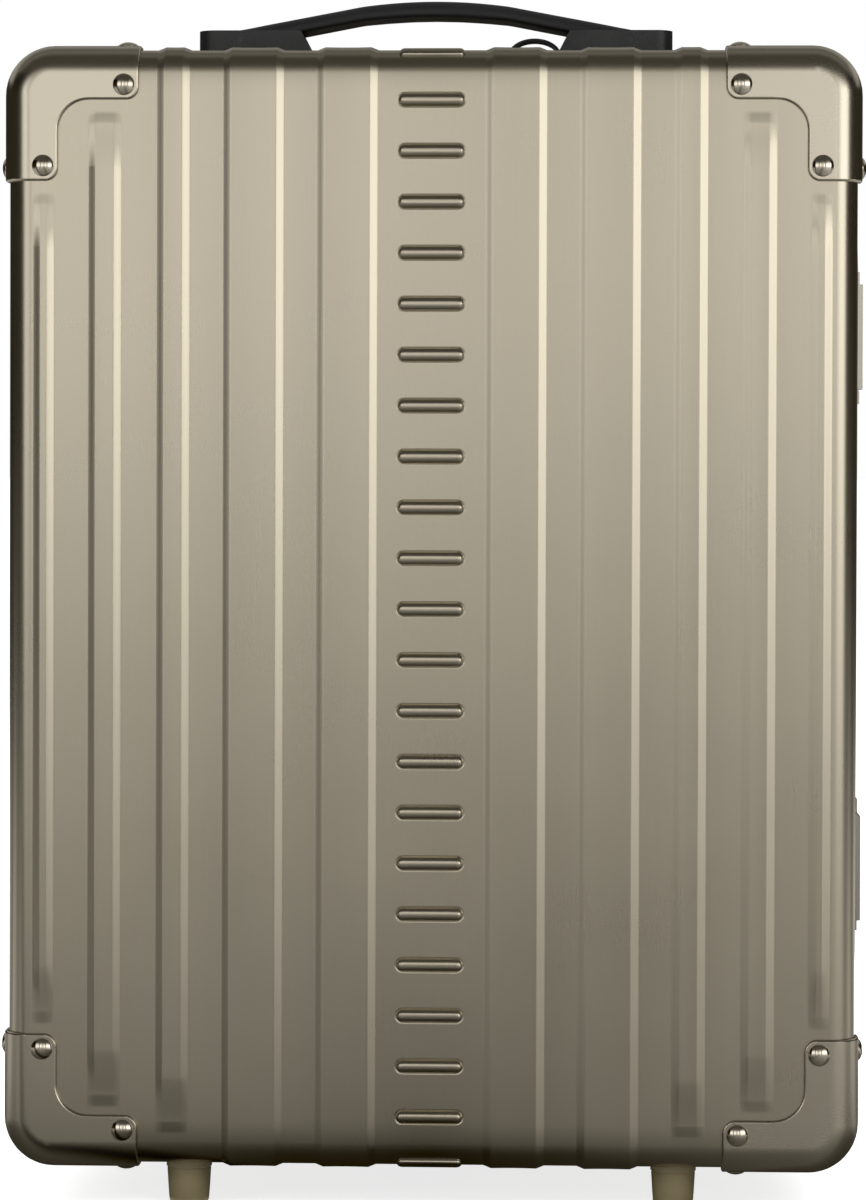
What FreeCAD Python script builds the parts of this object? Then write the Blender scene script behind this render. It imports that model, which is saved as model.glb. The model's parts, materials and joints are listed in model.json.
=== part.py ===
"""Aluminium hard shell suitcase: two shells hinged like a book, pull handle, two wheels and two feet.

Frame: +X to the right and +Y to the back as the case is looked at from the front, +Z up.
The origin is on the floor under the middle of the case, in the parting plane of the two shells.
"""
import FreeCAD, Part
import math
import os
import Sketcher

Vector = FreeCAD.Vector
FRONT, REAR = -1, 1
RIGHT, LEFT = 1, -1
UPPER, LOWER = 1, -1

document = FreeCAD.newDocument("suitcase")

# ---------------------------------------------------------------------------------------------
# Driving dimensions, millimetres
# ---------------------------------------------------------------------------------------------
sizes = document.addObject("Spreadsheet::Sheet", "sizes")
row_number = 0


def as_size(other):
    """Take a plain number or a Size."""
    return other if isinstance(other, Size) else Size(other, repr(other))


class Size:
    """A length that knows both its number and the sheet's expression for it."""

    def __init__(self, number, text):
        self.number = number
        self.text = text

    def __add__(self, other):
        other = as_size(other)
        return Size(self.number + other.number, f"({self.text} + {other.text})")

    def __sub__(self, other):
        other = as_size(other)
        return Size(self.number - other.number, f"({self.text} - {other.text})")

    def __mul__(self, other):
        other = as_size(other)
        return Size(self.number * other.number, f"{self.text} * {other.text}")

    def __truediv__(self, other):
        other = as_size(other)
        return Size(self.number / other.number, f"{self.text} / ({other.text})")

    def __neg__(self):
        return Size(-self.number, f"(0 - {self.text})")

    __radd__ = __add__
    __rmul__ = __mul__


def size(alias, number, meaning):
    """Write one driving dimension into the sheet and return it."""
    global row_number
    row_number += 1
    sizes.set(f"A{row_number}", meaning)
    sizes.set(f"B{row_number}", str(number))
    sizes.setAlias(f"B{row_number}", alias)
    return Size(float(number), f"sizes.{alias}")


shell_width = size("shell_width", 341.4, "outer width of the two shells")
shell_height = size("shell_height", 449.4, "outer height of the two shells")
shell_depth = size("shell_depth", 99.7, "depth of one shell, from the parting plane to its outer face")
shell_wall = size("shell_wall", 1.2, "thickness of the shell sheet")
corner_radius = size("corner_radius", 18.5, "upright and level edges seen from the front")
edge_radius = size("edge_radius", 10, "edge between the face and the sides")
foot_height = size("foot_height", 17, "floor to the underside of the corner guards")

rib_height = size("rib_height", 1.0, "height of the raised ribs and beads")
rib_inset_a = size("rib_inset_a", 14.9, "side of the case to the outermost rib")
rib_inset_b = size("rib_inset_b", 39.5, "side of the case to the second rib")
rib_inset_c = size("rib_inset_c", 67, "side of the case to the third rib")
rib_spacing_d = size("rib_spacing_d", 71.5, "middle of the case to the fourth rib")
rib_spacing_e = size("rib_spacing_e", 33.9, "middle of the case to the rib beside the beads")
slim_rib_width = size("slim_rib_width", 9, "outermost rib")
medium_rib_width = size("medium_rib_width", 13.8, "second and third rib")
broad_rib_width = size("broad_rib_width", 24.9, "fourth and fifth rib")
short_rib_end = size("short_rib_end", 66, "top of the shell to the end of the outermost rib")
middle_rib_end = size("middle_rib_end", 33, "top of the shell to the end of the second rib")
long_rib_end = size("long_rib_end", 14, "top of the shell to the end of the other ribs")
bead_length = size("bead_length", 26.5, "length of a bead")
bead_width = size("bead_width", 5.2, "width of a bead")
bead_pitch = size("bead_pitch", 20.4, "from one bead to the next")
bead_count = size("bead_count", 21, "beads in the middle column")

guard_proud = size("guard_proud", 1.8, "thickness of the corner guards")
guard_arm_width = size("guard_arm_width", 22.4, "width of a guard's arms on the face")
guard_arm_reach = size("guard_arm_reach", 55, "length of a guard's arms from its outer faces")
guard_side_width = size("guard_side_width", 32, "width of the arm that runs towards the parting plane")
guard_lobe_radius = size("guard_lobe_radius", 5.2, "rounding of the arm ends")
guard_crotch_radius = size("guard_crotch_radius", 12.4, "rounding between two arms")
guard_rivet_near = size("guard_rivet_near", 16.5, "rivet to the nearer outer face")
guard_rivet_far = size("guard_rivet_far", 49, "rivet to the farther outer face")
guard_rivet_side = size("guard_rivet_side", 26, "rivet of the corner arm to the outer face")
rivet_head_radius = size("rivet_head_radius", 4.35, "domed head of a guard rivet")
rivet_head_height = size("rivet_head_height", 2.0, "domed head of a guard rivet")
rivet_shank_radius = size("rivet_shank_radius", 1.5, "shank of a guard rivet")
rivet_grip = size("rivet_grip", 4.6, "length of a rivet under its head")
small_rivet_head_radius = size("small_rivet_head_radius", 2.5, "flat head of a frame rivet")
small_rivet_head_height = size("small_rivet_head_height", 0.9, "flat head of a frame rivet")
shank_clearance = size("shank_clearance", 0.05, "hole radius less shank radius, for rivets and screws")

drill_over = size("drill_over", 0.2, "length of a shank's hole beyond each end of the shank")
press_gap = size("press_gap", 0.02, "gap at fits that are pressed or moulded together")
past = size("past", 1, "how far a cutting tool runs past what it cuts")

parting_gap = size("parting_gap", 0.4, "parting plane to each frame's face")
frame_web = size("frame_web", 2.5, "thickness of the frame's web, over the sheet's edge")
frame_proud = size("frame_proud", 2.0, "frame's outer flange beyond the shell")
frame_flange = size("frame_flange", 16, "parting plane to the edge of the outer flange")
frame_lip = size("frame_lip", 10, "parting plane to the edge of the inner lip")
frame_lip_inset = size("frame_lip_inset", 4.8, "shell's outer face to the inside of the frame")
frame_fit = size("frame_fit", 0.1, "gap between the sheet and the groove that holds it")
frame_rivet_line = size("frame_rivet_line", 12.5, "parting plane to the rivets in the frame's flange")
level_rivet_pitch = size("level_rivet_pitch", 85, "from one frame rivet to the next, top and bottom")
hinge_side_rivet_pitch = size("hinge_side_rivet_pitch", 38, "from one frame rivet to the next, hinge side")
latch_side_rivet_pitch = size("latch_side_rivet_pitch", 67, "from one frame rivet to the next, latch side")
seal_outer_inset = size("seal_outer_inset", 2.0, "shell's outer face to the outside of the seal")
seal_inner_inset = size("seal_inner_inset", 3.5, "shell's outer face to the inside of the seal")
seal_depth = size("seal_depth", 1.9, "depth of the seal strip")
seal_groove_depth = size("seal_groove_depth", 1.4, "depth of the groove in the front frame")
seal_fit = size("seal_fit", 0.1, "gap between the seal and the sides of its groove")

hinge_axis_out = size("hinge_axis_out", 5.0, "shell's side to the hinge axis")
hinge_barrel_radius = size("hinge_barrel_radius", 2.8, "outside of the hinge knuckles")
hinge_pin_radius = size("hinge_pin_radius", 1.25, "hinge pin")
hinge_running = size("hinge_running", 0.05, "radial clearance of the hinge pin")
hinge_pin_head_radius = size("hinge_pin_head_radius", 2.2, "head of the hinge pin")
hinge_pin_head = size("hinge_pin_head", 0.9, "thickness of the hinge pin's heads")
hinge_length = size("hinge_length", 62, "length of one hinge")
hinge_knuckle_gap = size("hinge_knuckle_gap", 0.3, "gap between two knuckles")
hinge_leaf_thickness = size("hinge_leaf_thickness", 1.2, "thickness of a hinge leaf")
hinge_leaf_reach = size("hinge_leaf_reach", 15.8, "parting plane to the edge of a leaf")
hinge_leaf_clear = size("hinge_leaf_clear", 3.1, "parting plane to the leaf beside the other leaf's knuckles")
hinge_spread = size("hinge_spread", 128, "middle of the case to the middle of each hinge")
hinge_rivet_spread = size("hinge_rivet_spread", 21, "middle of a hinge to its outer rivets")

latch_spread = size("latch_spread", 112, "middle of the case to the middle of each latch")
latch_length = size("latch_length", 56, "length of the latch body")
latch_reach = size("latch_reach", 31, "parting plane to the far edge of the latch body")
latch_start = size("latch_start", 0.7, "parting plane to the near edge of the latch body")
latch_cheek_rise = size("latch_cheek_rise", 7.5, "shell's side to the face of the cheeks")
latch_floor = size("latch_floor", 1.3, "thickness of the latch body's floor under the lever")
latch_cheek = size("latch_cheek", 5.6, "thickness of the cheeks beside the lever")
latch_cheek_wall = size("latch_cheek_wall", 1.6, "cheek past the lever's rounded root")
latch_step = size("latch_step", 18.2, "parting plane to the wall between the lever and the dials")
lever_play = size("lever_play", 0.35, "gap beside and under the lever")
lever_rise = size("lever_rise", 7.8, "shell's side to the lever's face")
lever_pivot_rise = size("lever_pivot_rise", 5.7, "shell's side to the lever's pivot")
lever_thickness = size("lever_thickness", 2.6, "thickness of the lever's plate")
lever_pivot_line = size("lever_pivot_line", 15.5, "parting plane to the lever's pivot")
lever_barrel_radius = size("lever_barrel_radius", 1.9, "rounded root of the lever")
lever_trunnion_radius = size("lever_trunnion_radius", 1.1, "trunnions of the lever")
lever_trunnion_length = size("lever_trunnion_length", 2.2, "length of a trunnion beyond the lever")
lever_tip = size("lever_tip", 14, "parting plane to the lever's tip, over the front frame")
dial_radius = size("dial_radius", 3.2, "number dial")
dial_notch_radius = size("dial_notch_radius", 0.5, "groove between two numbers of a dial")
dial_width = size("dial_width", 4.6, "thickness of a dial")
dial_pitch = size("dial_pitch", 5.8, "from one dial to the next")
dial_line = size("dial_line", 24.6, "parting plane to the dials' axis")
dial_clear = size("dial_clear", 0.4, "gap between a dial and the shell's side")
dial_show = size("dial_show", 0.9, "dial beyond the face it shows through")
dial_play = size("dial_play", 0.35, "gap round a dial in its window")
dial_axle_radius = size("dial_axle_radius", 1.0, "axle of the dials")
dial_running = size("dial_running", 0.05, "radial clearance of a dial on its axle")
dial_axle_length = size("dial_axle_length", 24, "length of the dials' axle")
strike_length = size("strike_length", 28, "length of the strike on the front frame")
strike_thickness = size("strike_thickness", 2.2, "thickness of the strike's plate")
strike_reach = size("strike_reach", 16, "parting plane to the strike's edge")
strike_gap = size("strike_gap", 0.6, "parting plane to the strike's near edge")
tongue_length = size("tongue_length", 14, "length of the strike's tongue along the case")
tongue_reach = size("tongue_reach", 6, "parting plane to the tongue's end, inside the latch body")
tongue_thickness = size("tongue_thickness", 1.2, "thickness of the tongue")
strike_screw_spread = size("strike_screw_spread", 9.8, "middle of a strike to its screws")

screw_head_radius = size("screw_head_radius", 3.5, "pan head of the assembly screws")
screw_head_height = size("screw_head_height", 2.0, "pan head of the assembly screws")
screw_shank_radius = size("screw_shank_radius", 1.5, "shank of the assembly screws")
screw_length = size("screw_length", 5, "length of the screws under the head")
screw_head_gap = size("screw_head_gap", 0.1, "gap beside a screw's head")

handle_line = size("handle_line", 51, "parting plane to the middle of the carry handle")
handle_half_length = size("handle_half_length", 97, "middle of the case to the outer end of a handle block")
block_inner_end = size("block_inner_end", 49.5, "middle of the case to the inner end of a block's base")
block_chamfer = size("block_chamfer", 5.5, "length of the slope at a block's inner end")
block_height = size("block_height", 10.7, "height of a handle block")
block_width = size("block_width", 30, "handle block from front to back")
block_end_wall = size("block_end_wall", 11.5, "solid outer end of a block")
block_floor = size("block_floor", 1.6, "floor of the block under the strap's end")
block_floor_rise = size("block_floor_rise", 5.6, "rise of the block's floor to its inner end")
strap_width = size("strap_width", 22.4, "carry strap from front to back")
strap_side_gap = size("strap_side_gap", 0.4, "gap between the strap and a block's cheek")
strap_crown = size("strap_crown", 22.5, "shell to the top of the arched strap")
strap_thickness = size("strap_thickness", 8.0, "thickness of the strap in its middle")
strap_end = size("strap_end", 84, "middle of the case to the end of the strap")
strap_end_top = size("strap_end_top", 10.2, "shell to the top of the strap's end")
strap_end_bottom = size("strap_end_bottom", 2.0, "shell to the underside of the strap's end")
strap_bend = size("strap_bend", 30, "middle of the case to where the arch runs out into a slope")
strap_drop = size("strap_drop", 2.1, "fall of the arch at that place")
strap_lower_drop = size("strap_lower_drop", 1.5, "fall of the arch's underside at that place")
strap_lift = size("strap_lift", 2.5, "rise of the strap when it is pulled")
strap_heel = size("strap_heel", 76, "middle of the case to the inner side of the strap's end")
strap_neck = size("strap_neck", 70, "middle of the case to the strap's underside past its end")
strap_neck_bottom = size("strap_neck_bottom", 5.6, "shell to the strap's underside at that place")
block_round = size("block_round", 7, "upright outer edges of a handle block")
handle_pin_radius = size("handle_pin_radius", 1.2, "pin that holds the strap in its block")
handle_pin_out = size("handle_pin_out", 80, "middle of the case to the pin")
handle_pin_height = size("handle_pin_height", 6.9, "shell to the pin")
handle_pin_play = size("handle_pin_play", 0.05, "gap round the pin in the strap's slot")
block_screw_outer = size("block_screw_outer", 91, "middle of the case to the outer screw of a block")
block_screw_inner = size("block_screw_inner", 60, "middle of the case to the inner screw of a block")

loop_width = size("loop_width", 12, "width of the tag webbing")
loop_thickness = size("loop_thickness", 1.2, "thickness of the tag webbing")
loop_start = size("loop_start", 16, "middle of the case to the riveted end of the webbing")
loop_rise_start = size("loop_rise_start", 31, "middle of the case to where the webbing leaves the shell")
loop_height = size("loop_height", 6.2, "shell to the top of the webbing loop")
loop_rivet_out = size("loop_rivet_out", 22.5, "middle of the case to the rivet of the webbing")
loop_rivet_radius = size("loop_rivet_radius", 5.4, "domed head of the webbing rivet")
loop_rivet_height = size("loop_rivet_height", 2.2, "domed head of the webbing rivet")
loop_end_gap = size("loop_end_gap", 0.1, "webbing's end to the handle block")

foot_beside_guard = size("foot_beside_guard", 19, "middle of a foot to the end of the guard's arm")
foot_back = size("foot_back", 21, "face of the case to the middle of a foot")
foot_top_radius = size("foot_top_radius", 9.25, "foot at the shell")
foot_bottom_radius = size("foot_bottom_radius", 8.1, "foot near the floor")
foot_edge_radius = size("foot_edge_radius", 2.5, "rounding at the foot's lower edge")

wheel_radius = size("wheel_radius", 25, "outside of the tyre")
wheel_width = size("wheel_width", 20, "width of the wheel")
wheel_inset = size("wheel_inset", 33.7, "side of the case to the middle of a wheel")
wheel_proud = size("wheel_proud", 3.3, "tyre beyond the shell's back face")
hub_radius = size("hub_radius", 17.5, "outside of the hub, inside of the tyre")
hub_web = size("hub_web", 6, "thickness of the hub's web")
hub_rim = size("hub_rim", 2.6, "thickness of the hub's rim")
hub_slope = size("hub_slope", 1, "slope from the web to the rim and the boss")
hub_hole_radius = size("hub_hole_radius", 1.74, "holes in the hub's web")
bearing_radius = size("bearing_radius", 6.5, "outside of a ball bearing")
bearing_width = size("bearing_width", 5, "width of a ball bearing")
axle_radius = size("axle_radius", 3, "wheel axle")
axle_running = size("axle_running", 0.05, "radial clearance of the bearings on the axle")
tyre_shoulder = size("tyre_shoulder", 4, "rounding of the tyre's edges")
well_side_gap = size("well_side_gap", 3, "gap between the wheel and the well's side")
well_roof_gap = size("well_roof_gap", 4.5, "gap between the wheel and the well's roof and front")
well_wall = size("well_wall", 2.5, "wall of the wheel well")
housing_side_margin = size("housing_side_margin", 10.4, "wheel well to the housing's inner edge")
housing_front_margin = size("housing_front_margin", 6.5, "wheel well to the housing's front edge")
housing_top_margin = size("housing_top_margin", 18, "wheel well to the housing's upper edge")
housing_screw_inset = size("housing_screw_inset", 8, "housing screws from the edges of the housing")

tube_out = size("tube_out", 64, "middle of the case to each pull tube")
tube_inset = size("tube_inset", 21.7, "back face of the case to the pull tubes")
outer_tube_width = size("outer_tube_width", 20, "outer tube, side to side")
outer_tube_depth = size("outer_tube_depth", 11, "outer tube, front to back")
tube_wall = size("tube_wall", 1.0, "wall of the pull tubes")
tube_corner = size("tube_corner", 1.5, "outer rounding of the tubes")
tube_play = size("tube_play", 0.3, "gap round a tube in the next one")
tube_foot_level = size("tube_foot_level", 58, "floor to the lower end of the outer tubes")
tube_end_gap = size("tube_end_gap", 1, "grip's underside to the inner tubes' upper ends, in its legs")
tube_stage_step = size("tube_stage_step", 8, "each inner stage starts this much higher")
collar_height = size("collar_height", 4, "height of the collars on the middle tubes")
collar_grip = size("collar_grip", 1.6, "collar beyond the middle tube on each side")
tray_length = size("tray_length", 160, "inside of the handle tray, side to side")
tray_front_reach = size("tray_front_reach", 22, "pull tubes to the tray's front wall, inside")
tray_back_reach = size("tray_back_reach", 8.5, "pull tubes to the tray's back wall, inside")
tray_depth = size("tray_depth", 24.2, "top of the shell to the underside of the tray")
tray_wall = size("tray_wall", 1.5, "walls of the tray")
tray_floor = size("tray_floor", 2, "floor of the tray")
tray_rim = size("tray_rim", 3.4, "rim of the tray beyond its walls on the shell, sides and front")
tray_rim_back = size("tray_rim_back", 1.6, "rim of the tray beyond its back wall")
tray_rim_height = size("tray_rim_height", 1.6, "thickness of the tray's rim")
tray_fit = size("tray_fit", 0.2, "gap between the tray and the opening in the shell")
grip_depth = size("grip_depth", 15.4, "grip from front to back")
grip_half_length = size("grip_half_length", 75, "middle of the case to the grip's end")
grip_bar = size("grip_bar", 12, "height of the grip's bar")
grip_above = size("grip_above", 1.9, "top of the shell to the top of the grip")
grip_leg = size("grip_leg", 22, "width of the grip's legs")
grip_rounding = size("grip_rounding", 3, "rounding of the grip's edges")
grip_cover = size("grip_cover", 2.5, "grip's material above its inner channel")
channel_spare = size("channel_spare", 0.5, "room left under the pressed link bar")
link_gap = size("link_gap", 1, "room over the link bar")
grip_channel_width = size("grip_channel_width", 6, "width of the channel in the grip")
button_length = size("button_length", 24, "release button, side to side")
button_width = size("button_width", 9, "release button, front to back")
button_above = size("button_above", 1.2, "button above the grip")
button_rounding = size("button_rounding", 1, "rounding of the button's edges")
button_play = size("button_play", 0.3, "gap round the button")
button_travel = size("button_travel", 3.5, "travel of the release button")
link_height = size("link_height", 3, "height of the link bar under the button")
link_width = size("link_width", 4.4, "width of the link bar")
rod_radius = size("rod_radius", 1.5, "push rods in the inner tubes")
rod_foot = size("rod_foot", 61, "lower end of an inner tube to the end of its push rod")
rod_play = size("rod_play", 0.4, "gap round a push rod")
spring_radius = size("spring_radius", 1.6, "middle of the coil to its wire")
spring_wire = size("spring_wire", 0.3, "radius of the spring wire")
spring_turns = size("spring_turns", 4, "turns of a button spring")
spring_out = size("spring_out", 24, "middle of the case to a button spring")
bracket_half_length = size("bracket_half_length", 78, "middle of the case to the end of the lower bracket")
bracket_front_reach = size("bracket_front_reach", 7.5, "pull tubes to the lower bracket's front face")
bracket_height = size("bracket_height", 16, "height of the lower bracket")
socket_depth = size("socket_depth", 12, "depth of the tube sockets in the bracket")
cover_thickness = size("cover_thickness", 1.4, "sheet that covers the pull tubes inside")
cover_half_width = size("cover_half_width", 84, "middle of the case to the edge of that sheet")
cover_gap = size("cover_gap", 0.3, "gap between that sheet and its neighbours")

lining_inset = size("lining_inset", 3.9, "shell's outer face to the outside of the lining")
lining_thickness = size("lining_thickness", 1.2, "thickness of the linings")
lining_start = size("lining_start", 10.3, "parting plane to the lining's edge")
lining_gap = size("lining_gap", 0.5, "gap between the lining and what it covers")
pocket_inset = size("pocket_inset", 26, "lining's inside to the edge of the mesh pocket")
pocket_height = size("pocket_height", 290, "height of the mesh pocket")
pocket_thickness = size("pocket_thickness", 1.5, "thickness of the mesh pocket")
soft_gap = size("soft_gap", 0.3, "gap between soft parts")
belt_width = size("belt_width", 25, "width of the packing straps")
belt_thickness = size("belt_thickness", 1.4, "thickness of the packing straps")
belt_spread = size("belt_spread", 140, "middle of the case to the packing straps' upper and lower anchors")
belt_anchor_inset = size("belt_anchor_inset", 7.6, "lining's side to the anchors of the packing straps")
buckle_height = size("buckle_height", 9, "thickness of the buckle")
buckle_length = size("buckle_length", 58, "length of the closed buckle")
buckle_width = size("buckle_width", 38, "width of the buckle")
buckle_mouth = size("buckle_mouth", 5.8, "middle of the buckle to the socket's mouth")
buckle_wall = size("buckle_wall", 1.8, "front and back wall of the socket")
buckle_side_wall = size("buckle_side_wall", 3.8, "side wall of the socket")
buckle_hollow = size("buckle_hollow", 17.4, "middle of the buckle to the bottom of the socket's hollow")
prong_reach = size("prong_reach", 16.2, "middle of the buckle to the prongs' tips")
prong_spread = size("prong_spread", 11.4, "middle of the buckle to the middle of a prong")
prong_width = size("prong_width", 6, "width of a prong")
document.recompute()

# Places that follow from them
half_width = shell_width / 2
shell_bottom = foot_height + guard_proud
shell_top = shell_bottom + shell_height
middle_level = shell_bottom + shell_height / 2
guard_top = shell_top + guard_proud
guard_side = half_width + guard_proud
guard_face = shell_depth + guard_proud
frame_seat = parting_gap + frame_web
hinge_out = half_width + hinge_axis_out
frame_outside = half_width + frame_proud
tray_bottom = shell_top - tray_depth
foot_line = shell_depth - foot_back
foot_out = guard_side - guard_arm_reach - foot_beside_guard
lever_face = half_width + lever_rise
lever_pivot_out = half_width + lever_pivot_rise
latch_cheek_top = half_width + latch_cheek_rise
dial_axis_out = half_width + dial_clear + dial_radius
latch_top = dial_axis_out + dial_radius - dial_show
wheel_out = half_width - wheel_inset
wheel_line = shell_depth + wheel_proud - wheel_radius
well_half_width = wheel_width / 2 + well_side_gap
well_reach = wheel_radius + well_roof_gap
well_box_half = well_half_width + well_wall
housing_side_reach = guard_side - wheel_out + well_box_half + housing_side_margin
housing_front_reach = guard_face - wheel_line + well_reach + well_wall + housing_front_margin
housing_top_reach = wheel_radius + well_reach + well_wall - foot_height + housing_top_margin
tube_line = shell_depth - tube_inset
tray_front = tube_line - tray_front_reach
tray_back = tube_line + tray_back_reach
bracket_front = tube_line - bracket_front_reach
belt_anchor = half_width - lining_inset - lining_thickness - belt_anchor_inset
NOTHING = Size(0.0, "0")

DIAL_NUMBERS = 10
HUB_HOLES = 5
HINGE_KNUCKLES = 5
CORNER_SHARE = 1 - math.sqrt(0.5)  # inset of a rounded corner's middle, as a share of its radius
HEAD_EDGE = 0.6  # share of a flat head's height at which its edge bends in
HEAD_FACE = 0.7  # share of its radius at which it becomes level


# ---------------------------------------------------------------------------------------------
# Helpers: bodies, sketches and features
# ---------------------------------------------------------------------------------------------
def bind(feature, name, length):
    """Bind a property to an expression of the sheet."""
    feature.setExpression(name, as_size(length).text)


def new_body(label):
    """Add a PartDesign body."""
    body = document.addObject("PartDesign::Body", label)
    body.Label = label
    return body


def new_sketch(body, name, plane, across=NOTHING, up=NOTHING, away=NOTHING):
    """Add a sketch on one of the body's own origin planes, moved by an attachment offset."""
    sketch = body.newObject("Sketcher::SketchObject", f"{body.Label}_{name}")
    support = [item for item in body.Origin.OriginFeatures if item.Role == plane][0]
    sketch.AttachmentSupport = [(support, "")]
    sketch.MapMode = "FlatFace"
    bind(sketch, ".AttachmentOffset.Base.x", across)
    bind(sketch, ".AttachmentOffset.Base.y", up)
    bind(sketch, ".AttachmentOffset.Base.z", away)
    return sketch


def hold(sketch, kind, index, place, length, name):
    """Add one named distance from the sketch's origin to a point and bind it."""
    length = as_size(length)
    constraint = Sketcher.Constraint(kind, -1, 1, index, place, length.number)
    sketch.renameConstraint(sketch.addConstraint(constraint), name)
    bind(sketch, f"Constraints.{name}", length)


def draw_polygon(sketch, corners):
    """Draw a closed outline whose corners are pairs of sizes."""
    first = sketch.GeometryCount
    points = [Vector(as_size(x).number, as_size(y).number, 0) for x, y in corners]
    for start, end in zip(points, points[1:] + points[:1]):
        sketch.addGeometry(Part.LineSegment(start, end))
    for number in range(len(corners)):
        following = (number + 1) % len(corners)
        sketch.addConstraint(Sketcher.Constraint("Coincident", first + number, 2, first + following, 1))
    for number, (x, y) in enumerate(corners):
        hold(sketch, "DistanceX", first + number, 1, x, f"x{first + number}")
        hold(sketch, "DistanceY", first + number, 1, y, f"y{first + number}")


def draw_rectangle(sketch, left, right, low, high):
    """Draw a rectangle between four sizes."""
    draw_polygon(sketch, [(left, low), (right, low), (right, high), (left, high)])


def draw_rounded_rectangle(sketch, half_length, half_height, radius):
    """Draw a rectangle with round corners about the sketch's origin."""
    first = sketch.GeometryCount
    width, height, round_size = half_length.number, half_height.number, radius.number
    straight, rise = width - round_size, height - round_size
    centres = [(straight, rise), (-straight, rise), (-straight, -rise), (straight, -rise)]
    for number, (x, y) in enumerate(centres):
        circle = Part.Circle(Vector(x, y, 0), Vector(0, 0, 1), round_size)
        turn = number * math.pi / 2
        sketch.addGeometry(Part.ArcOfCircle(circle, turn, turn + math.pi / 2))
    for number in range(4):
        following = (number + 1) % 4
        start = sketch.getPoint(first + number, 2)
        end = sketch.getPoint(first + following, 1)
        line = sketch.addGeometry(Part.LineSegment(start, end))
        sketch.addConstraint(Sketcher.Constraint("Tangent", first + number, 2, line, 1))
        sketch.addConstraint(Sketcher.Constraint("Tangent", line, 2, first + following, 1))
    for number, (side, level) in enumerate([(1, 1), (-1, 1), (-1, -1), (1, -1)]):
        place = first + number
        hold(sketch, "DistanceX", place, 3, (half_length - radius) * side, f"centre_x{place}")
        hold(sketch, "DistanceY", place, 3, (half_height - radius) * level, f"centre_y{place}")
    constraint = sketch.addConstraint(Sketcher.Constraint("Radius", first, round_size))
    sketch.renameConstraint(constraint, f"radius{first}")
    bind(sketch, f"Constraints.radius{first}", radius)


def draw_circle(sketch, x, y, radius):
    """Draw a circle whose centre and radius are sizes."""
    x, y, radius = as_size(x), as_size(y), as_size(radius)
    index = sketch.addGeometry(Part.Circle(Vector(x.number, y.number, 0), Vector(0, 0, 1), radius.number))
    hold(sketch, "DistanceX", index, 3, x, f"x{index}")
    hold(sketch, "DistanceY", index, 3, y, f"y{index}")
    constraint = sketch.addConstraint(Sketcher.Constraint("Radius", index, radius.number))
    sketch.renameConstraint(constraint, f"radius{index}")
    bind(sketch, f"Constraints.radius{index}", radius)


def extrude(body, kind, name, sketch, length, reverse=False, middle=False):
    """Add a Pad or a Pocket from a sketch."""
    feature = body.newObject(f"PartDesign::{kind}", f"{body.Label}_{name}")
    feature.Profile = sketch
    bind(feature, "Length", length)
    feature.Midplane = middle
    feature.Reversed = reverse
    sketch.Visibility = False
    document.recompute()
    return feature


def turn_about(body, sketch, axis):
    """Turn a section about one of its sketch's axes."""
    feature = body.newObject("PartDesign::Revolution", f"{body.Label}_turned")
    feature.Profile = sketch
    feature.ReferenceAxis = (sketch, [axis])
    feature.Angle = 360
    document.recompute()


def turn_profile(label, corners, across=NOTHING, away=NOTHING):
    """Make a body by turning an outline about an upright axis."""
    body = new_body(label)
    sketch = new_sketch(body, "outline", "XZ_Plane", across=across, away=away)
    draw_polygon(sketch, corners)
    turn_about(body, sketch, "V_Axis")
    return body


def edges_in(shape, axis, place, tolerance=0.01):
    """Name the edges that lie wholly in the plane at a place along an axis."""
    names = []
    for number, edge in enumerate(shape.Edges, start=1):
        box = edge.BoundBox
        low = getattr(box, f"{axis}Min")
        high = getattr(box, f"{axis}Max")
        if abs(low - place) < tolerance and abs(high - place) < tolerance:
            names.append(f"Edge{number}")
    return names


def faces_in(shape, axis, place, tolerance=0.01):
    """Name the faces that lie wholly in the plane at a place along an axis."""
    names = []
    for number, face in enumerate(shape.Faces, start=1):
        box = face.BoundBox
        low = getattr(box, f"{axis}Min")
        high = getattr(box, f"{axis}Max")
        if abs(low - place) < tolerance and abs(high - place) < tolerance:
            names.append(f"Face{number}")
    return names


def round_edges(body, base, names, radius):
    """Round the named edges of a body's feature."""
    feature = body.newObject("PartDesign::Fillet", f"{base.Name}_rounded")
    feature.Base = (base, names)
    bind(feature, "Radius", radius)
    document.recompute()
    return feature


def box(name, left, right, front, back, low, high):
    """Add a block between six sizes."""
    block = document.addObject("Part::Box", name)
    bind(block, "Length", as_size(right) - left)
    bind(block, "Width", as_size(back) - front)
    bind(block, "Height", as_size(high) - low)
    bind(block, ".Placement.Base.x", left)
    bind(block, ".Placement.Base.y", front)
    bind(block, ".Placement.Base.z", low)
    return block


TURNS = {
    "+X": FreeCAD.Rotation(Vector(0, 1, 0), 90),
    "-X": FreeCAD.Rotation(Vector(0, 1, 0), -90),
    "+Y": FreeCAD.Rotation(Vector(1, 0, 0), -90),
    "-Y": FreeCAD.Rotation(Vector(1, 0, 0), 90),
    "+Z": FreeCAD.Rotation(),
    "-Z": FreeCAD.Rotation(Vector(1, 0, 0), 180),
}


def rod(name, radius, length, direction, x, y, z):
    """Add a cylinder that starts at a place and runs along a direction."""
    cylinder = document.addObject("Part::Cylinder", name)
    cylinder.Placement = FreeCAD.Placement(Vector(), TURNS[direction])
    bind(cylinder, "Radius", radius)
    bind(cylinder, "Height", length)
    bind(cylinder, ".Placement.Base.x", x)
    bind(cylinder, ".Placement.Base.y", y)
    bind(cylinder, ".Placement.Base.z", z)
    return cylinder


def cut(name, base, *tools):
    """Take tools away from a base."""
    tool = tools[0] if len(tools) == 1 else fuse(f"{name}_tools", *tools)
    feature = document.addObject("Part::Cut", name)
    feature.Base = base
    feature.Tool = tool
    return feature


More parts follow.
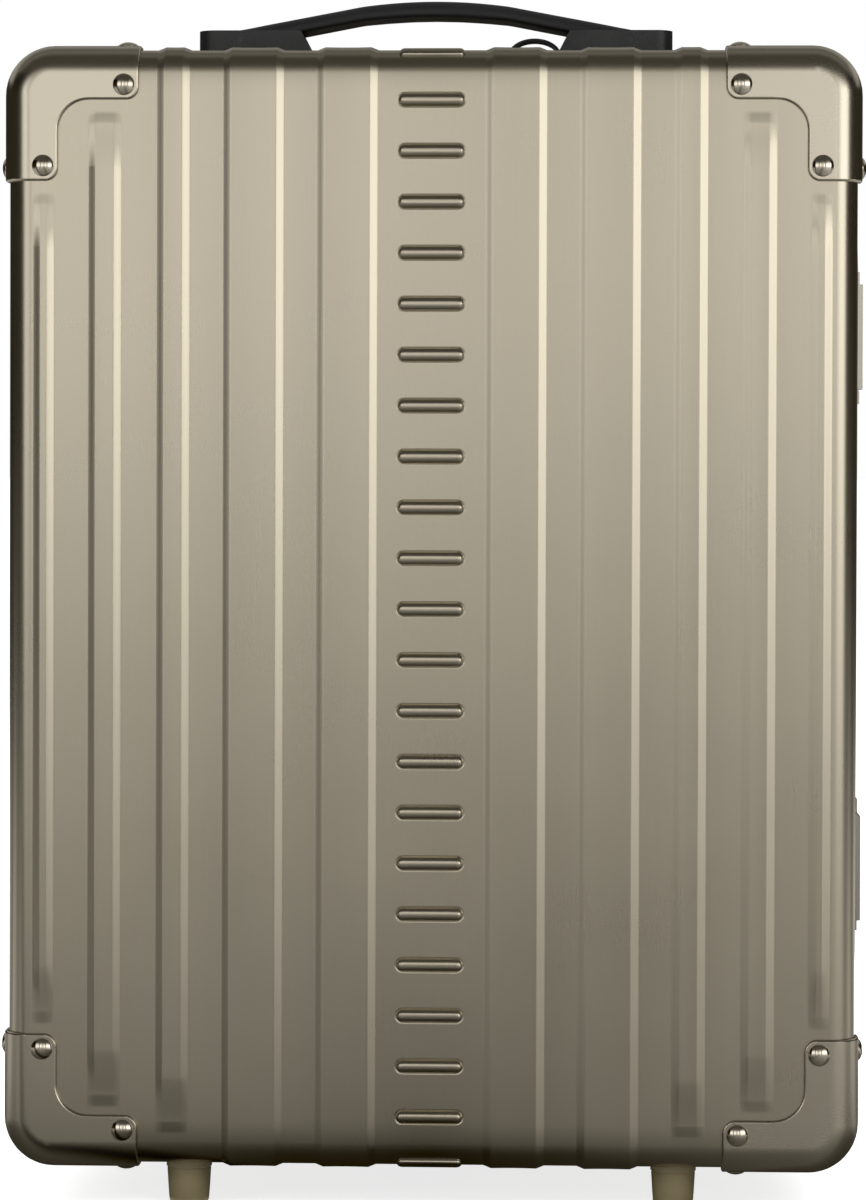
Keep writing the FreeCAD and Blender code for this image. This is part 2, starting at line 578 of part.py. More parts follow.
def fuse(name, *pieces):
    """Join pieces into one solid."""
    feature = document.addObject("Part::MultiFuse", name)
    feature.Shapes = list(pieces)
    feature.Refine = True
    return feature


def common(name, *pieces):
    """Keep what all the pieces share."""
    feature = document.addObject("Part::MultiCommon", name)
    feature.Shapes = list(pieces)
    return feature


def group(name, *pieces):
    """Keep pieces as separate solids of one node."""
    feature = document.addObject("Part::Compound", name)
    feature.Links = list(pieces)
    return feature


def mirror(name, source, axis):
    """Mirror a piece in the plane through the origin that is square to an axis."""
    feature = document.addObject("Part::Mirroring", name)
    feature.Source = source
    feature.Normal = {"X": Vector(1, 0, 0), "Y": Vector(0, 1, 0), "Z": Vector(0, 0, 1)}[axis]
    return feature


def coded(name, shape):
    """Keep a shape worked out in code from the sheet's sizes."""
    feature = document.addObject("Part::Feature", name)
    feature.Shape = shape
    return feature


def copies(name, source, places):
    """Repeat a piece at places, each a position and the direction its own +Z turns to."""
    document.recompute()
    shapes = []
    for x, y, z, direction in places:
        shape = source.Shape.copy()
        position = Vector(as_size(x).number, as_size(y).number, as_size(z).number)
        shape.Placement = FreeCAD.Placement(position, TURNS[direction]).multiply(shape.Placement)
        shapes.append(shape)
    return coded(name, Part.makeCompound(shapes))


# ---------------------------------------------------------------------------------------------
# Fasteners that repeat: each has its seat at the origin, its head up +Z and its shank down
# ---------------------------------------------------------------------------------------------
def dome(radius, height, steps=4):
    """Corners along a quarter of an ellipse, from above a dome's rim to its top."""
    turns = [math.pi / 2 * step / steps for step in range(1, steps)]
    return [(radius * math.cos(turn), height * math.sin(turn)) for turn in turns] + [(0, height)]


def flat_head(radius, height):
    """Corners of a flat head: upright edge, slope, level face."""
    return [(radius, height * HEAD_EDGE), (radius * HEAD_FACE, height), (0, height)]


def make_fastener(label, shank_radius, shank_length, head_radius, head_corners):
    """A shank with a head whose outline is given from its rim to its top."""
    shank = [(0, -shank_length), (shank_radius, -shank_length), (shank_radius, 0), (head_radius, 0)]
    return turn_profile(label, shank + head_corners)


def make_guard_rivet():
    """A domed rivet."""
    return make_fastener("guard_rivet_pattern", rivet_shank_radius, rivet_grip, rivet_head_radius,
                         dome(rivet_head_radius, rivet_head_height))


def make_small_rivet():
    """A flat rivet."""
    return make_fastener("small_rivet_pattern", rivet_shank_radius, rivet_grip, small_rivet_head_radius,
                         flat_head(small_rivet_head_radius, small_rivet_head_height))


def make_screw():
    """A pan head screw."""
    return make_fastener("screw_pattern", screw_shank_radius, screw_length, screw_head_radius,
                         flat_head(screw_head_radius, screw_head_height))


def make_shank_drill(name, length, radius):
    """The hole for a rivet or screw: it runs from just over the seat to just past the shank's end."""
    return rod(name, radius + shank_clearance, length + drill_over * 2, "-Z", 0, 0, drill_over)


guard_rivet = make_guard_rivet()
small_rivet = make_small_rivet()
screw = make_screw()
rivet_drill = make_shank_drill("rivet_drill_pattern", rivet_grip, rivet_shank_radius)
screw_drill = make_shank_drill("screw_drill_pattern", screw_length, screw_shank_radius)


# ---------------------------------------------------------------------------------------------
# Places of the fasteners: position of the seat and the direction the head faces
# ---------------------------------------------------------------------------------------------
def away(half, length):
    """A place in a half, measured from the parting plane."""
    return length * half


def facing(half):
    """The direction that a half's outer face looks in."""
    return "+Y" if half == REAR else "-Y"


def corner_rivets(half, side, level):
    """Six rivets of the guard on one corner."""
    sideways = "+X" if side == RIGHT else "-X"
    upright = "+Z" if level == UPPER else "-Z"
    guard_level = guard_top if level == UPPER else foot_height
    near_x = (guard_side - guard_rivet_near) * side
    far_x = (guard_side - guard_rivet_far) * side
    near_y = away(half, guard_face - guard_rivet_near)
    far_y = away(half, guard_face - guard_rivet_far)
    near_z = guard_level - guard_rivet_near * level
    far_z = guard_level - guard_rivet_far * level
    return [
        (far_x, away(half, guard_face), near_z, facing(half)),
        (near_x, away(half, guard_face), far_z, facing(half)),
        (far_x, near_y, guard_level, upright),
        ((guard_side - guard_rivet_side) * side, far_y, guard_level, upright),
        (guard_side * side, near_y, far_z, sideways),
        (guard_side * side, far_y, guard_level - guard_rivet_side * level, sideways),
    ]


def frame_rivets(half):
    """Rivets through a frame's flange and the sheet, and through the hinge leaves."""
    places = []
    line = away(half, frame_rivet_line)
    for level, direction in [(shell_top + frame_proud, "+Z"), (shell_bottom - frame_proud, "-Z")]:
        for step in (-1.5, -0.5, 0.5, 1.5):
            places.append((level_rivet_pitch * step, line, level, direction))
    for step in (-1.5, -0.5, 0.5, 1.5):
        places.append((-frame_outside, line, middle_level + hinge_side_rivet_pitch * step, "-X"))
    for step in (-1, 0, 1):
        places.append((frame_outside, line, middle_level + latch_side_rivet_pitch * step, "+X"))
    for level in (UPPER, LOWER):
        for end in (-1, 1):
            height = middle_level + hinge_spread * level + hinge_rivet_spread * end
            places.append((-(frame_outside + hinge_leaf_thickness), line, height, "-X"))
    return places


# ---------------------------------------------------------------------------------------------
# Shells
# ---------------------------------------------------------------------------------------------
def make_shell_sheet(half):
    """A drawn sheet: rounded box, hollow, open at the parting plane, with raised ribs."""
    body = new_body("front_sheet" if half == FRONT else "rear_sheet")
    outline = new_sketch(body, "outline", "XZ_Plane", up=middle_level, away=-away(half, frame_seat))
    draw_rounded_rectangle(outline, half_width, shell_height / 2, corner_radius)
    block = extrude(body, "Pad", "block", outline, shell_depth - frame_seat, reverse=half == REAR)
    face_place = away(half, shell_depth).number
    rounded = round_edges(body, block, edges_in(block.Shape, "Y", face_place), edge_radius)
    hollow = body.newObject("PartDesign::Thickness", f"{body.Label}_hollow")
    hollow.Base = (rounded, faces_in(rounded.Shape, "Y", away(half, frame_seat).number))
    bind(hollow, "Value", shell_wall)
    hollow.Join = "Arc"
    hollow.Reversed = True
    document.recompute()
    make_ribs(body, half)
    return body


def make_ribs(body, half):
    """Ten upright ribs, and on the front the column of beads between them."""
    ribs = new_sketch(body, "ribs", "XZ_Plane", away=-away(half, shell_depth - shell_wall / 2))
    over_housing = housing_top_reach + guard_lobe_radius
    middle_foot = over_housing if half == REAR else middle_rib_end
    for spacing, width, end, foot in [
        (half_width - rib_inset_a, slim_rib_width, short_rib_end, short_rib_end),
        (half_width - rib_inset_b, medium_rib_width, middle_rib_end, middle_foot),
        (half_width - rib_inset_c, medium_rib_width, long_rib_end, long_rib_end),
        (rib_spacing_d, broad_rib_width, long_rib_end, long_rib_end),
        (rib_spacing_e, broad_rib_width, long_rib_end, long_rib_end),
    ]:
        for side in (LEFT, RIGHT):
            near = (spacing - width / 2) * side
            far = (spacing + width / 2) * side
            draw_rectangle(ribs, near, far, shell_bottom + foot, shell_top - end)
    extrude(body, "Pad", "rib_pad", ribs, rib_height + shell_wall / 2, reverse=half == REAR)
    if half == REAR:
        return
    first_level = middle_level + bead_pitch * (bead_count - 1) / 2
    bead = new_sketch(body, "bead", "XZ_Plane", up=first_level, away=shell_depth - shell_wall / 2)
    draw_rounded_rectangle(bead, bead_length / 2, bead_width / 2, bead_width * 0.49)
    pad = extrude(body, "Pad", "bead_pad", bead, rib_height + shell_wall / 2)
    column = body.newObject("PartDesign::LinearPattern", f"{body.Label}_column")
    column.Originals = [pad]
    column.Direction = (bead, ["V_Axis"])
    column.Reversed = True
    bind(column, "Length", bead_pitch * (bead_count - 1))
    column.Occurrences = int(bead_count.number)
    body.Tip = column
    document.recompute()


def make_case_solid(half, grow, start, face=None):
    """A solid of a shell's outer shape, grown or shrunk all round, from a start to its face."""
    width = half_width.number + grow
    low, high = shell_bottom.number - grow, shell_top.number + grow
    depth = shell_depth.number + grow if face is None else face
    solid = Part.makeBox(2 * width, depth - start, high - low, Vector(-width, start, low))
    upright = [edge for edge in solid.Edges if edge.BoundBox.YLength > (depth - start) * 0.99]
    solid = solid.makeFillet(corner_radius.number + grow, upright)
    far = [edge for edge in solid.Edges if edge.BoundBox.YMin > depth - 0.01]
    solid = solid.makeFillet(edge_radius.number + grow, far)
    if half == FRONT:
        solid = solid.mirror(Vector(), Vector(0, 1, 0))
    return solid


front_sheet = make_shell_sheet(FRONT)
rear_sheet = make_shell_sheet(REAR)


# ---------------------------------------------------------------------------------------------
# Frames and seal
# ---------------------------------------------------------------------------------------------
def add_ring(body, name, half, outside, inside, start, end, kind="Pad"):
    """Add or cut a ring round the case between two growths and two distances from the parting."""
    sketch = new_sketch(body, name, "XZ_Plane", up=middle_level, away=-away(half, start))
    for growth in (outside, inside):
        height = shell_height / 2 + growth
        draw_rounded_rectangle(sketch, half_width + growth, height, corner_radius + growth)
    reverse = (half == REAR) != (kind == "Pocket")
    return extrude(body, kind, f"{name}_{kind.lower()}", sketch, end - start, reverse=reverse)


def make_frame(half, label):
    """An extruded frame, bent into a ring: web over the sheet's edge, outer flange, inner lip."""
    body = new_body(label)
    add_ring(body, "web", half, frame_proud, -frame_lip_inset, parting_gap, frame_seat)
    flange_inside = frame_fit
    lip_outside = -(shell_wall + frame_fit)
    add_ring(body, "flange", half, frame_proud, flange_inside, frame_seat, frame_flange)
    add_ring(body, "lip", half, lip_outside, -frame_lip_inset, frame_seat, frame_lip)
    if half == FRONT:
        groove_outside = -(seal_outer_inset - seal_fit)
        groove_inside = -(seal_inner_inset + seal_fit)
        groove_end = parting_gap + seal_groove_depth
        add_ring(body, "groove", half, groove_outside, groove_inside, parting_gap, groove_end, "Pocket")
    return body


def make_seal():
    """A rubber strip in the front frame's groove, just short of the rear frame."""
    body = new_body("frame_seal")
    start = parting_gap + seal_groove_depth
    sketch = new_sketch(body, "strip", "XZ_Plane", up=middle_level, away=start)
    for growth in (-seal_outer_inset, -seal_inner_inset):
        height = shell_height / 2 + growth
        draw_rounded_rectangle(sketch, half_width + growth, height, corner_radius + growth)
    extrude(body, "Pad", "strip_pad", sketch, seal_depth, reverse=True)
    return body


front_frame_ring = make_frame(FRONT, "front_frame_ring")
rear_frame_ring = make_frame(REAR, "rear_frame_ring")
frame_seal = make_seal()


# ---------------------------------------------------------------------------------------------
# Corner guards
# ---------------------------------------------------------------------------------------------
def make_guard_region(side_reach):
    """The three-armed region of a guard, from the outer corner at the origin into +X, +Y and +Z."""
    arm, reach = guard_arm_width.number, guard_arm_reach.number
    wide = guard_side_width.number
    over = past.number
    past_edge = edge_radius.number + guard_proud.number
    pieces = [
        Part.makeBox(reach + over, arm + over, arm + over, Vector(-over, -over, -over)),
        Part.makeBox(arm + over, arm + over, reach + over, Vector(-over, -over, -over)),
        Part.makeBox(wide + over, side_reach - past_edge, wide + over, Vector(-over, past_edge, -over)),
    ]
    region = pieces[0].multiFuse(pieces[1:]).removeSplitter()
    lobes = guard_lobe_radius.number
    region = fillet_posts(region, "Y", [(reach, arm), (arm, reach)], lobes)
    region = fillet_posts(region, "Z", [(reach, arm), (wide, side_reach)], lobes)
    region = fillet_posts(region, "X", [(arm, reach), (side_reach, wide)], lobes)
    fills = [
        make_crotch(Vector(arm, -over, arm), Vector(0, 1, 0), arm + over),
        make_crotch(Vector(wide, arm, -over), Vector(0, 0, 1), arm + over),
        make_crotch(Vector(-over, arm, wide), Vector(1, 0, 0), arm + over),
    ]
    return region.multiFuse(fills)


def make_crotch(corner, along, length):
    """The concave rounding between two arms: a square post less a round one."""
    radius = guard_crotch_radius.number
    spread = (Vector(1, 1, 1) - along) * radius
    size_of_post = spread + along * length
    post = Part.makeBox(size_of_post.x, size_of_post.y, size_of_post.z, corner)
    return post.cut(Part.makeCylinder(radius, length, corner + spread, along))


def fillet_posts(solid, axis, places, radius):
    """Round the edges that run along an axis at places given by the other two coordinates."""
    others = [name for name in "XYZ" if name != axis]
    picked = []
    for edge in solid.Edges:
        bounds = edge.BoundBox
        if getattr(bounds, f"{axis}Length") < 0.5:
            continue
        for first, second in places:
            gap = abs(getattr(bounds, f"{others[0]}Min") - first)
            gap += abs(getattr(bounds, f"{others[0]}Max") - first)
            gap += abs(getattr(bounds, f"{others[1]}Min") - second)
            gap += abs(getattr(bounds, f"{others[1]}Max") - second)
            if gap < 0.01:
                picked.append(edge)
    return solid.makeFillet(radius, picked) if picked else solid


def make_guard_skin(half):
    """A skin of the guards' thickness all round a shell."""
    outer = make_case_solid(half, guard_proud.number, (frame_flange + past).number)
    inner = make_case_solid(half, press_gap.number, frame_flange.number)
    return outer.cut(inner)


def put_in_corner(region, half, side, level):
    """Turn a region from the origin's corner into one outer corner of the case."""
    shape = region.copy()
    if side == RIGHT:
        shape = shape.mirror(Vector(), Vector(1, 0, 0))
    if half == REAR:
        shape = shape.mirror(Vector(), Vector(0, 1, 0))
    if level == UPPER:
        shape = shape.mirror(Vector(), Vector(0, 0, 1))
    height = guard_top if level == UPPER else foot_height
    shape.translate(Vector(guard_side.number * side, guard_face.number * half, height.number))
    return shape


def make_guards(name, half, levels):
    """The pressed guards of one half, each a piece of the skin, drilled for its rivets."""
    skin = make_guard_skin(half)
    region = make_guard_region(guard_arm_reach.number)
    guards = []
    for level in levels:
        for side in (LEFT, RIGHT):
            guard = skin.common(put_in_corner(region, half, side, level))
            guards.append(guard)
    blank = coded(f"{name}_blank", Part.makeCompound(guards))
    return cut(name, blank, guard_drills(name, half, levels))


def guard_rivet_places(half, levels):
    """All the guard rivets of one half."""
    places = []
    for level in levels:
        for side in (LEFT, RIGHT):
            places.extend(corner_rivets(half, side, level))
    return places


def guard_drills(name, half, levels):
    """The holes for them."""
    return copies(f"{name}_drills", rivet_drill, guard_rivet_places(half, levels))


front_corner_guards = make_guards("front_corner_guards", FRONT, (UPPER, LOWER))
rear_corner_guards = make_guards("rear_corner_guards", REAR, (UPPER,))
front_guard_rivets = copies("front_guard_rivets", guard_rivet, guard_rivet_places(FRONT, (UPPER, LOWER)))
rear_guard_rivets = copies("rear_guard_rivets", guard_rivet, guard_rivet_places(REAR, (UPPER,)))
front_frame_rivets = copies("front_frame_rivets", small_rivet, frame_rivets(FRONT))
rear_frame_rivets = copies("rear_frame_rivets", small_rivet, frame_rivets(REAR))


# ---------------------------------------------------------------------------------------------
# Hinges
# ---------------------------------------------------------------------------------------------
def make_leaf(half, level):
    """One leaf with its own knuckles: the rear leaf has three, the front leaf two between them."""
    name = f"{'front' if half == FRONT else 'rear'}_leaf_{'upper' if level == UPPER else 'lower'}"
    middle = middle_level + hinge_spread * level
    low = middle - hinge_length / 2
    pitch = hinge_length / HINGE_KNUCKLES
    inner = -frame_outside
    outer = -(frame_outside + hinge_leaf_thickness)
    near, far = away(half, hinge_leaf_clear), away(half, hinge_leaf_reach)
    front, back = (near, far) if half == REAR else (far, near)
    plates = [box(f"{name}_plate", outer, inner, front, back, low, low + hinge_length)]
    first = 0 if half == REAR else 1
    for number in range(first, HINGE_KNUCKLES, 2):
        start = low + pitch * number + hinge_knuckle_gap / 2
        end = low + pitch * (number + 1) - hinge_knuckle_gap / 2
        own_front, own_back = (NOTHING, near) if half == REAR else (near, NOTHING)
        plates.append(box(f"{name}_finger_{number}", outer, inner, own_front, own_back, start, end))
        plates.append(rod(f"{name}_knuckle_{number}", hinge_barrel_radius, end - start, "+Z",
                          -hinge_out, 0, start))
    solid = fuse(f"{name}_solid", *plates)
    bore = rod(f"{name}_bore", hinge_pin_radius + hinge_running, hinge_length, "+Z", -hinge_out, 0, low)
    return cut(name, solid, bore)


def make_hinge_leaves(half):
    """Both leaves of a half, drilled for their rivets."""
    name = "hinge_front_leaves" if half == FRONT else "hinge_rear_leaves"
    leaves = group(f"{name}_blank", make_leaf(half, UPPER), make_leaf(half, LOWER))
    drills = copies(f"{name}_drills", rivet_drill, frame_rivets(half))
    return cut(name, leaves, drills)


def make_hinge_pins():
    """A headed pin in each hinge."""
    pins = []
    for level, word in ((UPPER, "upper"), (LOWER, "lower")):
        low = middle_level + hinge_spread * level - hinge_length / 2
        shank = rod(f"pin_{word}", hinge_pin_radius, hinge_length, "+Z", -hinge_out, 0, low)
        foot = rod(f"pin_{word}_foot", hinge_pin_head_radius, hinge_pin_head, "-Z", -hinge_out, 0, low)
        head = rod(f"pin_{word}_head", hinge_pin_head_radius, hinge_pin_head, "+Z",
                   -hinge_out, 0, low + hinge_length)
        pins.append(fuse(f"pin_{word}_solid", shank, foot, head))
    return group("hinge_pins", *pins)


hinge_rear_leaves = make_hinge_leaves(REAR)
hinge_front_leaves = make_hinge_leaves(FRONT)
hinge_pins = make_hinge_pins()


# ---------------------------------------------------------------------------------------------
# Latches: body with three number dials on the rear frame, lever over it, strike on the front frame
# ---------------------------------------------------------------------------------------------
def make_latch_body(level):
    """The cast body: floor under the lever, cheeks that hold its trunnions, block for the dials."""
    word = "upper" if level == UPPER else "lower"
    middle = middle_level + latch_spread * level
    low, high = middle - latch_length / 2, middle + latch_length / 2
    seat = frame_outside
    sheet = half_width + press_gap
    floor = box(f"latch_{word}_floor", seat, seat + latch_floor, latch_start, latch_step, low, high)
    pieces = [floor]
    cheek_end = lever_pivot_line + lever_barrel_radius + latch_cheek_wall
    for number, start in enumerate((low, high - latch_cheek)):
        cheek = box(f"latch_{word}_cheek_{number}", seat, latch_cheek_top, latch_start, cheek_end,
                    start, start + latch_cheek)
        pieces.append(cheek)
    beside_frame = frame_flange + frame_fit
    pieces.append(box(f"latch_{word}_bridge", seat, latch_top, latch_step, latch_reach, low, high))
    pieces.append(box(f"latch_{word}_block", sheet, seat + latch_floor,
                      beside_frame, latch_reach, low, high))
    solid = fuse(f"latch_{word}_solid", *pieces)
    tools = []
    bore = rod(f"latch_{word}_trunnion_bore", lever_trunnion_radius + dial_running, latch_length, "+Z",
               lever_pivot_out, lever_pivot_line, low)
    tools.append(bore)
    for number in (-1, 0, 1):
        centre = middle + dial_pitch * number
        half_slot = dial_width / 2 + dial_play
        reach = dial_radius + dial_play
        tools.append(box(f"latch_{word}_window_{number + 1}", sheet - past, latch_top + past,
                         dial_line - reach, dial_line + reach, centre - half_slot, centre + half_slot))
    tools.append(rod(f"latch_{word}_axle_bore", dial_axle_radius + press_gap,
                     dial_axle_length + press_gap * 2, "+Z", dial_axis_out, dial_line,
                     middle - dial_axle_length / 2 - press_gap))
    tools.append(copies(f"latch_{word}_drills", screw_drill, latch_screw_places(level)))
    return cut(f"latch_{word}", solid, *tools)


def latch_screw_places(level):
    """Two screws from inside the rear shell into the latch body."""
    middle = middle_level + latch_spread * level
    seat = half_width - shell_wall
    reach = latch_length / 2 - latch_cheek / 2
    return [(seat, dial_line, middle + reach * end, "-X") for end in (-1, 1)]


def strike_screw_places():
    """Two screws from inside the front shell into each strike."""
    seat = half_width - shell_wall
    line = -(frame_lip + screw_head_radius + screw_head_gap)
    places = []
    for level in (UPPER, LOWER):
        middle = middle_level + latch_spread * level
        for end in (-1, 1):
            places.append((seat, line, middle + strike_screw_spread * end, "-X"))
    return places


def make_lever(level):
    """The lever: plate, rounded root and a trunnion at each end."""
    word = "upper" if level == UPPER else "lower"
    middle = middle_level + latch_spread * level
    half_length = latch_length / 2 - latch_cheek - lever_play
    low, high = middle - half_length, middle + half_length
    inner = lever_face - lever_thickness
    plate = box(f"lever_{word}_plate", inner, lever_face, -lever_tip, lever_pivot_line, low, high)
    root = rod(f"lever_{word}_root", lever_barrel_radius, half_length * 2, "+Z",
               lever_pivot_out, lever_pivot_line, low)
    trunnion = rod(f"lever_{word}_trunnion", lever_trunnion_radius,
                   (half_length + lever_trunnion_length) * 2, "+Z",
                   lever_pivot_out, lever_pivot_line, low - lever_trunnion_length)
    return fuse(f"latch_lever_{word}", plate, root, trunnion)


def make_dial(level, number):
    """A dial with ten grooves round its rim."""
    word = "upper" if level == UPPER else "lower"
    middle = middle_level + latch_spread * level + dial_pitch * number
    body = new_body(f"dial_{word}_{number + 2}")
    sketch = new_sketch(body, "outline", "XY_Plane", across=dial_axis_out, up=dial_line,
                        away=middle - dial_width / 2)
    draw_circle(sketch, 0, 0, dial_radius)
    draw_circle(sketch, 0, 0, dial_axle_radius + dial_running)
    extrude(body, "Pad", "disc", sketch, dial_width)
    notch = new_sketch(body, "notch", "XY_Plane", across=dial_axis_out, up=dial_line,
                       away=middle - dial_width / 2)
    draw_circle(notch, dial_radius + dial_notch_radius / 2, 0, dial_notch_radius)
    groove = extrude(body, "Pocket", "groove", notch, dial_width, reverse=True)
    ring = body.newObject("PartDesign::PolarPattern", f"{body.Label}_ring")
    ring.Originals = [groove]
    ring.Axis = (notch, ["N_Axis"])
    ring.Angle = 360
    ring.Occurrences = DIAL_NUMBERS
    body.Tip = ring
    document.recompute()
    return body


def make_dial_axles():
    """The axle of each latch's dials."""
    axles = []
    for level in (UPPER, LOWER):
        middle = middle_level + latch_spread * level
        axles.append(rod(f"dial_axle_{level + 1}", dial_axle_radius, dial_axle_length, "+Z",
                         dial_axis_out, dial_line, middle - dial_axle_length / 2))
    return group("dial_axles", *axles)


def make_strike(level):
    """The strike: plate on the front frame with a tongue that enters the latch body."""
    middle = middle_level + latch_spread * level
    half_plate, half_tongue = strike_length / 2, tongue_length / 2
    seat = frame_outside
    tongue_top = lever_face - lever_thickness - lever_play
    tongue_bottom = tongue_top - tongue_thickness
    plate = box(f"strike_plate_{level + 1}", seat, seat + strike_thickness, -strike_reach, -strike_gap,
                middle - half_plate, middle + half_plate)
    riser = box(f"strike_riser_{level + 1}", seat, tongue_top, -tongue_reach, -strike_gap,
                middle - half_tongue, middle + half_tongue)
    tongue = box(f"strike_tongue_{level + 1}", tongue_bottom, tongue_top, -strike_gap, tongue_reach,
                 middle - half_tongue, middle + half_tongue)
    return fuse(f"strike_{level + 1}", plate, riser, tongue)


latch_bodies = group("latch_bodies", make_latch_body(UPPER), make_latch_body(LOWER))
latch_lever_upper = make_lever(UPPER)
latch_lever_lower = make_lever(LOWER)
dials = [make_dial(level, number) for level in (UPPER, LOWER) for number in (-1, 0, 1)]
dial_axles = make_dial_axles()
strike_blanks = group("strike_blanks", make_strike(UPPER), make_strike(LOWER))
latch_strikes = cut("latch_strikes", strike_blanks,
                    copies("strike_drills", screw_drill, strike_screw_places()))


# ---------------------------------------------------------------------------------------------
# Wheels and their housings
# ---------------------------------------------------------------------------------------------
def make_well_box(name, side, half_length, grow):
    """The block of one wheel well: open below and behind, grown by a wall or a gap."""
    middle = wheel_out * side
    return box(name, middle - half_length, middle + half_length,
               wheel_line - well_reach - grow, guard_face + past, -past, wheel_radius + well_reach + grow)


def make_housing_skin(side):
    """The moulded corner outside the shell, as thick as the corner guards."""
    over = past.number
    outer = make_case_solid(REAR, guard_proud.number, 0)
    inner = make_case_solid(REAR, press_gap.number, -over)
    width, depth = housing_side_reach.number, housing_front_reach.number
    height = housing_top_reach.number
    left = guard_side.number - width if side == RIGHT else -guard_side.number - over
    region = Part.makeBox(width + over, depth + over, height + over,
                          Vector(left, guard_face.number - depth, foot_height.number - over))
    upper_edge = [edge for edge in region.Edges if edge.BoundBox.ZMin > foot_height.number + height - 0.01
                  and edge.BoundBox.XLength > width]
    region = region.makeFillet(guard_crotch_radius.number, upper_edge)
    return coded(f"housing_skin_{side + 1}", outer.cut(inner).common(region))


def housing_screw_places():
    """Screws of the housings: one each in the side, the back and the underside."""
    places = []
    for side, sideways in ((LEFT, "-X"), (RIGHT, "+X")):
        inner_line = guard_side - housing_side_reach + housing_screw_inset
        front_line = guard_face - housing_front_reach + housing_screw_inset
        upper_line = foot_height + housing_top_reach - housing_screw_inset
        places.append((guard_side * side, front_line, upper_line, sideways))
        places.append((inner_line * side, guard_face, upper_line - housing_screw_inset, "+Y"))
        places.append((inner_line * side, front_line, foot_height, "-Z"))
    return places


def make_housing(side):
    """One corner unit: skin outside, well inside, drilled for the axle and its screws."""
    word = "right" if side == RIGHT else "left"
    outer = make_well_box(f"well_{word}_outer", side, well_box_half, well_wall)
    inside = coded(f"well_{word}_limit", make_case_solid(REAR, guard_proud.number, 0))
    walls = common(f"well_{word}_walls", outer, inside)
    solid = fuse(f"housing_{word}_solid", make_housing_skin(side), walls)
    hollow = make_well_box(f"well_{word}_hollow", side, well_half_width, NOTHING)
    axle = rod(f"well_{word}_axle_bore", axle_radius + press_gap, (well_box_half + past) * 2, "+X",
               wheel_out * side - well_box_half - past, wheel_line, wheel_radius)
    drills = copies(f"housing_{word}_drills", screw_drill, housing_screw_places())
    return cut(f"housing_{word}", solid, hollow, axle, drills)


def make_wheel(side):
    """Hub, tyre and two ball bearings of one wheel, about an axle along X."""
    word = "right" if side == RIGHT else "left"
    middle = wheel_out * side
    half_width_of_wheel = wheel_width / 2
    seat = bearing_radius + press_gap
    hub = new_body(f"hub_{word}")
    section = new_sketch(hub, "section", "XY_Plane", across=middle, up=wheel_line, away=wheel_radius)
    boss = seat + hub_rim
    rim = hub_radius - hub_rim
    draw_polygon(section, [
        (-half_width_of_wheel, seat),
        (-half_width_of_wheel, boss),
        (-hub_web / 2, boss + hub_slope),
        (-hub_web / 2, rim - hub_slope),
        (-half_width_of_wheel, rim),
        (-half_width_of_wheel, hub_radius),
        (half_width_of_wheel, hub_radius),
        (half_width_of_wheel, rim),
        (hub_web / 2, rim - hub_slope),
        (hub_web / 2, boss + hub_slope),
        (half_width_of_wheel, boss),
        (half_width_of_wheel, seat),
    ])
    turn_about(hub, section, "H_Axis")
    holes = new_sketch(hub, "holes", "YZ_Plane", across=wheel_line, up=wheel_radius, away=middle)
    draw_circle(holes, (boss + rim) / 2, 0, hub_hole_radius)
    hole = extrude(hub, "Pocket", "hole", holes, hub_web * 2, middle=True)
    ring = hub.newObject("PartDesign::PolarPattern", f"{hub.Label}_ring")
    ring.Originals = [hole]
    ring.Axis = (holes, ["N_Axis"])
    ring.Angle = 360
    ring.Occurrences = HUB_HOLES
    hub.Tip = ring

    tyre = new_body(f"tyre_{word}")
    section = new_sketch(tyre, "section", "XY_Plane", across=middle, up=wheel_line, away=wheel_radius)
    shoulder = tyre_shoulder
    draw_polygon(section, [
        (-half_width_of_wheel, hub_radius + press_gap),
        (-half_width_of_wheel, wheel_radius - shoulder),
        (-half_width_of_wheel + shoulder * CORNER_SHARE, wheel_radius - shoulder * CORNER_SHARE),
        (-half_width_of_wheel + shoulder, wheel_radius),
        (half_width_of_wheel - shoulder, wheel_radius),
        (half_width_of_wheel - shoulder * CORNER_SHARE, wheel_radius - shoulder * CORNER_SHARE),
        (half_width_of_wheel, wheel_radius - shoulder),
        (half_width_of_wheel, hub_radius + press_gap),
    ])
    turn_about(tyre, section, "H_Axis")

    rings = []
    for end in (-1, 1):
        start = middle + (half_width_of_wheel - bearing_width / 2) * end - bearing_width / 2
        outer = rod(f"bearing_{word}_{end + 1}", bearing_radius, bearing_width, "+X",
                    start, wheel_line, wheel_radius)
        bore = rod(f"bearing_{word}_{end + 1}_bore", axle_radius + axle_running, bearing_width, "+X",
                   start, wheel_line, wheel_radius)
        rings.append(cut(f"bearing_{word}_{end + 1}_ring", outer, bore))
    bearings = group(f"bearings_{word}", *rings)
    return hub, tyre, bearings


def make_axle(side):
    """A plain axle that ends flush with the well's walls."""
    return rod(f"axle_{side + 1}", axle_radius, well_box_half * 2, "+X",
               wheel_out * side - well_box_half, wheel_line, wheel_radius)


wheel_housings = group("wheel_housings", make_housing(LEFT), make_housing(RIGHT))
wheel_axles = group("wheel_axles", make_axle(LEFT), make_axle(RIGHT))
hub_left, tyre_left, bearings_left = make_wheel(LEFT)
hub_right, tyre_right, bearings_right = make_wheel(RIGHT)


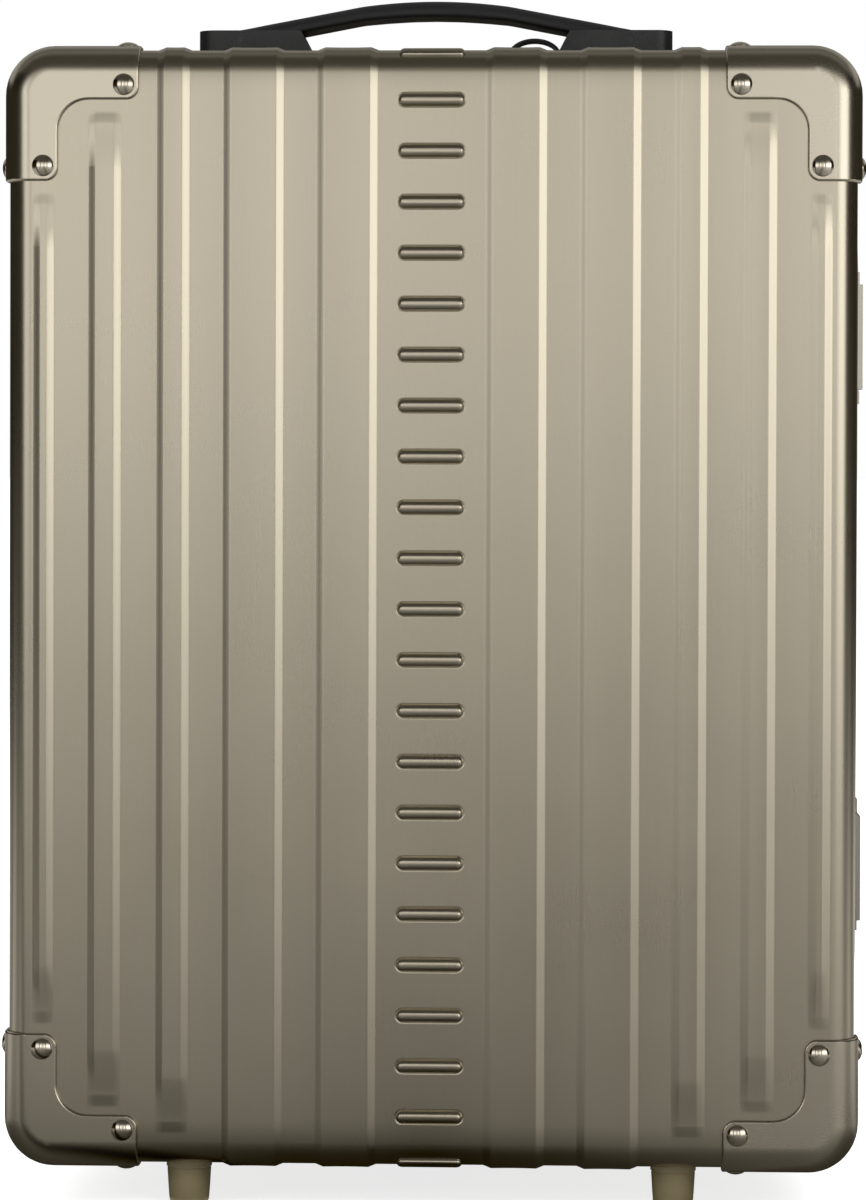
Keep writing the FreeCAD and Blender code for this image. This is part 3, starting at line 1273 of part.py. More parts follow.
# ---------------------------------------------------------------------------------------------
# Pull handle
# ---------------------------------------------------------------------------------------------
middle_tube_width = outer_tube_width - (tube_wall + tube_play) * 2
middle_tube_depth = outer_tube_depth - (tube_wall + tube_play) * 2
inner_tube_width = middle_tube_width - (tube_wall + tube_play) * 2
inner_tube_depth = middle_tube_depth - (tube_wall + tube_play) * 2
grip_top = shell_top + grip_above
grip_underside = grip_top - grip_bar
tray_floor_top = tray_bottom + tray_floor
collar_level = tray_floor_top + tube_play
grip_front = tube_line - grip_depth / 2
grip_back = tube_line + grip_depth / 2
leg_bottom = collar_level + collar_height + tube_play
inner_tube_top = grip_underside - tube_end_gap
channel_top = grip_top - grip_cover
link_top = channel_top - link_gap
link_bottom = link_top - link_height
channel_floor = link_bottom - button_travel - channel_spare
inner_tube_foot = tube_foot_level + tube_stage_step * 2


def make_tubes(label, width, depth, low, high):
    """A pair of rectangular tubes with rounded corners."""
    bodies = []
    for side in (LEFT, RIGHT):
        body = new_body(f"{label}_{'right' if side == RIGHT else 'left'}")
        sketch = new_sketch(body, "section", "XY_Plane", across=tube_out * side, up=tube_line, away=low)
        draw_rounded_rectangle(sketch, width / 2, depth / 2, tube_corner)
        draw_rounded_rectangle(sketch, width / 2 - tube_wall, depth / 2 - tube_wall, tube_corner - tube_wall)
        extrude(body, "Pad", "tube", sketch, high - low)
        bodies.append(body)
    return group(label, *bodies)


def make_tray():
    """The moulded tray in the top: rim on the shell, walls, floor with a hole for each tube."""
    half_length = tray_length / 2
    outer = box("tray_outer", -half_length - tray_wall, half_length + tray_wall, tray_front - tray_wall,
                tray_back + tray_wall, tray_bottom, shell_top + tray_rim_height)
    rim = box("tray_rim_plate", -half_length - tray_wall - tray_rim, half_length + tray_wall + tray_rim,
              tray_front - tray_wall - tray_rim, tray_back + tray_wall + tray_rim_back,
              shell_top + press_gap, shell_top + tray_rim_height)
    solid = fuse("tray_solid", outer, rim)
    hollow = box("tray_hollow", -half_length, half_length, tray_front, tray_back, tray_floor_top,
                 shell_top + tray_rim_height + past)
    holes = []
    for side in (LEFT, RIGHT):
        reach_x, reach_y = middle_tube_width / 2 + tube_play, middle_tube_depth / 2 + tube_play
        holes.append(box(f"tray_hole_{side + 1}", tube_out * side - reach_x, tube_out * side + reach_x,
                         tube_line - reach_y, tube_line + reach_y, tray_bottom - past, tray_floor_top + past))
    return cut("trolley_bezel", solid, hollow, *holes)


def make_collars():
    """A collar on top of each middle tube, open for the inner tube."""
    collars = []
    for side in (LEFT, RIGHT):
        middle = tube_out * side
        reach_x, reach_y = middle_tube_width / 2 + collar_grip, middle_tube_depth / 2 + collar_grip
        outer = box(f"collar_outer_{side + 1}", middle - reach_x, middle + reach_x,
                    tube_line - reach_y, tube_line + reach_y, collar_level, collar_level + collar_height)
        inner_x, inner_y = inner_tube_width / 2 + tube_play, inner_tube_depth / 2 + tube_play
        hole = box(f"collar_hole_{side + 1}", middle - inner_x, middle + inner_x,
                   tube_line - inner_y, tube_line + inner_y, collar_level - past,
                   collar_level + collar_height + past)
        collars.append(cut(f"collar_{side + 1}", outer, hole))
    return group("trolley_middle_collars", *collars)


def make_grip():
    """The grip: bar with two legs on the inner tubes, and the channel of the release inside."""
    bar = box("grip_bar_block", -grip_half_length, grip_half_length, grip_front, grip_back,
              grip_underside, grip_top)
    pieces = [bar]
    for side in (LEFT, RIGHT):
        middle = tube_out * side
        pieces.append(box(f"grip_leg_{side + 1}", middle - grip_leg / 2, middle + grip_leg / 2,
                          grip_front, grip_back, leg_bottom, grip_underside + past))
    solid = fuse("grip_solid", *pieces)
    rounded = round_long_edges("grip_rounded", solid, grip_rounding.number, grip_top.number)
    half_channel = grip_channel_width / 2
    reach = tube_out + grip_channel_width / 2
    tools = [box("grip_channel", -reach, reach, tube_line - half_channel, tube_line + half_channel,
                 channel_floor, channel_top)]
    tools.append(box("grip_button_hole", -button_length / 2 - button_play, button_length / 2 + button_play,
                     tube_line - button_width / 2 - button_play, tube_line + button_width / 2 + button_play,
                     channel_floor, grip_top + past))
    for side in (LEFT, RIGHT):
        middle = tube_out * side
        half_x, half_y = inner_tube_width / 2 + press_gap, inner_tube_depth / 2 + press_gap
        tools.append(box(f"grip_socket_{side + 1}", middle - half_x, middle + half_x,
                         tube_line - half_y, tube_line + half_y, leg_bottom - past, inner_tube_top))
        tools.append(rod(f"grip_rod_hole_{side + 1}", rod_radius + rod_play,
                         channel_floor - inner_tube_top + past * 2, "+Z",
                         middle, tube_line, inner_tube_top - past))
    return cut("trolley_grip", rounded, *tools)


def round_long_edges(name, source, radius, level):
    """Round the edges of a solid's upper face and of its four outer corners."""
    document.recompute()
    shape = source.Shape
    chosen = []
    bounds = shape.BoundBox
    for edge in shape.Edges:
        limits = edge.BoundBox
        on_top = limits.ZMin > level - 0.01
        corner = limits.XLength < 0.01 and limits.YLength < 0.01
        outermost = abs(abs(limits.XMin) - bounds.XMax) < 0.01
        if on_top or (corner and outermost):
            chosen.append(edge)
    return coded(name, shape.makeFillet(radius, chosen))


def make_button():
    """The release button in the middle of the grip."""
    top = grip_top + button_above
    block = box("button_block", -button_length / 2, button_length / 2,
                tube_line - button_width / 2, tube_line + button_width / 2, link_top, top)
    return round_long_edges("trolley_button", block, button_rounding.number, top.number)


def make_push_rods():
    """The link bar under the button with a rod down each inner tube."""
    half = link_width / 2
    link = box("link_bar", -tube_out - half, tube_out + half, tube_line - half, tube_line + half,
               link_bottom, link_top)
    top = link_top - link_height / 2
    rods = [rod(f"push_rod_{side + 1}", rod_radius, top - inner_tube_foot - rod_foot, "-Z",
                tube_out * side, tube_line, top) for side in (LEFT, RIGHT)]
    return fuse("trolley_push_rods", link, *rods)


def make_springs():
    """Two coil springs between the channel's floor and the link bar."""
    wire = spring_wire.number
    end_gap = press_gap.number * 2
    height = (link_bottom - channel_floor).number - 2 * (wire + end_gap)
    coils = []
    for side in (LEFT, RIGHT):
        helix = Part.makeHelix(height / spring_turns.number, height, spring_radius.number)
        ring = Part.Wire(Part.makeCircle(wire, Vector(spring_radius.number, 0, 0), Vector(0, 1, 0)))
        coil = Part.Wire(helix).makePipeShell([ring], True, True)
        level = channel_floor.number + wire + end_gap
        coil.translate(Vector(spring_out.number * side, tube_line.number, level))
        coils.append(coil)
    return coded("trolley_button_springs", Part.makeCompound(coils))


def bracket_screw_places():
    """Two screws from behind, between two ribs, through the rear shell into the lower bracket."""
    between_ribs = (rib_spacing_d + rib_spacing_e) / 2
    return [(between_ribs * side, shell_depth, tube_foot_level + socket_depth / 2, "+Y")
            for side in (LEFT, RIGHT)]


def make_bracket():
    """The block that carries the lower ends of the outer tubes on the rear shell."""
    low = tube_foot_level - bracket_height + socket_depth
    block = box("bracket_block", -bracket_half_length, bracket_half_length, bracket_front,
                shell_depth - shell_wall - press_gap, low, low + bracket_height)
    tools = []
    for side in (LEFT, RIGHT):
        half_x, half_y = outer_tube_width / 2 + press_gap, outer_tube_depth / 2 + press_gap
        tools.append(box(f"bracket_socket_{side + 1}", tube_out * side - half_x, tube_out * side + half_x,
                         tube_line - half_y, tube_line + half_y, tube_foot_level,
                         tube_foot_level + bracket_height))
    tools.append(copies("bracket_drills", screw_drill, bracket_screw_places()))
    return cut("trolley_foot_bracket", block, *tools)


trolley_outer_tubes = make_tubes("trolley_outer_tubes", outer_tube_width, outer_tube_depth,
                                 tube_foot_level, tray_bottom)
trolley_middle_tubes = make_tubes("trolley_middle_tubes", middle_tube_width, middle_tube_depth,
                                  tube_foot_level + tube_stage_step, collar_level)
trolley_inner_tubes = make_tubes("trolley_inner_tubes", inner_tube_width, inner_tube_depth,
                                 inner_tube_foot, inner_tube_top)
trolley_middle_collars = make_collars()
trolley_bezel = make_tray()
trolley_grip = make_grip()
trolley_button = make_button()
trolley_push_rods = make_push_rods()
trolley_button_springs = make_springs()
trolley_foot_bracket = make_bracket()
trolley_cover = box("trolley_cover", -cover_half_width, cover_half_width,
                    bracket_front - cover_gap - cover_thickness, bracket_front - cover_gap,
                    tube_foot_level - bracket_height + socket_depth, tray_bottom - cover_gap)


# ---------------------------------------------------------------------------------------------
# Carry handle, tag webbing and feet
# ---------------------------------------------------------------------------------------------
def block_screw_places():
    """Two screws from inside the front shell into each handle block."""
    places = []
    for side in (LEFT, RIGHT):
        for reach in (block_screw_outer, block_screw_inner):
            places.append((reach * side, -handle_line, shell_top - shell_wall, "-Z"))
    return places


def make_handle_block():
    """The right block: sloped inner end, slot for the strap, hole for the pin."""
    body = new_body("handle_block_blank")
    outline = new_sketch(body, "outline", "XZ_Plane", up=shell_top, away=handle_line)
    draw_polygon(outline, [
        (block_inner_end, press_gap),
        (handle_half_length, press_gap),
        (handle_half_length, block_height),
        (block_inner_end + block_chamfer, block_height),
    ])
    pad = extrude(body, "Pad", "block", outline, block_width, middle=True)
    outer_corners = edges_in(pad.Shape, "X", handle_half_length.number)
    upright = [name for name in outer_corners if pad.Shape.getElement(name).BoundBox.YLength < 0.01]
    round_edges(body, pad, upright, block_round)
    slot = new_sketch(body, "slot", "XZ_Plane", up=shell_top, away=handle_line)
    draw_polygon(slot, [
        (block_inner_end - past, block_floor + block_floor_rise),
        (strap_heel - past, block_floor),
        (handle_half_length - block_end_wall, block_floor),
        (handle_half_length - block_end_wall, block_height + past),
        (block_inner_end - past, block_height + past),
    ])
    extrude(body, "Pocket", "slot_cut", slot, strap_width + strap_side_gap * 2, middle=True)
    hole = new_sketch(body, "pin_hole", "XZ_Plane", up=shell_top, away=handle_line)
    draw_circle(hole, handle_pin_out, handle_pin_height, handle_pin_radius + press_gap)
    extrude(body, "Pocket", "pin_bore", hole, block_width + past * 2, middle=True)
    return body


def make_handle_pins():
    """A cross pin in each block."""
    pins = [rod(f"handle_pin_{side + 1}", handle_pin_radius, block_width - press_gap * 2, "+Y",
                handle_pin_out * side, press_gap - handle_line - block_width / 2,
                shell_top + handle_pin_height)
            for side in (LEFT, RIGHT)]
    return group("handle_pins", *pins)


def draw_arch(sketch, first_line, last_line, half_chord, rise, below):
    """Close an outline with an arc of a given rise between two lines' free ends."""
    radius = (half_chord * half_chord + rise * rise) / (rise * 2)
    centre = Vector(0, below.number - radius.number, 0)
    spread = math.asin(half_chord.number / radius.number)
    circle = Part.Circle(centre, Vector(0, 0, 1), radius.number)
    arc = sketch.addGeometry(Part.ArcOfCircle(circle, math.pi / 2 - spread, math.pi / 2 + spread))
    sketch.addConstraint(Sketcher.Constraint("Coincident", arc, 1, first_line[0], first_line[1]))
    sketch.addConstraint(Sketcher.Constraint("Coincident", arc, 2, last_line[0], last_line[1]))
    constraint = sketch.addConstraint(Sketcher.Constraint("Radius", arc, radius.number))
    sketch.renameConstraint(constraint, f"arch{arc}")
    bind(sketch, f"Constraints.arch{arc}", radius)


def draw_chain(sketch, corners):
    """Draw an open chain of lines through corners that are pairs of sizes."""
    first = sketch.GeometryCount
    points = [Vector(as_size(x).number, as_size(y).number, 0) for x, y in corners]
    for start, end in zip(points[:-1], points[1:]):
        sketch.addGeometry(Part.LineSegment(start, end))
    last = sketch.GeometryCount - 1
    for number in range(first, last):
        sketch.addConstraint(Sketcher.Constraint("Coincident", number, 2, number + 1, 1))
    for number, (x, y) in enumerate(corners[:-1]):
        hold(sketch, "DistanceX", first + number, 1, x, f"x{first + number}")
        hold(sketch, "DistanceY", first + number, 1, y, f"y{first + number}")
    hold(sketch, "DistanceX", last, 2, corners[-1][0], f"end_x{last}")
    hold(sketch, "DistanceY", last, 2, corners[-1][1], f"end_y{last}")
    return first, last


def make_strap():
    """The arched carry strap, with a slotted end in each block."""
    body = new_body("carry_handle")
    outline = new_sketch(body, "outline", "XZ_Plane", up=shell_top, away=handle_line)
    upper_bend = strap_crown - strap_drop
    lower_crown = strap_crown - strap_thickness
    lower_bend = lower_crown - strap_lower_drop
    right_first, right_last = draw_chain(outline, [
        (strap_bend, lower_bend),
        (strap_neck, strap_neck_bottom),
        (strap_heel, strap_end_bottom),
        (strap_end, strap_end_bottom),
        (strap_end, strap_end_top),
        (strap_bend, upper_bend),
    ])
    left_first, left_last = draw_chain(outline, [
        (-strap_bend, upper_bend),
        (-strap_end, strap_end_top),
        (-strap_end, strap_end_bottom),
        (-strap_heel, strap_end_bottom),
        (-strap_neck, strap_neck_bottom),
        (-strap_bend, lower_bend),
    ])
    draw_arch(outline, (right_last, 2), (left_first, 1), strap_bend, strap_drop, strap_crown)
    draw_arch(outline, (right_first, 1), (left_last, 2), strap_bend, strap_lower_drop, lower_crown)
    extrude(body, "Pad", "strap", outline, strap_width, middle=True)
    slot = new_sketch(body, "slot", "XZ_Plane", up=shell_top, away=handle_line)
    room = handle_pin_radius + handle_pin_play
    for side in (LEFT, RIGHT):
        draw_rectangle(slot, handle_pin_out * side - room, handle_pin_out * side + room,
                       handle_pin_height - strap_lift - room, handle_pin_height + room)
    extrude(body, "Pocket", "slot_cut", slot, strap_width + past * 2, middle=True)
    return body


def make_tag_loop():
    """A strip of webbing: flat under its rivet, then one raised loop down to the right block."""
    start, rise_start = loop_start.number, loop_rise_start.number
    end = (block_inner_end - loop_end_gap).number
    seat = shell_top.number + press_gap.number
    thickness = loop_thickness.number
    rise = loop_height.number - thickness

    def level(x):
        """Height of the webbing's underside: a raised cosine over the loop."""
        turn = (x - rise_start) / (end - rise_start)
        return seat + rise * 0.5 * (1 - math.cos(2 * math.pi * turn))

    steps = 12
    xs = [rise_start + (end - rise_start) * step / steps for step in range(steps + 1)]
    under = [Vector(x, 0, level(x)) for x in xs]
    over = []
    for x in xs:
        slope = (level(x + 0.01) - level(x - 0.01)) / 0.02
        stretch = math.sqrt(1 + slope * slope)
        over.append(Vector(x - thickness * slope / stretch, 0, level(x) + thickness / stretch))
    over[0] = Vector(rise_start, 0, seat + thickness)
    over[-1] = Vector(end, 0, seat + thickness)
    lower_curve = Part.BSplineCurve()
    lower_curve.interpolate(under, InitialTangent=Vector(1, 0, 0), FinalTangent=Vector(1, 0, 0))
    upper_curve = Part.BSplineCurve()
    upper_curve.interpolate(over, InitialTangent=Vector(1, 0, 0), FinalTangent=Vector(1, 0, 0))
    flat_end_low, flat_end_high = Vector(start, 0, seat), Vector(start, 0, seat + thickness)
    outline = Part.Wire([
        Part.makeLine(flat_end_low, under[0]),
        lower_curve.toShape(),
        Part.makeLine(under[-1], over[-1]),
        upper_curve.toShape().reversed(),
        Part.makeLine(over[0], flat_end_high),
        Part.makeLine(flat_end_high, flat_end_low),
    ])
    strip = Part.Face(outline).extrude(Vector(0, loop_width.number, 0))
    strip.translate(Vector(0, -handle_line.number - loop_width.number / 2, 0))
    drills = copies("tag_loop_drills", rivet_drill, tag_rivet_place())
    return cut("tag_loop", coded("tag_loop_blank", strip), drills)


def tag_rivet_place():
    """The rivet through the webbing."""
    return [(loop_rivet_out, -handle_line, shell_top + press_gap * 2 + loop_thickness, "+Z")]


def make_tag_rivet():
    """A rivet with a broad low dome on the webbing."""
    return make_fastener("tag_rivet_pattern", rivet_shank_radius, rivet_grip, loop_rivet_radius,
                         dome(loop_rivet_radius, loop_rivet_height))


def foot_screw_places():
    """A screw from inside the front shell into each foot."""
    return [(foot_out * side, -foot_line, shell_bottom + shell_wall, "+Z") for side in (LEFT, RIGHT)]


def make_foot():
    """The right foot, a tapered round stud."""
    return turn_profile("foot_blank", [
        (0, 0),
        (foot_bottom_radius - foot_edge_radius, 0),
        (foot_bottom_radius - foot_edge_radius * CORNER_SHARE, foot_edge_radius * CORNER_SHARE),
        (foot_bottom_radius, foot_edge_radius),
        (foot_top_radius, shell_bottom - press_gap),
        (0, shell_bottom - press_gap),
    ], across=foot_out, away=foot_line)


block_blank = make_handle_block()
block_pair = group("block_pair", mirror("left_block_blank", block_blank, "X"), block_blank)
handle_blocks = cut("handle_blocks", block_pair, copies("block_drills", screw_drill, block_screw_places()))
handle_pins = make_handle_pins()
carry_handle = make_strap()
tag_loop = make_tag_loop()
tag_loop_rivet = copies("tag_loop_rivet", make_tag_rivet(), tag_rivet_place())
foot_blank = make_foot()
foot_pair = group("foot_pair", mirror("left_foot_blank", foot_blank, "X"), foot_blank)
front_feet = cut("front_feet", foot_pair, copies("foot_drills", screw_drill, foot_screw_places()))


# ---------------------------------------------------------------------------------------------
# Linings, pocket, packing straps
# ---------------------------------------------------------------------------------------------
rear_lining_face = bracket_front - cover_gap - cover_thickness - cover_gap


def make_open_lining(half, face, obstacles):
    """A thin tray inside a shell, led round the obstacles, each a block grown by a given gap."""
    inset, thickness = lining_inset.number, lining_thickness.number
    outer = make_case_solid(half, -inset, lining_start.number, face)
    inner = make_case_solid(half, -inset - thickness, (lining_start - past).number, face - thickness)
    for obstacle in obstacles:
        outer = outer.cut(obstacle(lining_gap.number))
        inner = inner.cut(obstacle(lining_gap.number + thickness))
    return outer.cut(inner)


def well_obstacle(side):
    """The block round a wheel well, out to the shell's side."""
    def grown(gap):
        """The block with a gap all round."""
        near = wheel_out.number - well_box_half.number - gap
        front = (wheel_line - well_reach - well_wall).number - gap
        high = (wheel_radius + well_reach + well_wall).number + gap
        width = (half_width + past).number - near
        left = near if side == RIGHT else -near - width
        return Part.makeBox(width, guard_face.number - front, high, Vector(left, front, 0))
    return grown


def tray_obstacle(gap):
    """The block round the pull handle's tray, out to the top of the case."""
    reach = (tray_length / 2 + tray_wall).number + gap
    front = (tray_front - tray_wall).number - gap
    low = tray_bottom.number - gap
    return Part.makeBox(2 * reach, guard_face.number - front, (guard_top + past).number - low,
                        Vector(-reach, front, low))


def make_pocket():
    """A flat mesh pocket on the front lining."""
    back = shell_depth - lining_inset - lining_thickness - soft_gap
    reach = half_width - lining_inset - lining_thickness - pocket_inset
    low = shell_bottom + lining_inset + lining_thickness + pocket_inset
    return box("mesh_pocket", -reach, reach, -back, -back + pocket_thickness, low, low + pocket_height)


def make_belts():
    """Two packing straps, each with two arms that meet at the buckle."""
    back = rear_lining_face.number - lining_thickness.number - soft_gap.number
    thickness, width = belt_thickness.number, belt_width.number
    meet = buckle_length.number / 2 + soft_gap.number
    middle = middle_level.number
    belts = []
    for side in (LEFT, RIGHT):
        arms = []
        for level in (UPPER, LOWER):
            reach, rise = belt_anchor.number - meet, belt_spread.number * level
            length = math.hypot(reach, rise) + width
            arm = Part.makeBox(length, thickness, width, Vector(-width / 2, back - thickness, -width / 2))
            arm.rotate(Vector(), Vector(0, 1, 0), -math.degrees(math.atan2(rise, reach)))
            arms.append(arm)
        belt = arms[0].fuse(arms[1])
        limit = Part.makeBox(belt_anchor.number - meet, back * 2, belt_spread.number * 3,
                             Vector(0, -back, -belt_spread.number * 1.5))
        belt = belt.common(limit)
        belt.translate(Vector(meet, 0, middle))
        if side == LEFT:
            belt = belt.mirror(Vector(), Vector(1, 0, 0))
        belts.append(belt)
    return coded("packing_straps", Part.makeCompound(belts))


def make_buckle():
    """A side release buckle: a hollow socket and a plug with two prongs in it."""
    back = rear_lining_face - lining_thickness - soft_gap
    front = back - buckle_height
    low, high = middle_level - buckle_width / 2, middle_level + buckle_width / 2
    socket_block = box("buckle_socket_block", -buckle_length / 2, buckle_mouth, front, back, low, high)
    hollow = box("buckle_socket_hollow", -buckle_hollow, buckle_mouth + past, front + buckle_wall,
                 back - buckle_wall, low + buckle_side_wall, high - buckle_side_wall)
    socket = cut("buckle_socket", socket_block, hollow)
    plug_start = buckle_mouth + soft_gap
    pieces = [box("buckle_plug_block", plug_start, buckle_length / 2, front, back, low, high)]
    for end in (-1, 1):
        centre = middle_level + prong_spread * end
        pieces.append(box(f"buckle_prong_{end + 1}", -prong_reach, plug_start,
                          front + buckle_wall + soft_gap, back - buckle_wall - soft_gap,
                          centre - prong_width / 2, centre + prong_width / 2))
    return socket, fuse("buckle_plug", *pieces)


front_lining = coded("front_lining", make_open_lining(FRONT, (shell_depth - lining_inset).number, []))
rear_obstacles = [well_obstacle(LEFT), well_obstacle(RIGHT), tray_obstacle]
rear_lining = coded("rear_lining", make_open_lining(REAR, rear_lining_face.number, rear_obstacles))
mesh_pocket = make_pocket()
packing_straps = make_belts()
buckle_socket, buckle_plug = make_buckle()


# ---------------------------------------------------------------------------------------------
# Screws, and the holes and openings of shells and frames
# ---------------------------------------------------------------------------------------------
front_screw_places = foot_screw_places() + block_screw_places() + strike_screw_places()
rear_screw_places = (latch_screw_places(UPPER) + latch_screw_places(LOWER)
                     + housing_screw_places() + bracket_screw_places())
front_screws = copies("front_screws", screw, front_screw_places)
rear_screws = copies("rear_screws", screw, rear_screw_places)


def make_tray_opening():
    """The opening in the rear shell's top for the tray."""
    half_length = tray_length / 2 + tray_wall + tray_fit
    return box("tray_opening", -half_length, half_length, tray_front - tray_wall - tray_fit,
               tray_back + tray_wall + tray_fit, tray_bottom, guard_top)


front_shell = cut(
    "front_shell", front_sheet,
    copies("front_shell_guard_drills", rivet_drill, guard_rivet_places(FRONT, (UPPER, LOWER))),
    copies("front_shell_frame_drills", rivet_drill, frame_rivets(FRONT) + tag_rivet_place()),
    copies("front_shell_screw_drills", screw_drill, front_screw_places),
)
rear_shell = cut(
    "rear_shell", rear_sheet,
    copies("rear_shell_guard_drills", rivet_drill, guard_rivet_places(REAR, (UPPER,))),
    copies("rear_shell_frame_drills", rivet_drill, frame_rivets(REAR)),
    copies("rear_shell_screw_drills", screw_drill, rear_screw_places),
    make_tray_opening(),
    make_well_box("left_well_opening", LEFT, well_box_half + tray_fit, well_wall + tray_fit),
    make_well_box("right_well_opening", RIGHT, well_box_half + tray_fit, well_wall + tray_fit),
)
front_frame = cut(
    "front_frame", front_frame_ring,
    copies("front_frame_drills", rivet_drill, frame_rivets(FRONT)),
    copies("front_frame_screw_drills", screw_drill, strike_screw_places()),
)
rear_frame = cut(
    "rear_frame", rear_frame_ring,
    copies("rear_frame_drills", rivet_drill, frame_rivets(REAR)),
)


# ---------------------------------------------------------------------------------------------
# Check and write
# ---------------------------------------------------------------------------------------------
SUBPARTS = [
    front_shell, front_frame, frame_seal, front_corner_guards, front_guard_rivets, front_frame_rivets,
    hinge_front_leaves, latch_strikes, handle_blocks, handle_pins, front_screws, front_feet, tag_loop,
    tag_loop_rivet, front_lining, mesh_pocket, carry_handle,
    rear_shell, rear_frame, rear_corner_guards, rear_guard_rivets, rear_frame_rivets,
    hinge_rear_leaves, hinge_pins, latch_bodies, dial_axles, wheel_housings, wheel_axles, rear_screws,
    trolley_bezel, trolley_outer_tubes, trolley_foot_bracket, trolley_cover, rear_lining,
    packing_straps, buckle_socket, buckle_plug,
    hub_left, tyre_left, bearings_left, hub_right, tyre_right, bearings_right,
    trolley_middle_tubes, trolley_middle_collars, trolley_inner_tubes, trolley_grip,
    trolley_button_springs, trolley_button, trolley_push_rods,
    latch_lever_upper, latch_lever_lower, *dials,
]


def check_document():
    """Stop if any object failed or any sub-part has no valid shape."""
    document.recompute()
    for item in document.Objects:
        if "Invalid" in item.State or "Error" in item.State:
            raise RuntimeError(f"{item.Name} failed: {item.State}")
    for part in SUBPARTS:
        if part.Shape.isNull() or not part.Shape.isValid():
            raise RuntimeError(f"{part.Label} has no valid shape")


def write_parts():
    """Write each sub-part to its own file."""
    os.makedirs("parts", exist_ok=True)
    for part in SUBPARTS:
        part.Shape.exportStep(f"parts/{part.Label}.step")
        print(f"{part.Label}: {len(part.Shape.Solids)} solids, {part.Shape.Volume:.0f} mm3")


check_document()
write_parts()
print(f"ok, {len(SUBPARTS)} nodes")
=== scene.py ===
"""Hard-shell cabin suitcase on two wheels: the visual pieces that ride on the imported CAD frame.

Every length in the dataclasses is in millimetres; meshes are written in metres. The case stands on
its feet and wheels at z = 0, its front face looks along -Y and its rear face along +Y.
"""
from __future__ import annotations

import json
import logging
import math
from dataclasses import dataclass
from enum import Enum
from typing import Callable, Iterable, Optional, Sequence

import bmesh
import bpy
import numpy as np
from mathutils import Matrix, Vector

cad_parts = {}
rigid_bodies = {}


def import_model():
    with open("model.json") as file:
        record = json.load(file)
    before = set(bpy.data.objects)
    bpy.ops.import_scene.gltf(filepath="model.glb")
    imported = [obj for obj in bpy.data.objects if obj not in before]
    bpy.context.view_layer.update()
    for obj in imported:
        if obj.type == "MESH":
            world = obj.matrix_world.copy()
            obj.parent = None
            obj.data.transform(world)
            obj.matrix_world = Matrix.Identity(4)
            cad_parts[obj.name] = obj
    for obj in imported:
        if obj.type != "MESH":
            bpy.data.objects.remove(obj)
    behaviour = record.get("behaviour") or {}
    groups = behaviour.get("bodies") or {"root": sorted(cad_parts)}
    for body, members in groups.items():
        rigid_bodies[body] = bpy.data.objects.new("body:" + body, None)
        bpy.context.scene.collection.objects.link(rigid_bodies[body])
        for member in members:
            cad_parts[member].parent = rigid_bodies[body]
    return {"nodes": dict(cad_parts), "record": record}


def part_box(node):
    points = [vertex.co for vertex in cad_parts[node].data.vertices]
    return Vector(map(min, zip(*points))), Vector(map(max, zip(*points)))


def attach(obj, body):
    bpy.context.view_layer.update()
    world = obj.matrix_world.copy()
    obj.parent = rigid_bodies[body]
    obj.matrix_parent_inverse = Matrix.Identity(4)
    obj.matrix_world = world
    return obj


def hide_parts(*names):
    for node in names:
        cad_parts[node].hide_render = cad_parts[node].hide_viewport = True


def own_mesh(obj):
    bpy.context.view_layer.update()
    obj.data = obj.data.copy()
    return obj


LOG = logging.getLogger("suitcase")
MM = 0.001
FAR = 1e6

Array = np.ndarray
Object = bpy.types.Object
Material = bpy.types.Material
Socket = bpy.types.NodeSocket
Outward = Callable[[Array], Array]


class Half(Enum):
    """The two halves of the case; the value is the sign of y on that side of the parting plane."""

    FRONT = -1
    REAR = 1


class Grain(Enum):
    """Direction in which a brushed or rolled metal is drawn."""

    UPRIGHT = (1, 1, 0.02)
    LEVEL = (0.02, 1, 1)


# ---- mesh tools
def step(t: Array) -> Array:
    """Return the smooth step of t: 3t² - 2t³ between 0 and 1, and flat outside."""
    t = np.clip(t, 0, 1)
    return t * t * (3.0 - 2.0 * t)


def ramp(t: Array, ease: float = 0.12) -> Array:
    """Return a straight ramp from 0 to 1 whose two ends are eased by parabolas.

    Args:
        t: Places; the ramp runs from 0 to 1.
        ease: Share of the ramp that each parabola takes.

    Returns:
        The heights.
    """
    t = np.clip(t, 0, 1)
    steep = 1.0 - ease
    middle = (t - ease / 2) / steep
    return np.where(t < ease, t * t / (2 * ease * steep),
                    np.where(t > steep, 1 - (1 - t) ** 2 / (2 * ease * steep), middle))


def bump(t: Array) -> Array:
    """Return a bump of height 1: (1 - t²)² where |t| < 1, else 0."""
    return np.clip(1.0 - t * t, 0, None) ** 2


def closed(outline: Array) -> Array:
    """Return an outline with its first point repeated at the end."""
    return np.concatenate([outline, outline[:1]])


def reach_along(line: Array) -> Array:
    """Return the length run at each point (n, k) of a broken line."""
    return np.append(0, np.cumsum(np.linalg.norm(np.diff(line, axis=0), axis=1)))


def cloth_uv(along: Array, across: Array) -> Array:
    """Return a grid's UV places in metres from lengths along (n) and across (m or n, m)."""
    return np.stack(np.broadcast_arrays(along[:, None], across), -1) * MM


def facing(*way: float) -> Outward:
    """Return a function that gives all face centres the same outward direction."""
    return lambda centres: np.tile(way, (len(centres), 1))


def spread(*groups: Iterable[float], gap: float = 0.12) -> Array:
    """Merge grid lines into one rising array.

    Args:
        groups: Places of grid lines.
        gap: Lines nearer to the last kept line than this are dropped.

    Returns:
        The kept places.
    """
    lines = np.unique(np.round(np.concatenate([np.asarray(list(g), float) for g in groups]), 4))
    kept = [lines[0]]
    for line in lines[1:-1]:
        if line - kept[-1] >= gap and lines[-1] - line >= gap:
            kept.append(line)
    return np.array(kept + [lines[-1]])


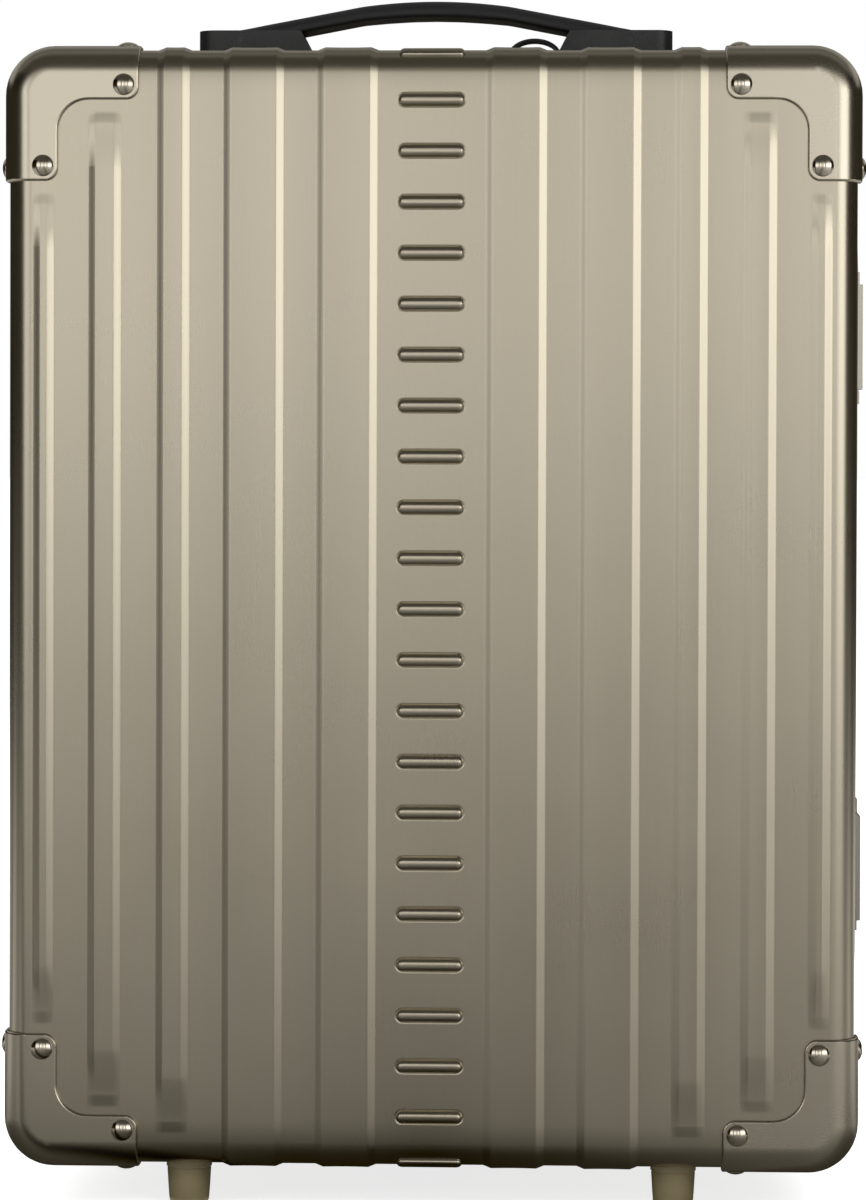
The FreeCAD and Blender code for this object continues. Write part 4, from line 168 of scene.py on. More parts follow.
def eased(corners: Sequence[Sequence[float]], radius: float, steps: int = 3) -> Array:
    """Round a closed outline's corners with quadratic curves.

    Args:
        corners: Corner points in order.
        radius: How far from each corner its curve starts, at most 0.45 of a side.
        steps: Points of each curve less one.

    Returns:
        The eased outline's points.
    """
    points = np.asarray(corners, float)
    back, ahead = np.roll(points, 1, 0) - points, np.roll(points, -1, 0) - points
    long_back, long_ahead = np.linalg.norm(back, axis=1), np.linalg.norm(ahead, axis=1)
    start = points + back * (np.minimum(radius, 0.45 * long_back) / long_back)[:, None]
    end = points + ahead * (np.minimum(radius, 0.45 * long_ahead) / long_ahead)[:, None]
    t = np.linspace(0, 1, steps + 1)[None, :, None]
    curve = (1 - t) ** 2 * start[:, None] + 2 * t * (1 - t) * points[:, None] + t ** 2 * end[:, None]
    return curve.reshape(-1, points.shape[1])


def box_outline(half: float, thick: float, radius: float, steps: int) -> Array:
    """Return the closed outline of a box of 2 half by 2 thick with eased corners."""
    corners = [(-half, -thick), (half, -thick), (half, thick), (-half, thick)]
    return closed(eased(corners, radius, steps))


def cleaned(mesh: bpy.types.Mesh, weld: float, merge: float = 0.0) -> None:
    """Weld points of a mesh that coincide and turn its faces one way.

    Args:
        mesh: The mesh, changed in place.
        weld: Welding distance in metres.
        merge: Faces that meet within this many degrees are merged, if any.
    """
    work = bmesh.new()
    work.from_mesh(mesh)
    bmesh.ops.remove_doubles(work, verts=work.verts, dist=weld)
    if merge:
        bmesh.ops.dissolve_limit(work, angle_limit=math.radians(merge), verts=work.verts, edges=work.edges,
                                 use_dissolve_boundaries=False)
    else:
        bmesh.ops.dissolve_degenerate(work, edges=work.edges, dist=weld)
    bmesh.ops.recalc_face_normals(work, faces=work.faces)
    work.to_mesh(mesh)
    work.free()


class Skin:
    """Points and faces gathered from numpy arrays, then made into one mesh."""

    def __init__(self, name: str) -> None:
        """Start an empty skin.

        Args:
            name: Name of the object that it becomes.
        """
        self.name = name
        self.points: list[Array] = []
        self.faces: list[Array] = []
        self.uvs: list[Array] = []
        self.count = 0

    def add(self, points: Array, faces: Sequence[Array], uv: Optional[Array] = None) -> None:
        """Add points in millimetres and their faces.

        Args:
            points: Array (n, 3).
            faces: Arrays (k, sides) of indices into points.
            uv: Array (n, 2) in metres, or None.
        """
        points = np.asarray(points, float)
        uv = np.zeros((len(points), 2)) if uv is None else uv
        for block in faces:
            block = np.asarray(block, int)
            if block.size:
                self.faces.append(block + self.count)
                self.uvs.append(uv[block].reshape(-1, 2))
        self.points.append(points)
        self.count += len(points)

    def grid(self, points: Array, uv: Optional[Array] = None, keep: Optional[Array] = None) -> None:
        """Add a two-parameter grid of points.

        Args:
            points: Array (m, n, 3).
            uv: Array (m, n, 2) in metres, or None.
            keep: Booleans (m - 1, n - 1): which faces are kept.
        """
        rows, columns = points.shape[:2]
        index = np.arange(rows * columns).reshape(rows, columns)
        quads = np.stack([index[:-1, :-1], index[1:, :-1], index[1:, 1:], index[:-1, 1:]], -1)
        quads = quads.reshape(-1, 4) if keep is None else quads[keep]
        flat = None if uv is None else np.asarray(uv, float).reshape(-1, 2)
        self.add(points.reshape(-1, 3), [quads], flat)

    def cap(self, ring: Array) -> None:
        """Close a flat ring of points (n, 3) with one face."""
        self.add(ring, [np.arange(len(ring))[None, :]])

    def tube(self, points: Array, uv: Optional[Array] = None) -> None:
        """Add a grid whose rows are closed rings, and close its first and last ring.

        Args:
            points: Array (m, n, 3); each row ends on its first point.
            uv: Array (m, n, 2) in metres, or None.
        """
        self.grid(points, uv)
        self.cap(points[0, :-1])
        self.cap(points[-1, :-1])

    def build(self, sharp: float = 40.0, outward: Optional[Outward] = None) -> Object:
        """Write the arrays into a mesh, weld points that coincide and make the object.

        An inside-out mesh is flipped. The test is the signed volume, or for an open surface the
        mean of normal times outward.

        Args:
            sharp: Angle in degrees past which an edge is shaded sharp.
            outward: For an open surface, gives the way out at face centres.

        Returns:
            The object, at the origin, with a UV map.
        """
        mesh = bpy.data.meshes.new(self.name)
        points = np.concatenate(self.points) * MM
        sizes = np.concatenate([np.full(len(block), block.shape[1]) for block in self.faces])
        corners = np.concatenate([block.ravel() for block in self.faces])
        mesh.vertices.add(len(points))
        mesh.vertices.foreach_set("co", points.ravel())
        mesh.loops.add(len(corners))
        mesh.loops.foreach_set("vertex_index", corners)
        mesh.polygons.add(len(sizes))
        mesh.polygons.foreach_set("loop_start", np.append(0, np.cumsum(sizes)[:-1]))
        mesh.update(calc_edges=True)
        mesh.validate()
        layer = mesh.uv_layers.new(name="cloth")
        uvs = np.concatenate(self.uvs)
        if len(uvs) == len(mesh.loops):
            layer.uv.foreach_set("vector", uvs.ravel())
        cleaned(mesh, 1e-6)
        count = len(mesh.polygons)
        normals, centres, areas = np.empty((count, 3)), np.empty((count, 3)), np.empty(count)
        for name, values in (("normal", normals), ("center", centres), ("area", areas)):
            mesh.polygons.foreach_get(name, values.ravel())
        away = centres if outward is None else outward(centres)
        if float((areas * (normals * away).sum(1)).sum()) < 0:
            mesh.flip_normals()
        return shown(self.name, mesh, sharp)


def shown(name: str, mesh: bpy.types.Mesh, sharp: float = 40.0) -> Object:
    """Link a mesh to the scene as a smooth-shaded object.

    Args:
        name: Object name.
        mesh: The mesh.
        sharp: Angle in degrees past which an edge is shaded sharp.

    Returns:
        The object.
    """
    mesh.shade_smooth()
    mesh.set_sharp_from_angle(angle=math.radians(sharp))
    thing = bpy.data.objects.new(name, mesh)
    bpy.context.scene.collection.objects.link(thing)
    return thing


def frozen(thing: Object) -> bpy.types.Mesh:
    """Take an object's shape with its modifiers applied.

    Args:
        thing: The object; it may also be a curve or a text.

    Returns:
        The new mesh.
    """
    graph = bpy.context.evaluated_depsgraph_get()
    graph.update()
    return bpy.data.meshes.new_from_object(thing.evaluated_get(graph), preserve_all_data_layers=True,
                                           depsgraph=graph)


def bodies_of_nodes() -> dict[str, str]:
    """Return the body that each CAD node rides on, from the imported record."""
    bodies = frame["record"]["behaviour"]["bodies"]
    return {node: name for name, nodes in bodies.items() for node in nodes}


def place(piece: Object, material: Material, *nodes: str, body: str = "", slot: str = "") -> Object:
    """Dress a new piece, ride it and let it stand for CAD nodes.

    Args:
        piece: The new piece.
        material: Its finish.
        nodes: CAD nodes that it replaces.
        body: Body to ride on, if not that of the first node.
        slot: Not used.

    Returns:
        The piece.
    """
    if not piece.data.materials:
        piece.data.materials.append(material)
    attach(piece, body or HOMES[nodes[0]])
    if nodes:
        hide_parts(*nodes)
    size = len(piece.data.polygons)
    LOG.info("%-26s %6d faces, %s", piece.name, size, piece.data.materials[0].name)
    return piece


def recast(node: str, name: str, material: Material, width: float, segments: int,
           angle: float = 38.0, clamp: bool = True) -> Object:
    """Stand a CAD node's copy in for it, its loose triangles merged and its edges rounded.

    Args:
        node: CAD node name.
        name: Name of the new piece.
        material: Its finish.
        width: Width of the rounding in millimetres.
        segments: Faces across the rounding.
        angle: Edges sharper than this many degrees are rounded.
        clamp: Whether the shortest edge limits the rounding.

    Returns:
        The new piece.
    """
    mesh = frame["nodes"][node].data.copy()
    mesh.name = name
    mesh.materials.clear()
    cleaned(mesh, 2e-6, 0.6)
    if "custom_normal" in mesh.attributes:
        mesh.attributes.remove(mesh.attributes["custom_normal"])
    thing = shown(name, mesh, angle)
    rounding = thing.modifiers.new("rounded edges", "BEVEL")
    rounding.width, rounding.segments = width * MM, segments
    rounding.limit_method, rounding.angle_limit = "ANGLE", math.radians(angle)
    rounding.harden_normals, rounding.use_clamp_overlap = True, clamp
    rounding.miter_outer = "MITER_ARC"
    weighted = thing.modifiers.new("even shading", "WEIGHTED_NORMAL")
    weighted.keep_sharp, weighted.weight = True, 80
    return place(thing, material, node)


def dress(material: Material, *nodes: str) -> None:
    """Give CAD nodes whose shape is right a finished material.

    Args:
        material: The finish.
        nodes: CAD node names.
    """
    for node in nodes:
        for holder in frame["nodes"][node].material_slots:
            holder.material = material
        LOG.info("%-26s kept from the frame, %s", node, material.name)


# ---- finishes
class Graph:
    """The node tree of a material or world with one shader."""

    def __init__(self, name: str, shader: str = "BsdfPrincipled") -> None:
        """Make the material, or for a background shader the world, and its shader.

        Args:
            name: Name of the material or world.
            shader: Type of the shader.
        """
        world = shader == "Background"
        self.material = (bpy.data.worlds if world else bpy.data.materials).new(name)
        self.material.use_nodes = True
        self.tree = self.material.node_tree
        self.tree.nodes.clear()
        self.shader = self.node(shader)
        self.node("OutputWorld" if world else "OutputMaterial", {"Surface": self.shader.outputs[0]})

    def node(self, kind: str, inputs: Optional[dict] = None, **settings: object) -> bpy.types.Node:
        """Add a node.

        Args:
            kind: Node type without its "ShaderNode" prefix.
            inputs: Sockets by name or index, each a value or another node's output.
            settings: Attributes of the node.

        Returns:
            The node.
        """
        node = self.tree.nodes.new("ShaderNode" + kind)
        for key, value in settings.items():
            setattr(node, key, value)
        for key, value in (inputs or {}).items():
            self.feed(node.inputs[key], value)
        return node

    def feed(self, socket: Socket, value: object) -> None:
        """Link or set one socket.

        Args:
            socket: The input.
            value: Another node's output, or a plain value.
        """
        if isinstance(value, Socket):
            self.tree.links.new(value, socket)
        else:
            socket.default_value = value

    def set(self, **values: object) -> None:
        """Set the shader's sockets; underscores in the names stand for spaces."""
        for key, value in values.items():
            self.feed(self.shader.inputs[key.replace("_", " ")], value)

    def place(self, scale: Sequence[float] = (1, 1, 1), turn: Sequence[float] = (0, 0, 0),
              uv: bool = False) -> Socket:
        """Return object coordinates, or the cloth's UV, scaled and turned."""
        where = self.node("TexCoord").outputs["UV" if uv else "Object"]
        return self.node("Mapping", {"Vector": where, "Scale": scale, "Rotation": turn}).outputs[0]

    def noise(self, where: Socket, scale: float, detail: float = 3.0,
              roughness: float = 0.55) -> Socket:
        """Return the value of a noise texture."""
        return self.node("TexNoise", {"Vector": where, "Scale": scale, "Detail": detail,
                                      "Roughness": roughness}).outputs[0]

    def range(self, value: Socket, low: float, high: float, start: float = 0.0,
              end: float = 1.0) -> Socket:
        """Return value carried from start…end to low…high."""
        return self.node("MapRange", {"Value": value, "From Min": start, "From Max": end,
                                      "To Min": low, "To Max": high}).outputs[0]

    def math(self, operation: str, first: object, second: object = 0) -> Socket:
        """Return the result of a named operation on one or two values."""
        return self.node("Math", {0: first, 1: second}, operation=operation).outputs[0]

    def add(self, first: object, second: object) -> Socket:
        """Return first plus second."""
        return self.math("ADD", first, second)

    def less(self, first: object, second: object) -> Socket:
        """Return first minus second."""
        return self.math("SUBTRACT", first, second)

    def times(self, first: object, second: object) -> Socket:
        """Return first times second."""
        return self.math("MULTIPLY", first, second)

    def larger(self, first: object, second: object) -> Socket:
        """Return the larger of two values."""
        return self.math("MAXIMUM", first, second)

    def blend(self, factor: Socket, first: Sequence[float], second: Sequence[float]) -> Socket:
        """Return a colour between two, by a factor."""
        return self.node("Mix", {0: factor, 6: first, 7: second}, data_type="RGBA").outputs[2]

    def tint(self, factor: Socket, shade: Sequence[float], low: float, high: float) -> Socket:
        """Return a shade dimmed by between low and high, by a factor."""
        return self.blend(factor, dimmed(shade, low), dimmed(shade, high))

    def swing(self, value: Socket, level: float, half: float, start: float, end: float) -> Socket:
        """Return value carried from start…end to level ± half."""
        return self.range(value, level - half, level + half, start, end)

    def relief(self, height: Socket, depth: float) -> Socket:
        """Return the normal of a height map whose full range is depth millimetres."""
        return self.node("Bump", {"Height": height, "Distance": depth * MM}).outputs[0]


def linear(value: float) -> float:
    """Return the linear light of a 0-255 display value."""
    part = value / 255.0
    return part / 12.92 if part <= 0.04045 else ((part + 0.055) / 1.055) ** 2.4


def colour(*shade: float) -> tuple[float, ...]:
    """Return the linear colour of three 0-255 display values."""
    return (*map(linear, shade), 1)


def dimmed(shade: Sequence[float], share: float) -> tuple[float, ...]:
    """Return a colour multiplied by a share."""
    return (*(value * share for value in shade[:3]), 1)


@dataclass(frozen=True)
class Anodised:
    """Drawn and anodised aluminium: fine grain along one direction and a faint pearly speckle."""

    name: str
    shade: tuple
    roughness: float = 0.34
    grain: Grain = Grain.UPRIGHT
    grain_depth: float = 0.0001
    speckle: float = 0.035
    cloudiness: float = 0.03

    def material(self) -> Material:
        """Build the material.

        Returns:
            The material.
        """
        graph = Graph(self.name)
        drawn = graph.noise(graph.place(self.grain.value), 1400, 4, 0.7)
        fleck = graph.noise(graph.place(), 2600, 2, 0.6)
        cloud = graph.noise(graph.place(), 14, 3, 0.5)
        tone = graph.add(graph.swing(drawn, 0, self.speckle * 0.6, 0.25, 0.75),
                         graph.swing(fleck, 0, self.speckle, 0.3, 0.7))
        tone = graph.add(tone, graph.swing(cloud, 0, self.cloudiness, 0.3, 0.7))
        tint = graph.tint(graph.range(tone, 0, 1, -0.5, 0.5), self.shade, 0.62, 1.38)
        matte = graph.add(graph.swing(drawn, self.roughness, 0.004, 0.2, 0.8),
                          graph.swing(cloud, 0, 0.01, 0.3, 0.7))
        normal = graph.relief(graph.add(drawn, graph.times(fleck, 0.6)), self.grain_depth)
        graph.set(Base_Color=tint, Metallic=1, Roughness=matte, Normal=normal)
        return graph.material


@dataclass(frozen=True)
class Plated:
    """Bright plated metal with a faint orange-peel and hairline wear."""

    name: str
    shade: tuple
    roughness: float = 0.12
    wear: float = 0.08
    stretch: float = 0.0

    def material(self) -> Material:
        """Build the material; stretch draws highlights out along the UV map's first direction.

        Returns:
            The material.
        """
        graph = Graph(self.name)
        if self.stretch:
            graph.set(Anisotropic=self.stretch,
                      Tangent=graph.node("Tangent", direction_type="UV_MAP", uv_map="cloth").outputs[0])
        peel = graph.noise(graph.place(), 900, 2)
        scratch = graph.noise(graph.place((1, 1, 0.05), (0.3, 0.5, 0.2)), 1800, 3, 0.7)
        matte = graph.add(graph.range(peel, self.roughness * 0.7, self.roughness * 1.3, 0.3, 0.7),
                          graph.range(scratch, 0, self.wear, 0.55, 0.8))
        tint = graph.blend(graph.range(scratch, 0, 1, 0.4, 0.8), self.shade, dimmed(self.shade, 0.8))
        graph.set(Base_Color=tint, Metallic=1, Roughness=matte,
                  Normal=graph.relief(peel, 0.004))
        return graph.material


@dataclass(frozen=True)
class Moulded:
    """Moulded plastic or rubber with a pebbled grain."""

    name: str
    shade: tuple
    roughness: float = 0.5
    pebble: float = 0.55
    depth: float = 0.05
    mottle: float = 0.12

    def material(self) -> Material:
        """Build the material; pebble is the size of the grain's cells in millimetres.

        Returns:
            The material.
        """
        graph = Graph(self.name)
        where = graph.place()
        cells = graph.node("TexVoronoi", {"Vector": where, "Scale": 1000.0 / self.pebble,
                                          "Randomness": 0.9}, feature="SMOOTH_F1").outputs["Distance"]
        haze = graph.noise(where, 60, 4, 0.6)
        fine = graph.noise(where, 5200, 2)
        tint = graph.tint(graph.range(haze, 0, 1, 0.25, 0.75), self.shade, 1.0 - self.mottle, 1.0 + self.mottle)
        matte = graph.add(graph.swing(haze, self.roughness, 0.07, 0.3, 0.7),
                          graph.swing(cells, 0, 0.05, 0, 0.7))
        height = graph.add(graph.times(cells, -1), graph.times(fine, 0.25))
        graph.set(Base_Color=tint, Roughness=matte, Normal=graph.relief(height, self.depth))
        return graph.material


@dataclass(frozen=True)
class Woven:
    """Woven cloth on the piece's UV map: threads over and under, a slub and a soft sheen."""

    name: str
    shade: tuple
    thread: float = 0.5
    cross: float = 0.5
    twill: float = 0.0
    depth: float = 0.12
    roughness: float = 0.8
    sheen: float = 0.3

    def material(self) -> Material:
        """Build the material; thread and cross are the weave's pitches in millimetres.

        Returns:
            The material.
        """
        graph = Graph(self.name)
        where = graph.place(uv=True)
        parts = graph.node("SeparateXYZ", {"Vector": where})
        along = graph.times(parts.outputs[0], math.tau * 1000.0 / self.cross)
        over = graph.times(parts.outputs[1], math.tau * 1000.0 / self.thread)
        along = graph.add(along, graph.times(over, self.twill))
        warp = graph.math("ABSOLUTE", graph.math("SINE", graph.times(over, 0.5)))
        turn = graph.times(graph.math("SINE", graph.times(along, 0.5)),
                           graph.math("SINE", graph.times(over, 0.5)))
        weave = graph.add(graph.times(warp, 0.5), graph.times(graph.math("ABSOLUTE", turn), 0.8))
        slub = graph.noise(graph.place((40, 900, 1), uv=True), 1, 3)
        haze = graph.noise(graph.place(), 25, 3)
        tone = graph.add(graph.times(weave, 0.55), graph.times(slub, 0.35))
        tone = graph.add(tone, graph.times(haze, 0.25))
        tint = graph.tint(graph.range(tone, 0, 1, 0.2, 1), self.shade, 0.62, 1.3)
        graph.set(Base_Color=tint, Roughness=graph.range(weave, self.roughness + 0.08, self.roughness - 0.05),
                  Sheen_Weight=self.sheen, Sheen_Roughness=0.4,
                  Normal=graph.relief(graph.add(weave, graph.times(slub, 0.3)), self.depth))
        return graph.material


@dataclass(frozen=True)
class Netting:
    """Open warp-knit mesh on the UV map: threads with rounded holes between."""

    name: str
    shade: tuple
    pitch: float = 1.9
    hole: float = 0.36

    def material(self) -> Material:
        """Build the material; every second row of holes is set over by half a pitch.

        Returns:
            The material.
        """
        graph = Graph(self.name)
        parts = graph.node("SeparateXYZ", {"Vector": graph.place(uv=True)})
        across = graph.math("DIVIDE", parts.outputs[0], self.pitch * MM)
        along = graph.math("DIVIDE", parts.outputs[1], self.pitch * MM * 0.8)
        row = graph.math("FLOOR", along)
        shifted = graph.add(across, graph.times(row, 0.5))
        left = graph.less(graph.math("FRACT", shifted), 0.5)
        up = graph.less(graph.math("FRACT", along), 0.5)
        distance = graph.math("SQRT", graph.add(graph.times(left, left), graph.times(up, up)))
        solid = graph.range(distance, 0, 1, self.hole - 0.03, self.hole + 0.03)
        haze = graph.noise(graph.place(), 40)
        tint = graph.tint(haze, self.shade, 0.7, 1.3)
        graph.set(Base_Color=tint, Roughness=0.7, Sheen_Weight=0.25, Alpha=solid,
                  Normal=graph.relief(distance, 0.15))
        return graph.material


CHAMPAGNE = colour(196, 189, 171)


class Kit:
    """Every finish of the case, each built once."""

    def __init__(self) -> None:
        """Build the materials."""
        black = colour(30, 30, 31)
        self.shell = Anodised("champagne_shell", CHAMPAGNE, 0.28, Grain.UPRIGHT).material()
        self.guard = Anodised("champagne_guard", colour(204, 197, 180), 0.27, Grain.LEVEL, speckle=0.025).material()
        self.frame = Anodised("champagne_frame", colour(192, 186, 170), 0.27, Grain.UPRIGHT, 0.003,
                              0.05).material()
        self.tube = Anodised("satin_tube", colour(186, 184, 178), 0.24, Grain.UPRIGHT, 0.003, 0.05).material()
        self.rivet = Plated("bright_rivet", colour(228, 220, 204), 0.13, 0.02, 0.9).material()
        self.hardware = Anodised("brushed_hardware", colour(188, 184, 172), 0.26, Grain.UPRIGHT, 0.004,
                                 0.06).material()
        self.steel = Plated("polished_steel", colour(196, 196, 194), 0.2).material()
        self.screw = Plated("zinc_screw", colour(176, 176, 172), 0.28).material()
        self.black = Moulded("grained_black", black, 0.42, 0.6, 0.05).material()
        self.grip = Moulded("grip_black", colour(27, 27, 28), 0.46, 0.5, 0.035).material()
        self.strap = Moulded("strap_rubber", colour(24, 24, 25), 0.52, 0.35, 0.02).material()
        self.dial = Moulded("dial_black", colour(22, 22, 23), 0.3, 0.8, 0.01).material()
        self.numeral = Moulded("dial_white", colour(232, 232, 228), 0.45, 0.8, 0.005).material()
        self.tyre = Moulded("wheel_tyre", colour(38, 38, 39), 0.62, 0.9, 0.03).material()
        self.hub = Moulded("wheel_hub", colour(58, 58, 59), 0.4, 0.9, 0.02).material()
        self.foot = Moulded("tan_foot", colour(124, 112, 80), 0.55, 0.7, 0.03).material()
        self.seal = Moulded("seal_rubber", colour(26, 26, 26), 0.6, 0.6, 0.02).material()
        self.lining = Woven("lining_cloth", colour(62, 58, 52), 0.42, 0.42, 0.5, 0.05, 0.72, 0.25).material()
        self.binding = Woven("binding_tape", colour(34, 32, 30), 0.7, 0.35, 0, 0.1).material()
        self.webbing = Woven("black_webbing", colour(27, 27, 28), 1.1, 0.75, 1, 0.22, 0.7, 0.2).material()
        self.netting = Netting("pocket_net", colour(40, 38, 36)).material()


# ---- studio
@dataclass
class Studio:
    """Camera, soft lamps, reflectors and floor.

    Each table pairs a bearing in degrees, or a height or distance in metres, with a brightness.
    """

    eye: tuple = (0.058, -1.6506, 0.3073)
    heading: float = 2.077
    dip: float = 0.884
    roll: float = 0.17
    lens: float = 116.25
    shift: tuple = (-0.0017, -0.075)
    radius: float = 3.1
    foot: float = 0.004
    ground: float = 0.003
    ceiling: float = 2.3
    ambient: float = 0.42
    warmth: tuple = ((0.985, 0.004), (0.965, 0.014))
    around: tuple = ((-180, 0.12), (-162, 0.12), (-150, 0.02), (-49, 0.01), (-45.5, 0.3), (-43, 0.98), (-39, 1.1),
                     (-31, 1.08), (-15, 1.22), (-10, 1.12), (-5, 0.86), (0, 0.62), (4, 0.76), (9, 1.05), (15, 1.3),
                     (24, 1.4), (31, 1.68), (56, 1.66), (61, 0.01), (150, 0.02), (162, 0.12), (180, 0.12))
    bars: tuple = ((-180, 1), (-24, 1), (-22.5, 0.3), (-17, 0.3), (-15.5, 1), (15.5, 1), (17, 0.3),
                   (22.5, 0.3), (24, 1), (180, 1))
    upward: tuple = ((0, 0.34), (0.12, 0.6), (0.35, 1.25), (0.6, 1.36), (0.85, 1.34), (1.15, 1.02), (1.4, 0.5),
                     (1.75, 0.12), (2.3, 0.05))
    behind: tuple = ((-3.1, 0.07), (-0.35, 0.07), (-0.15, 0.2), (0.35, 0.2), (0.6, 0.1), (1, 0.2), (1.6, 0.34),
                     (3.1, 0.36))
    rear: tuple = ((0, 0), (96, 0), (112, 0.45), (160, 0.45), (170, 0.12), (180, 0.12))
    high: tuple = ((0, 0), (1.15, 0), (1.35, 1), (2.3, 1))
    ahead: tuple = ((0, 0), (0.12, 0.02), (0.24, 0.1), (0.34, 0.165), (0.9, 0.24), (2, 0.36), (3.1, 0.42))
    beside: tuple = ((0, 0), (0.16, 0.06), (0.26, 0.15), (0.42, 0.45), (0.6, 0.7), (1.5, 0.7), (2.1, 0.35),
                     (3.1, 0.15))
    flanks: tuple = ((0, 0), (50, 0), (56, 0.8), (64, 0.5), (78, 0.5), (84, 1), (96, 1), (104, 0.4), (122, 0.4),
                     (129, 1), (149, 1), (157, 0.5), (168, 0.5), (173, 1), (180, 1))

    def camera(self) -> None:
        """Make the camera: it looks along +Y, turned by heading, dip and roll in degrees."""
        data = bpy.data.cameras.new("camera")
        data.lens, data.sensor_width = self.lens, 36.0
        data.shift_x, data.shift_y = self.shift
        data.clip_start, data.clip_end = 0.05, 60.0
        eye = bpy.data.objects.new("camera", data)
        turn, dip = math.radians(self.heading), math.radians(self.dip)
        ahead = Vector((-math.sin(turn) * math.cos(dip), math.cos(turn) * math.cos(dip), -math.sin(dip)))
        eye.rotation_mode = "QUATERNION"
        base = ahead.to_track_quat("-Z", "Y").to_matrix()
        eye.rotation_quaternion = (base @ Matrix.Rotation(math.radians(self.roll), 3, "Z")).to_quaternion()
        eye.location = self.eye
        bpy.context.scene.collection.objects.link(eye)
        bpy.context.scene.camera = eye

    def lamp(self, name: str, spot: Sequence[float], aim: Sequence[float], size: tuple, power: float) -> None:
        """Hang a soft rectangular lamp.

        Args:
            name: Lamp name.
            spot: Its centre, in metres.
            aim: The point it faces.
            size: Width and height in metres.
            power: Watts.
        """
        data = bpy.data.lights.new(name, "AREA")
        data.shape, data.size, data.size_y, data.energy = "RECTANGLE", size[0], size[1], power
        lamp = bpy.data.objects.new(name, data)
        lamp.location = spot
        lamp.rotation_euler = (Vector(aim) - Vector(spot)).to_track_quat("-Z", "Y").to_euler()
        lamp.visible_glossy = False
        bpy.context.scene.collection.objects.link(lamp)

    def glow(self, name: str, points: Array, level: Callable[[Graph], Socket]) -> None:
        """Stand a reflector that only glossy surfaces see.

        Its green and blue are its red times a share, less a little, as warmth says.

        Args:
            name: Name of the reflector.
            points: Grid (m, n, 3) in metres.
            level: Builds its brightness from its own object coordinates.
        """
        graph = Graph(name, "Emission")
        red = level(graph)
        green, blue = (graph.larger(graph.less(graph.times(red, share), lost), 0) for share, lost in self.warmth)
        graph.set(Color=graph.node("CombineXYZ", {0: red, 1: green, 2: blue}).outputs[0])
        skin = Skin(name)
        skin.grid(points / MM)
        screen = skin.build(outward=lambda centres: -centres)
        screen.data.materials.append(graph.material)
        for kind in ("camera", "diffuse", "shadow", "transmission", "volume_scatter"):
            setattr(screen, f"visible_{kind}", False)

    def curve(self, graph: Graph, value: Socket, stops: Sequence[tuple]) -> Socket:
        """Return a broken-line function of a value.

        Args:
            graph: The material.
            value: The value.
            stops: Pairs of value and result, rising, at most 32.

        Returns:
            The result, read from a colour ramp scaled to the largest result.
        """
        first, last = stops[0][0], stops[-1][0]
        peak = max(result for _, result in stops)
        table = graph.node("ValToRGB", {"Fac": graph.range(value, 0, 1, first, last)})
        line = table.color_ramp.elements
        while len(line) < len(stops):
            line.new(0.5)
        for element, (stop, result) in zip(line, stops):
            element.position = (stop - first) / (last - first)
            element.color = (result / peak, result / peak, result / peak, 1)
        return graph.times(table.outputs[0], peak)

    def polar(self, graph: Graph) -> tuple[Socket, Socket, Socket]:
        """Find where a point lies, seen from the middle of the floor.

        Args:
            graph: The material.

        Returns:
            Its bearing from the front in degrees, its distance and its height.
        """
        x, y, z = graph.node("SeparateXYZ", {"Vector": graph.place()}).outputs
        bearing = graph.times(graph.math("ARCTAN2", x, graph.times(y, -1)), 180.0 / math.pi)
        return bearing, graph.math("SQRT", graph.add(graph.times(x, x), graph.times(y, y))), z

    def wall_glow(self, graph: Graph) -> Socket:
        """Work out the wall's brightness: the larger of a barred front and a high rear.

        Args:
            graph: The reflector's material.

        Returns:
            The brightness by bearing and height.
        """
        bearing, _, height = self.polar(graph)
        around = self.curve(graph, bearing, self.around)
        around = graph.times(around, self.curve(graph, bearing, self.bars))
        rear = self.curve(graph, graph.math("ABSOLUTE", bearing), self.rear)
        return graph.larger(graph.times(around, self.curve(graph, height, self.upward)),
                            graph.times(rear, self.curve(graph, height, self.high)))

    def ceiling_glow(self, graph: Graph) -> Socket:
        """Return the ceiling's brightness: dim overhead and paler at the rear."""
        _, y, _ = graph.node("SeparateXYZ", {"Vector": graph.place()}).outputs
        return self.curve(graph, y, self.behind)

    def ground_glow(self, graph: Graph) -> Socket:
        """Work out the ground's brightness: the larger of the front's path and the pale flanks.

        Args:
            graph: The reflector's material.

        Returns:
            The brightness by bearing and distance.
        """
        bearing, distance, _ = self.polar(graph)
        path = graph.times(self.curve(graph, bearing, self.around), self.curve(graph, distance, self.ahead))
        flank = graph.times(self.curve(graph, graph.math("ABSOLUTE", bearing), self.flanks),
                            self.curve(graph, distance, self.beside))
        return graph.larger(path, flank)

    def room(self) -> None:
        """Stand a round room of soft reflectors: a bright front and rear, dark shoulders between."""
        angle = np.linspace(-math.pi, math.pi, 145)
        x, y = np.sin(angle), -np.cos(angle)
        reach = np.linspace(0, self.radius, 5)[:, None]
        rise = np.array([[self.foot], [self.ceiling]])
        for name, away, level, glow in (("reflector_wall", self.radius, rise, self.wall_glow),
                                        ("reflector_ceiling", reach, self.ceiling, self.ceiling_glow),
                                        ("reflector_ground", reach, self.ground, self.ground_glow)):
            self.glow(name, np.stack(np.broadcast_arrays(away * x, away * y, level), -1), glow)

    def world(self) -> None:
        """Light the room softly; camera, glossy and transmission rays see it plain white."""
        graph = Graph("studio", "Background")
        bpy.context.scene.world = graph.material
        path = graph.node("LightPath").outputs
        seen = graph.larger(graph.larger(path["Is Camera Ray"], path["Is Glossy Ray"]), path["Is Transmission Ray"])
        graph.set(Color=(1, 1, 1, 1), Strength=graph.range(seen, self.ambient, 1))

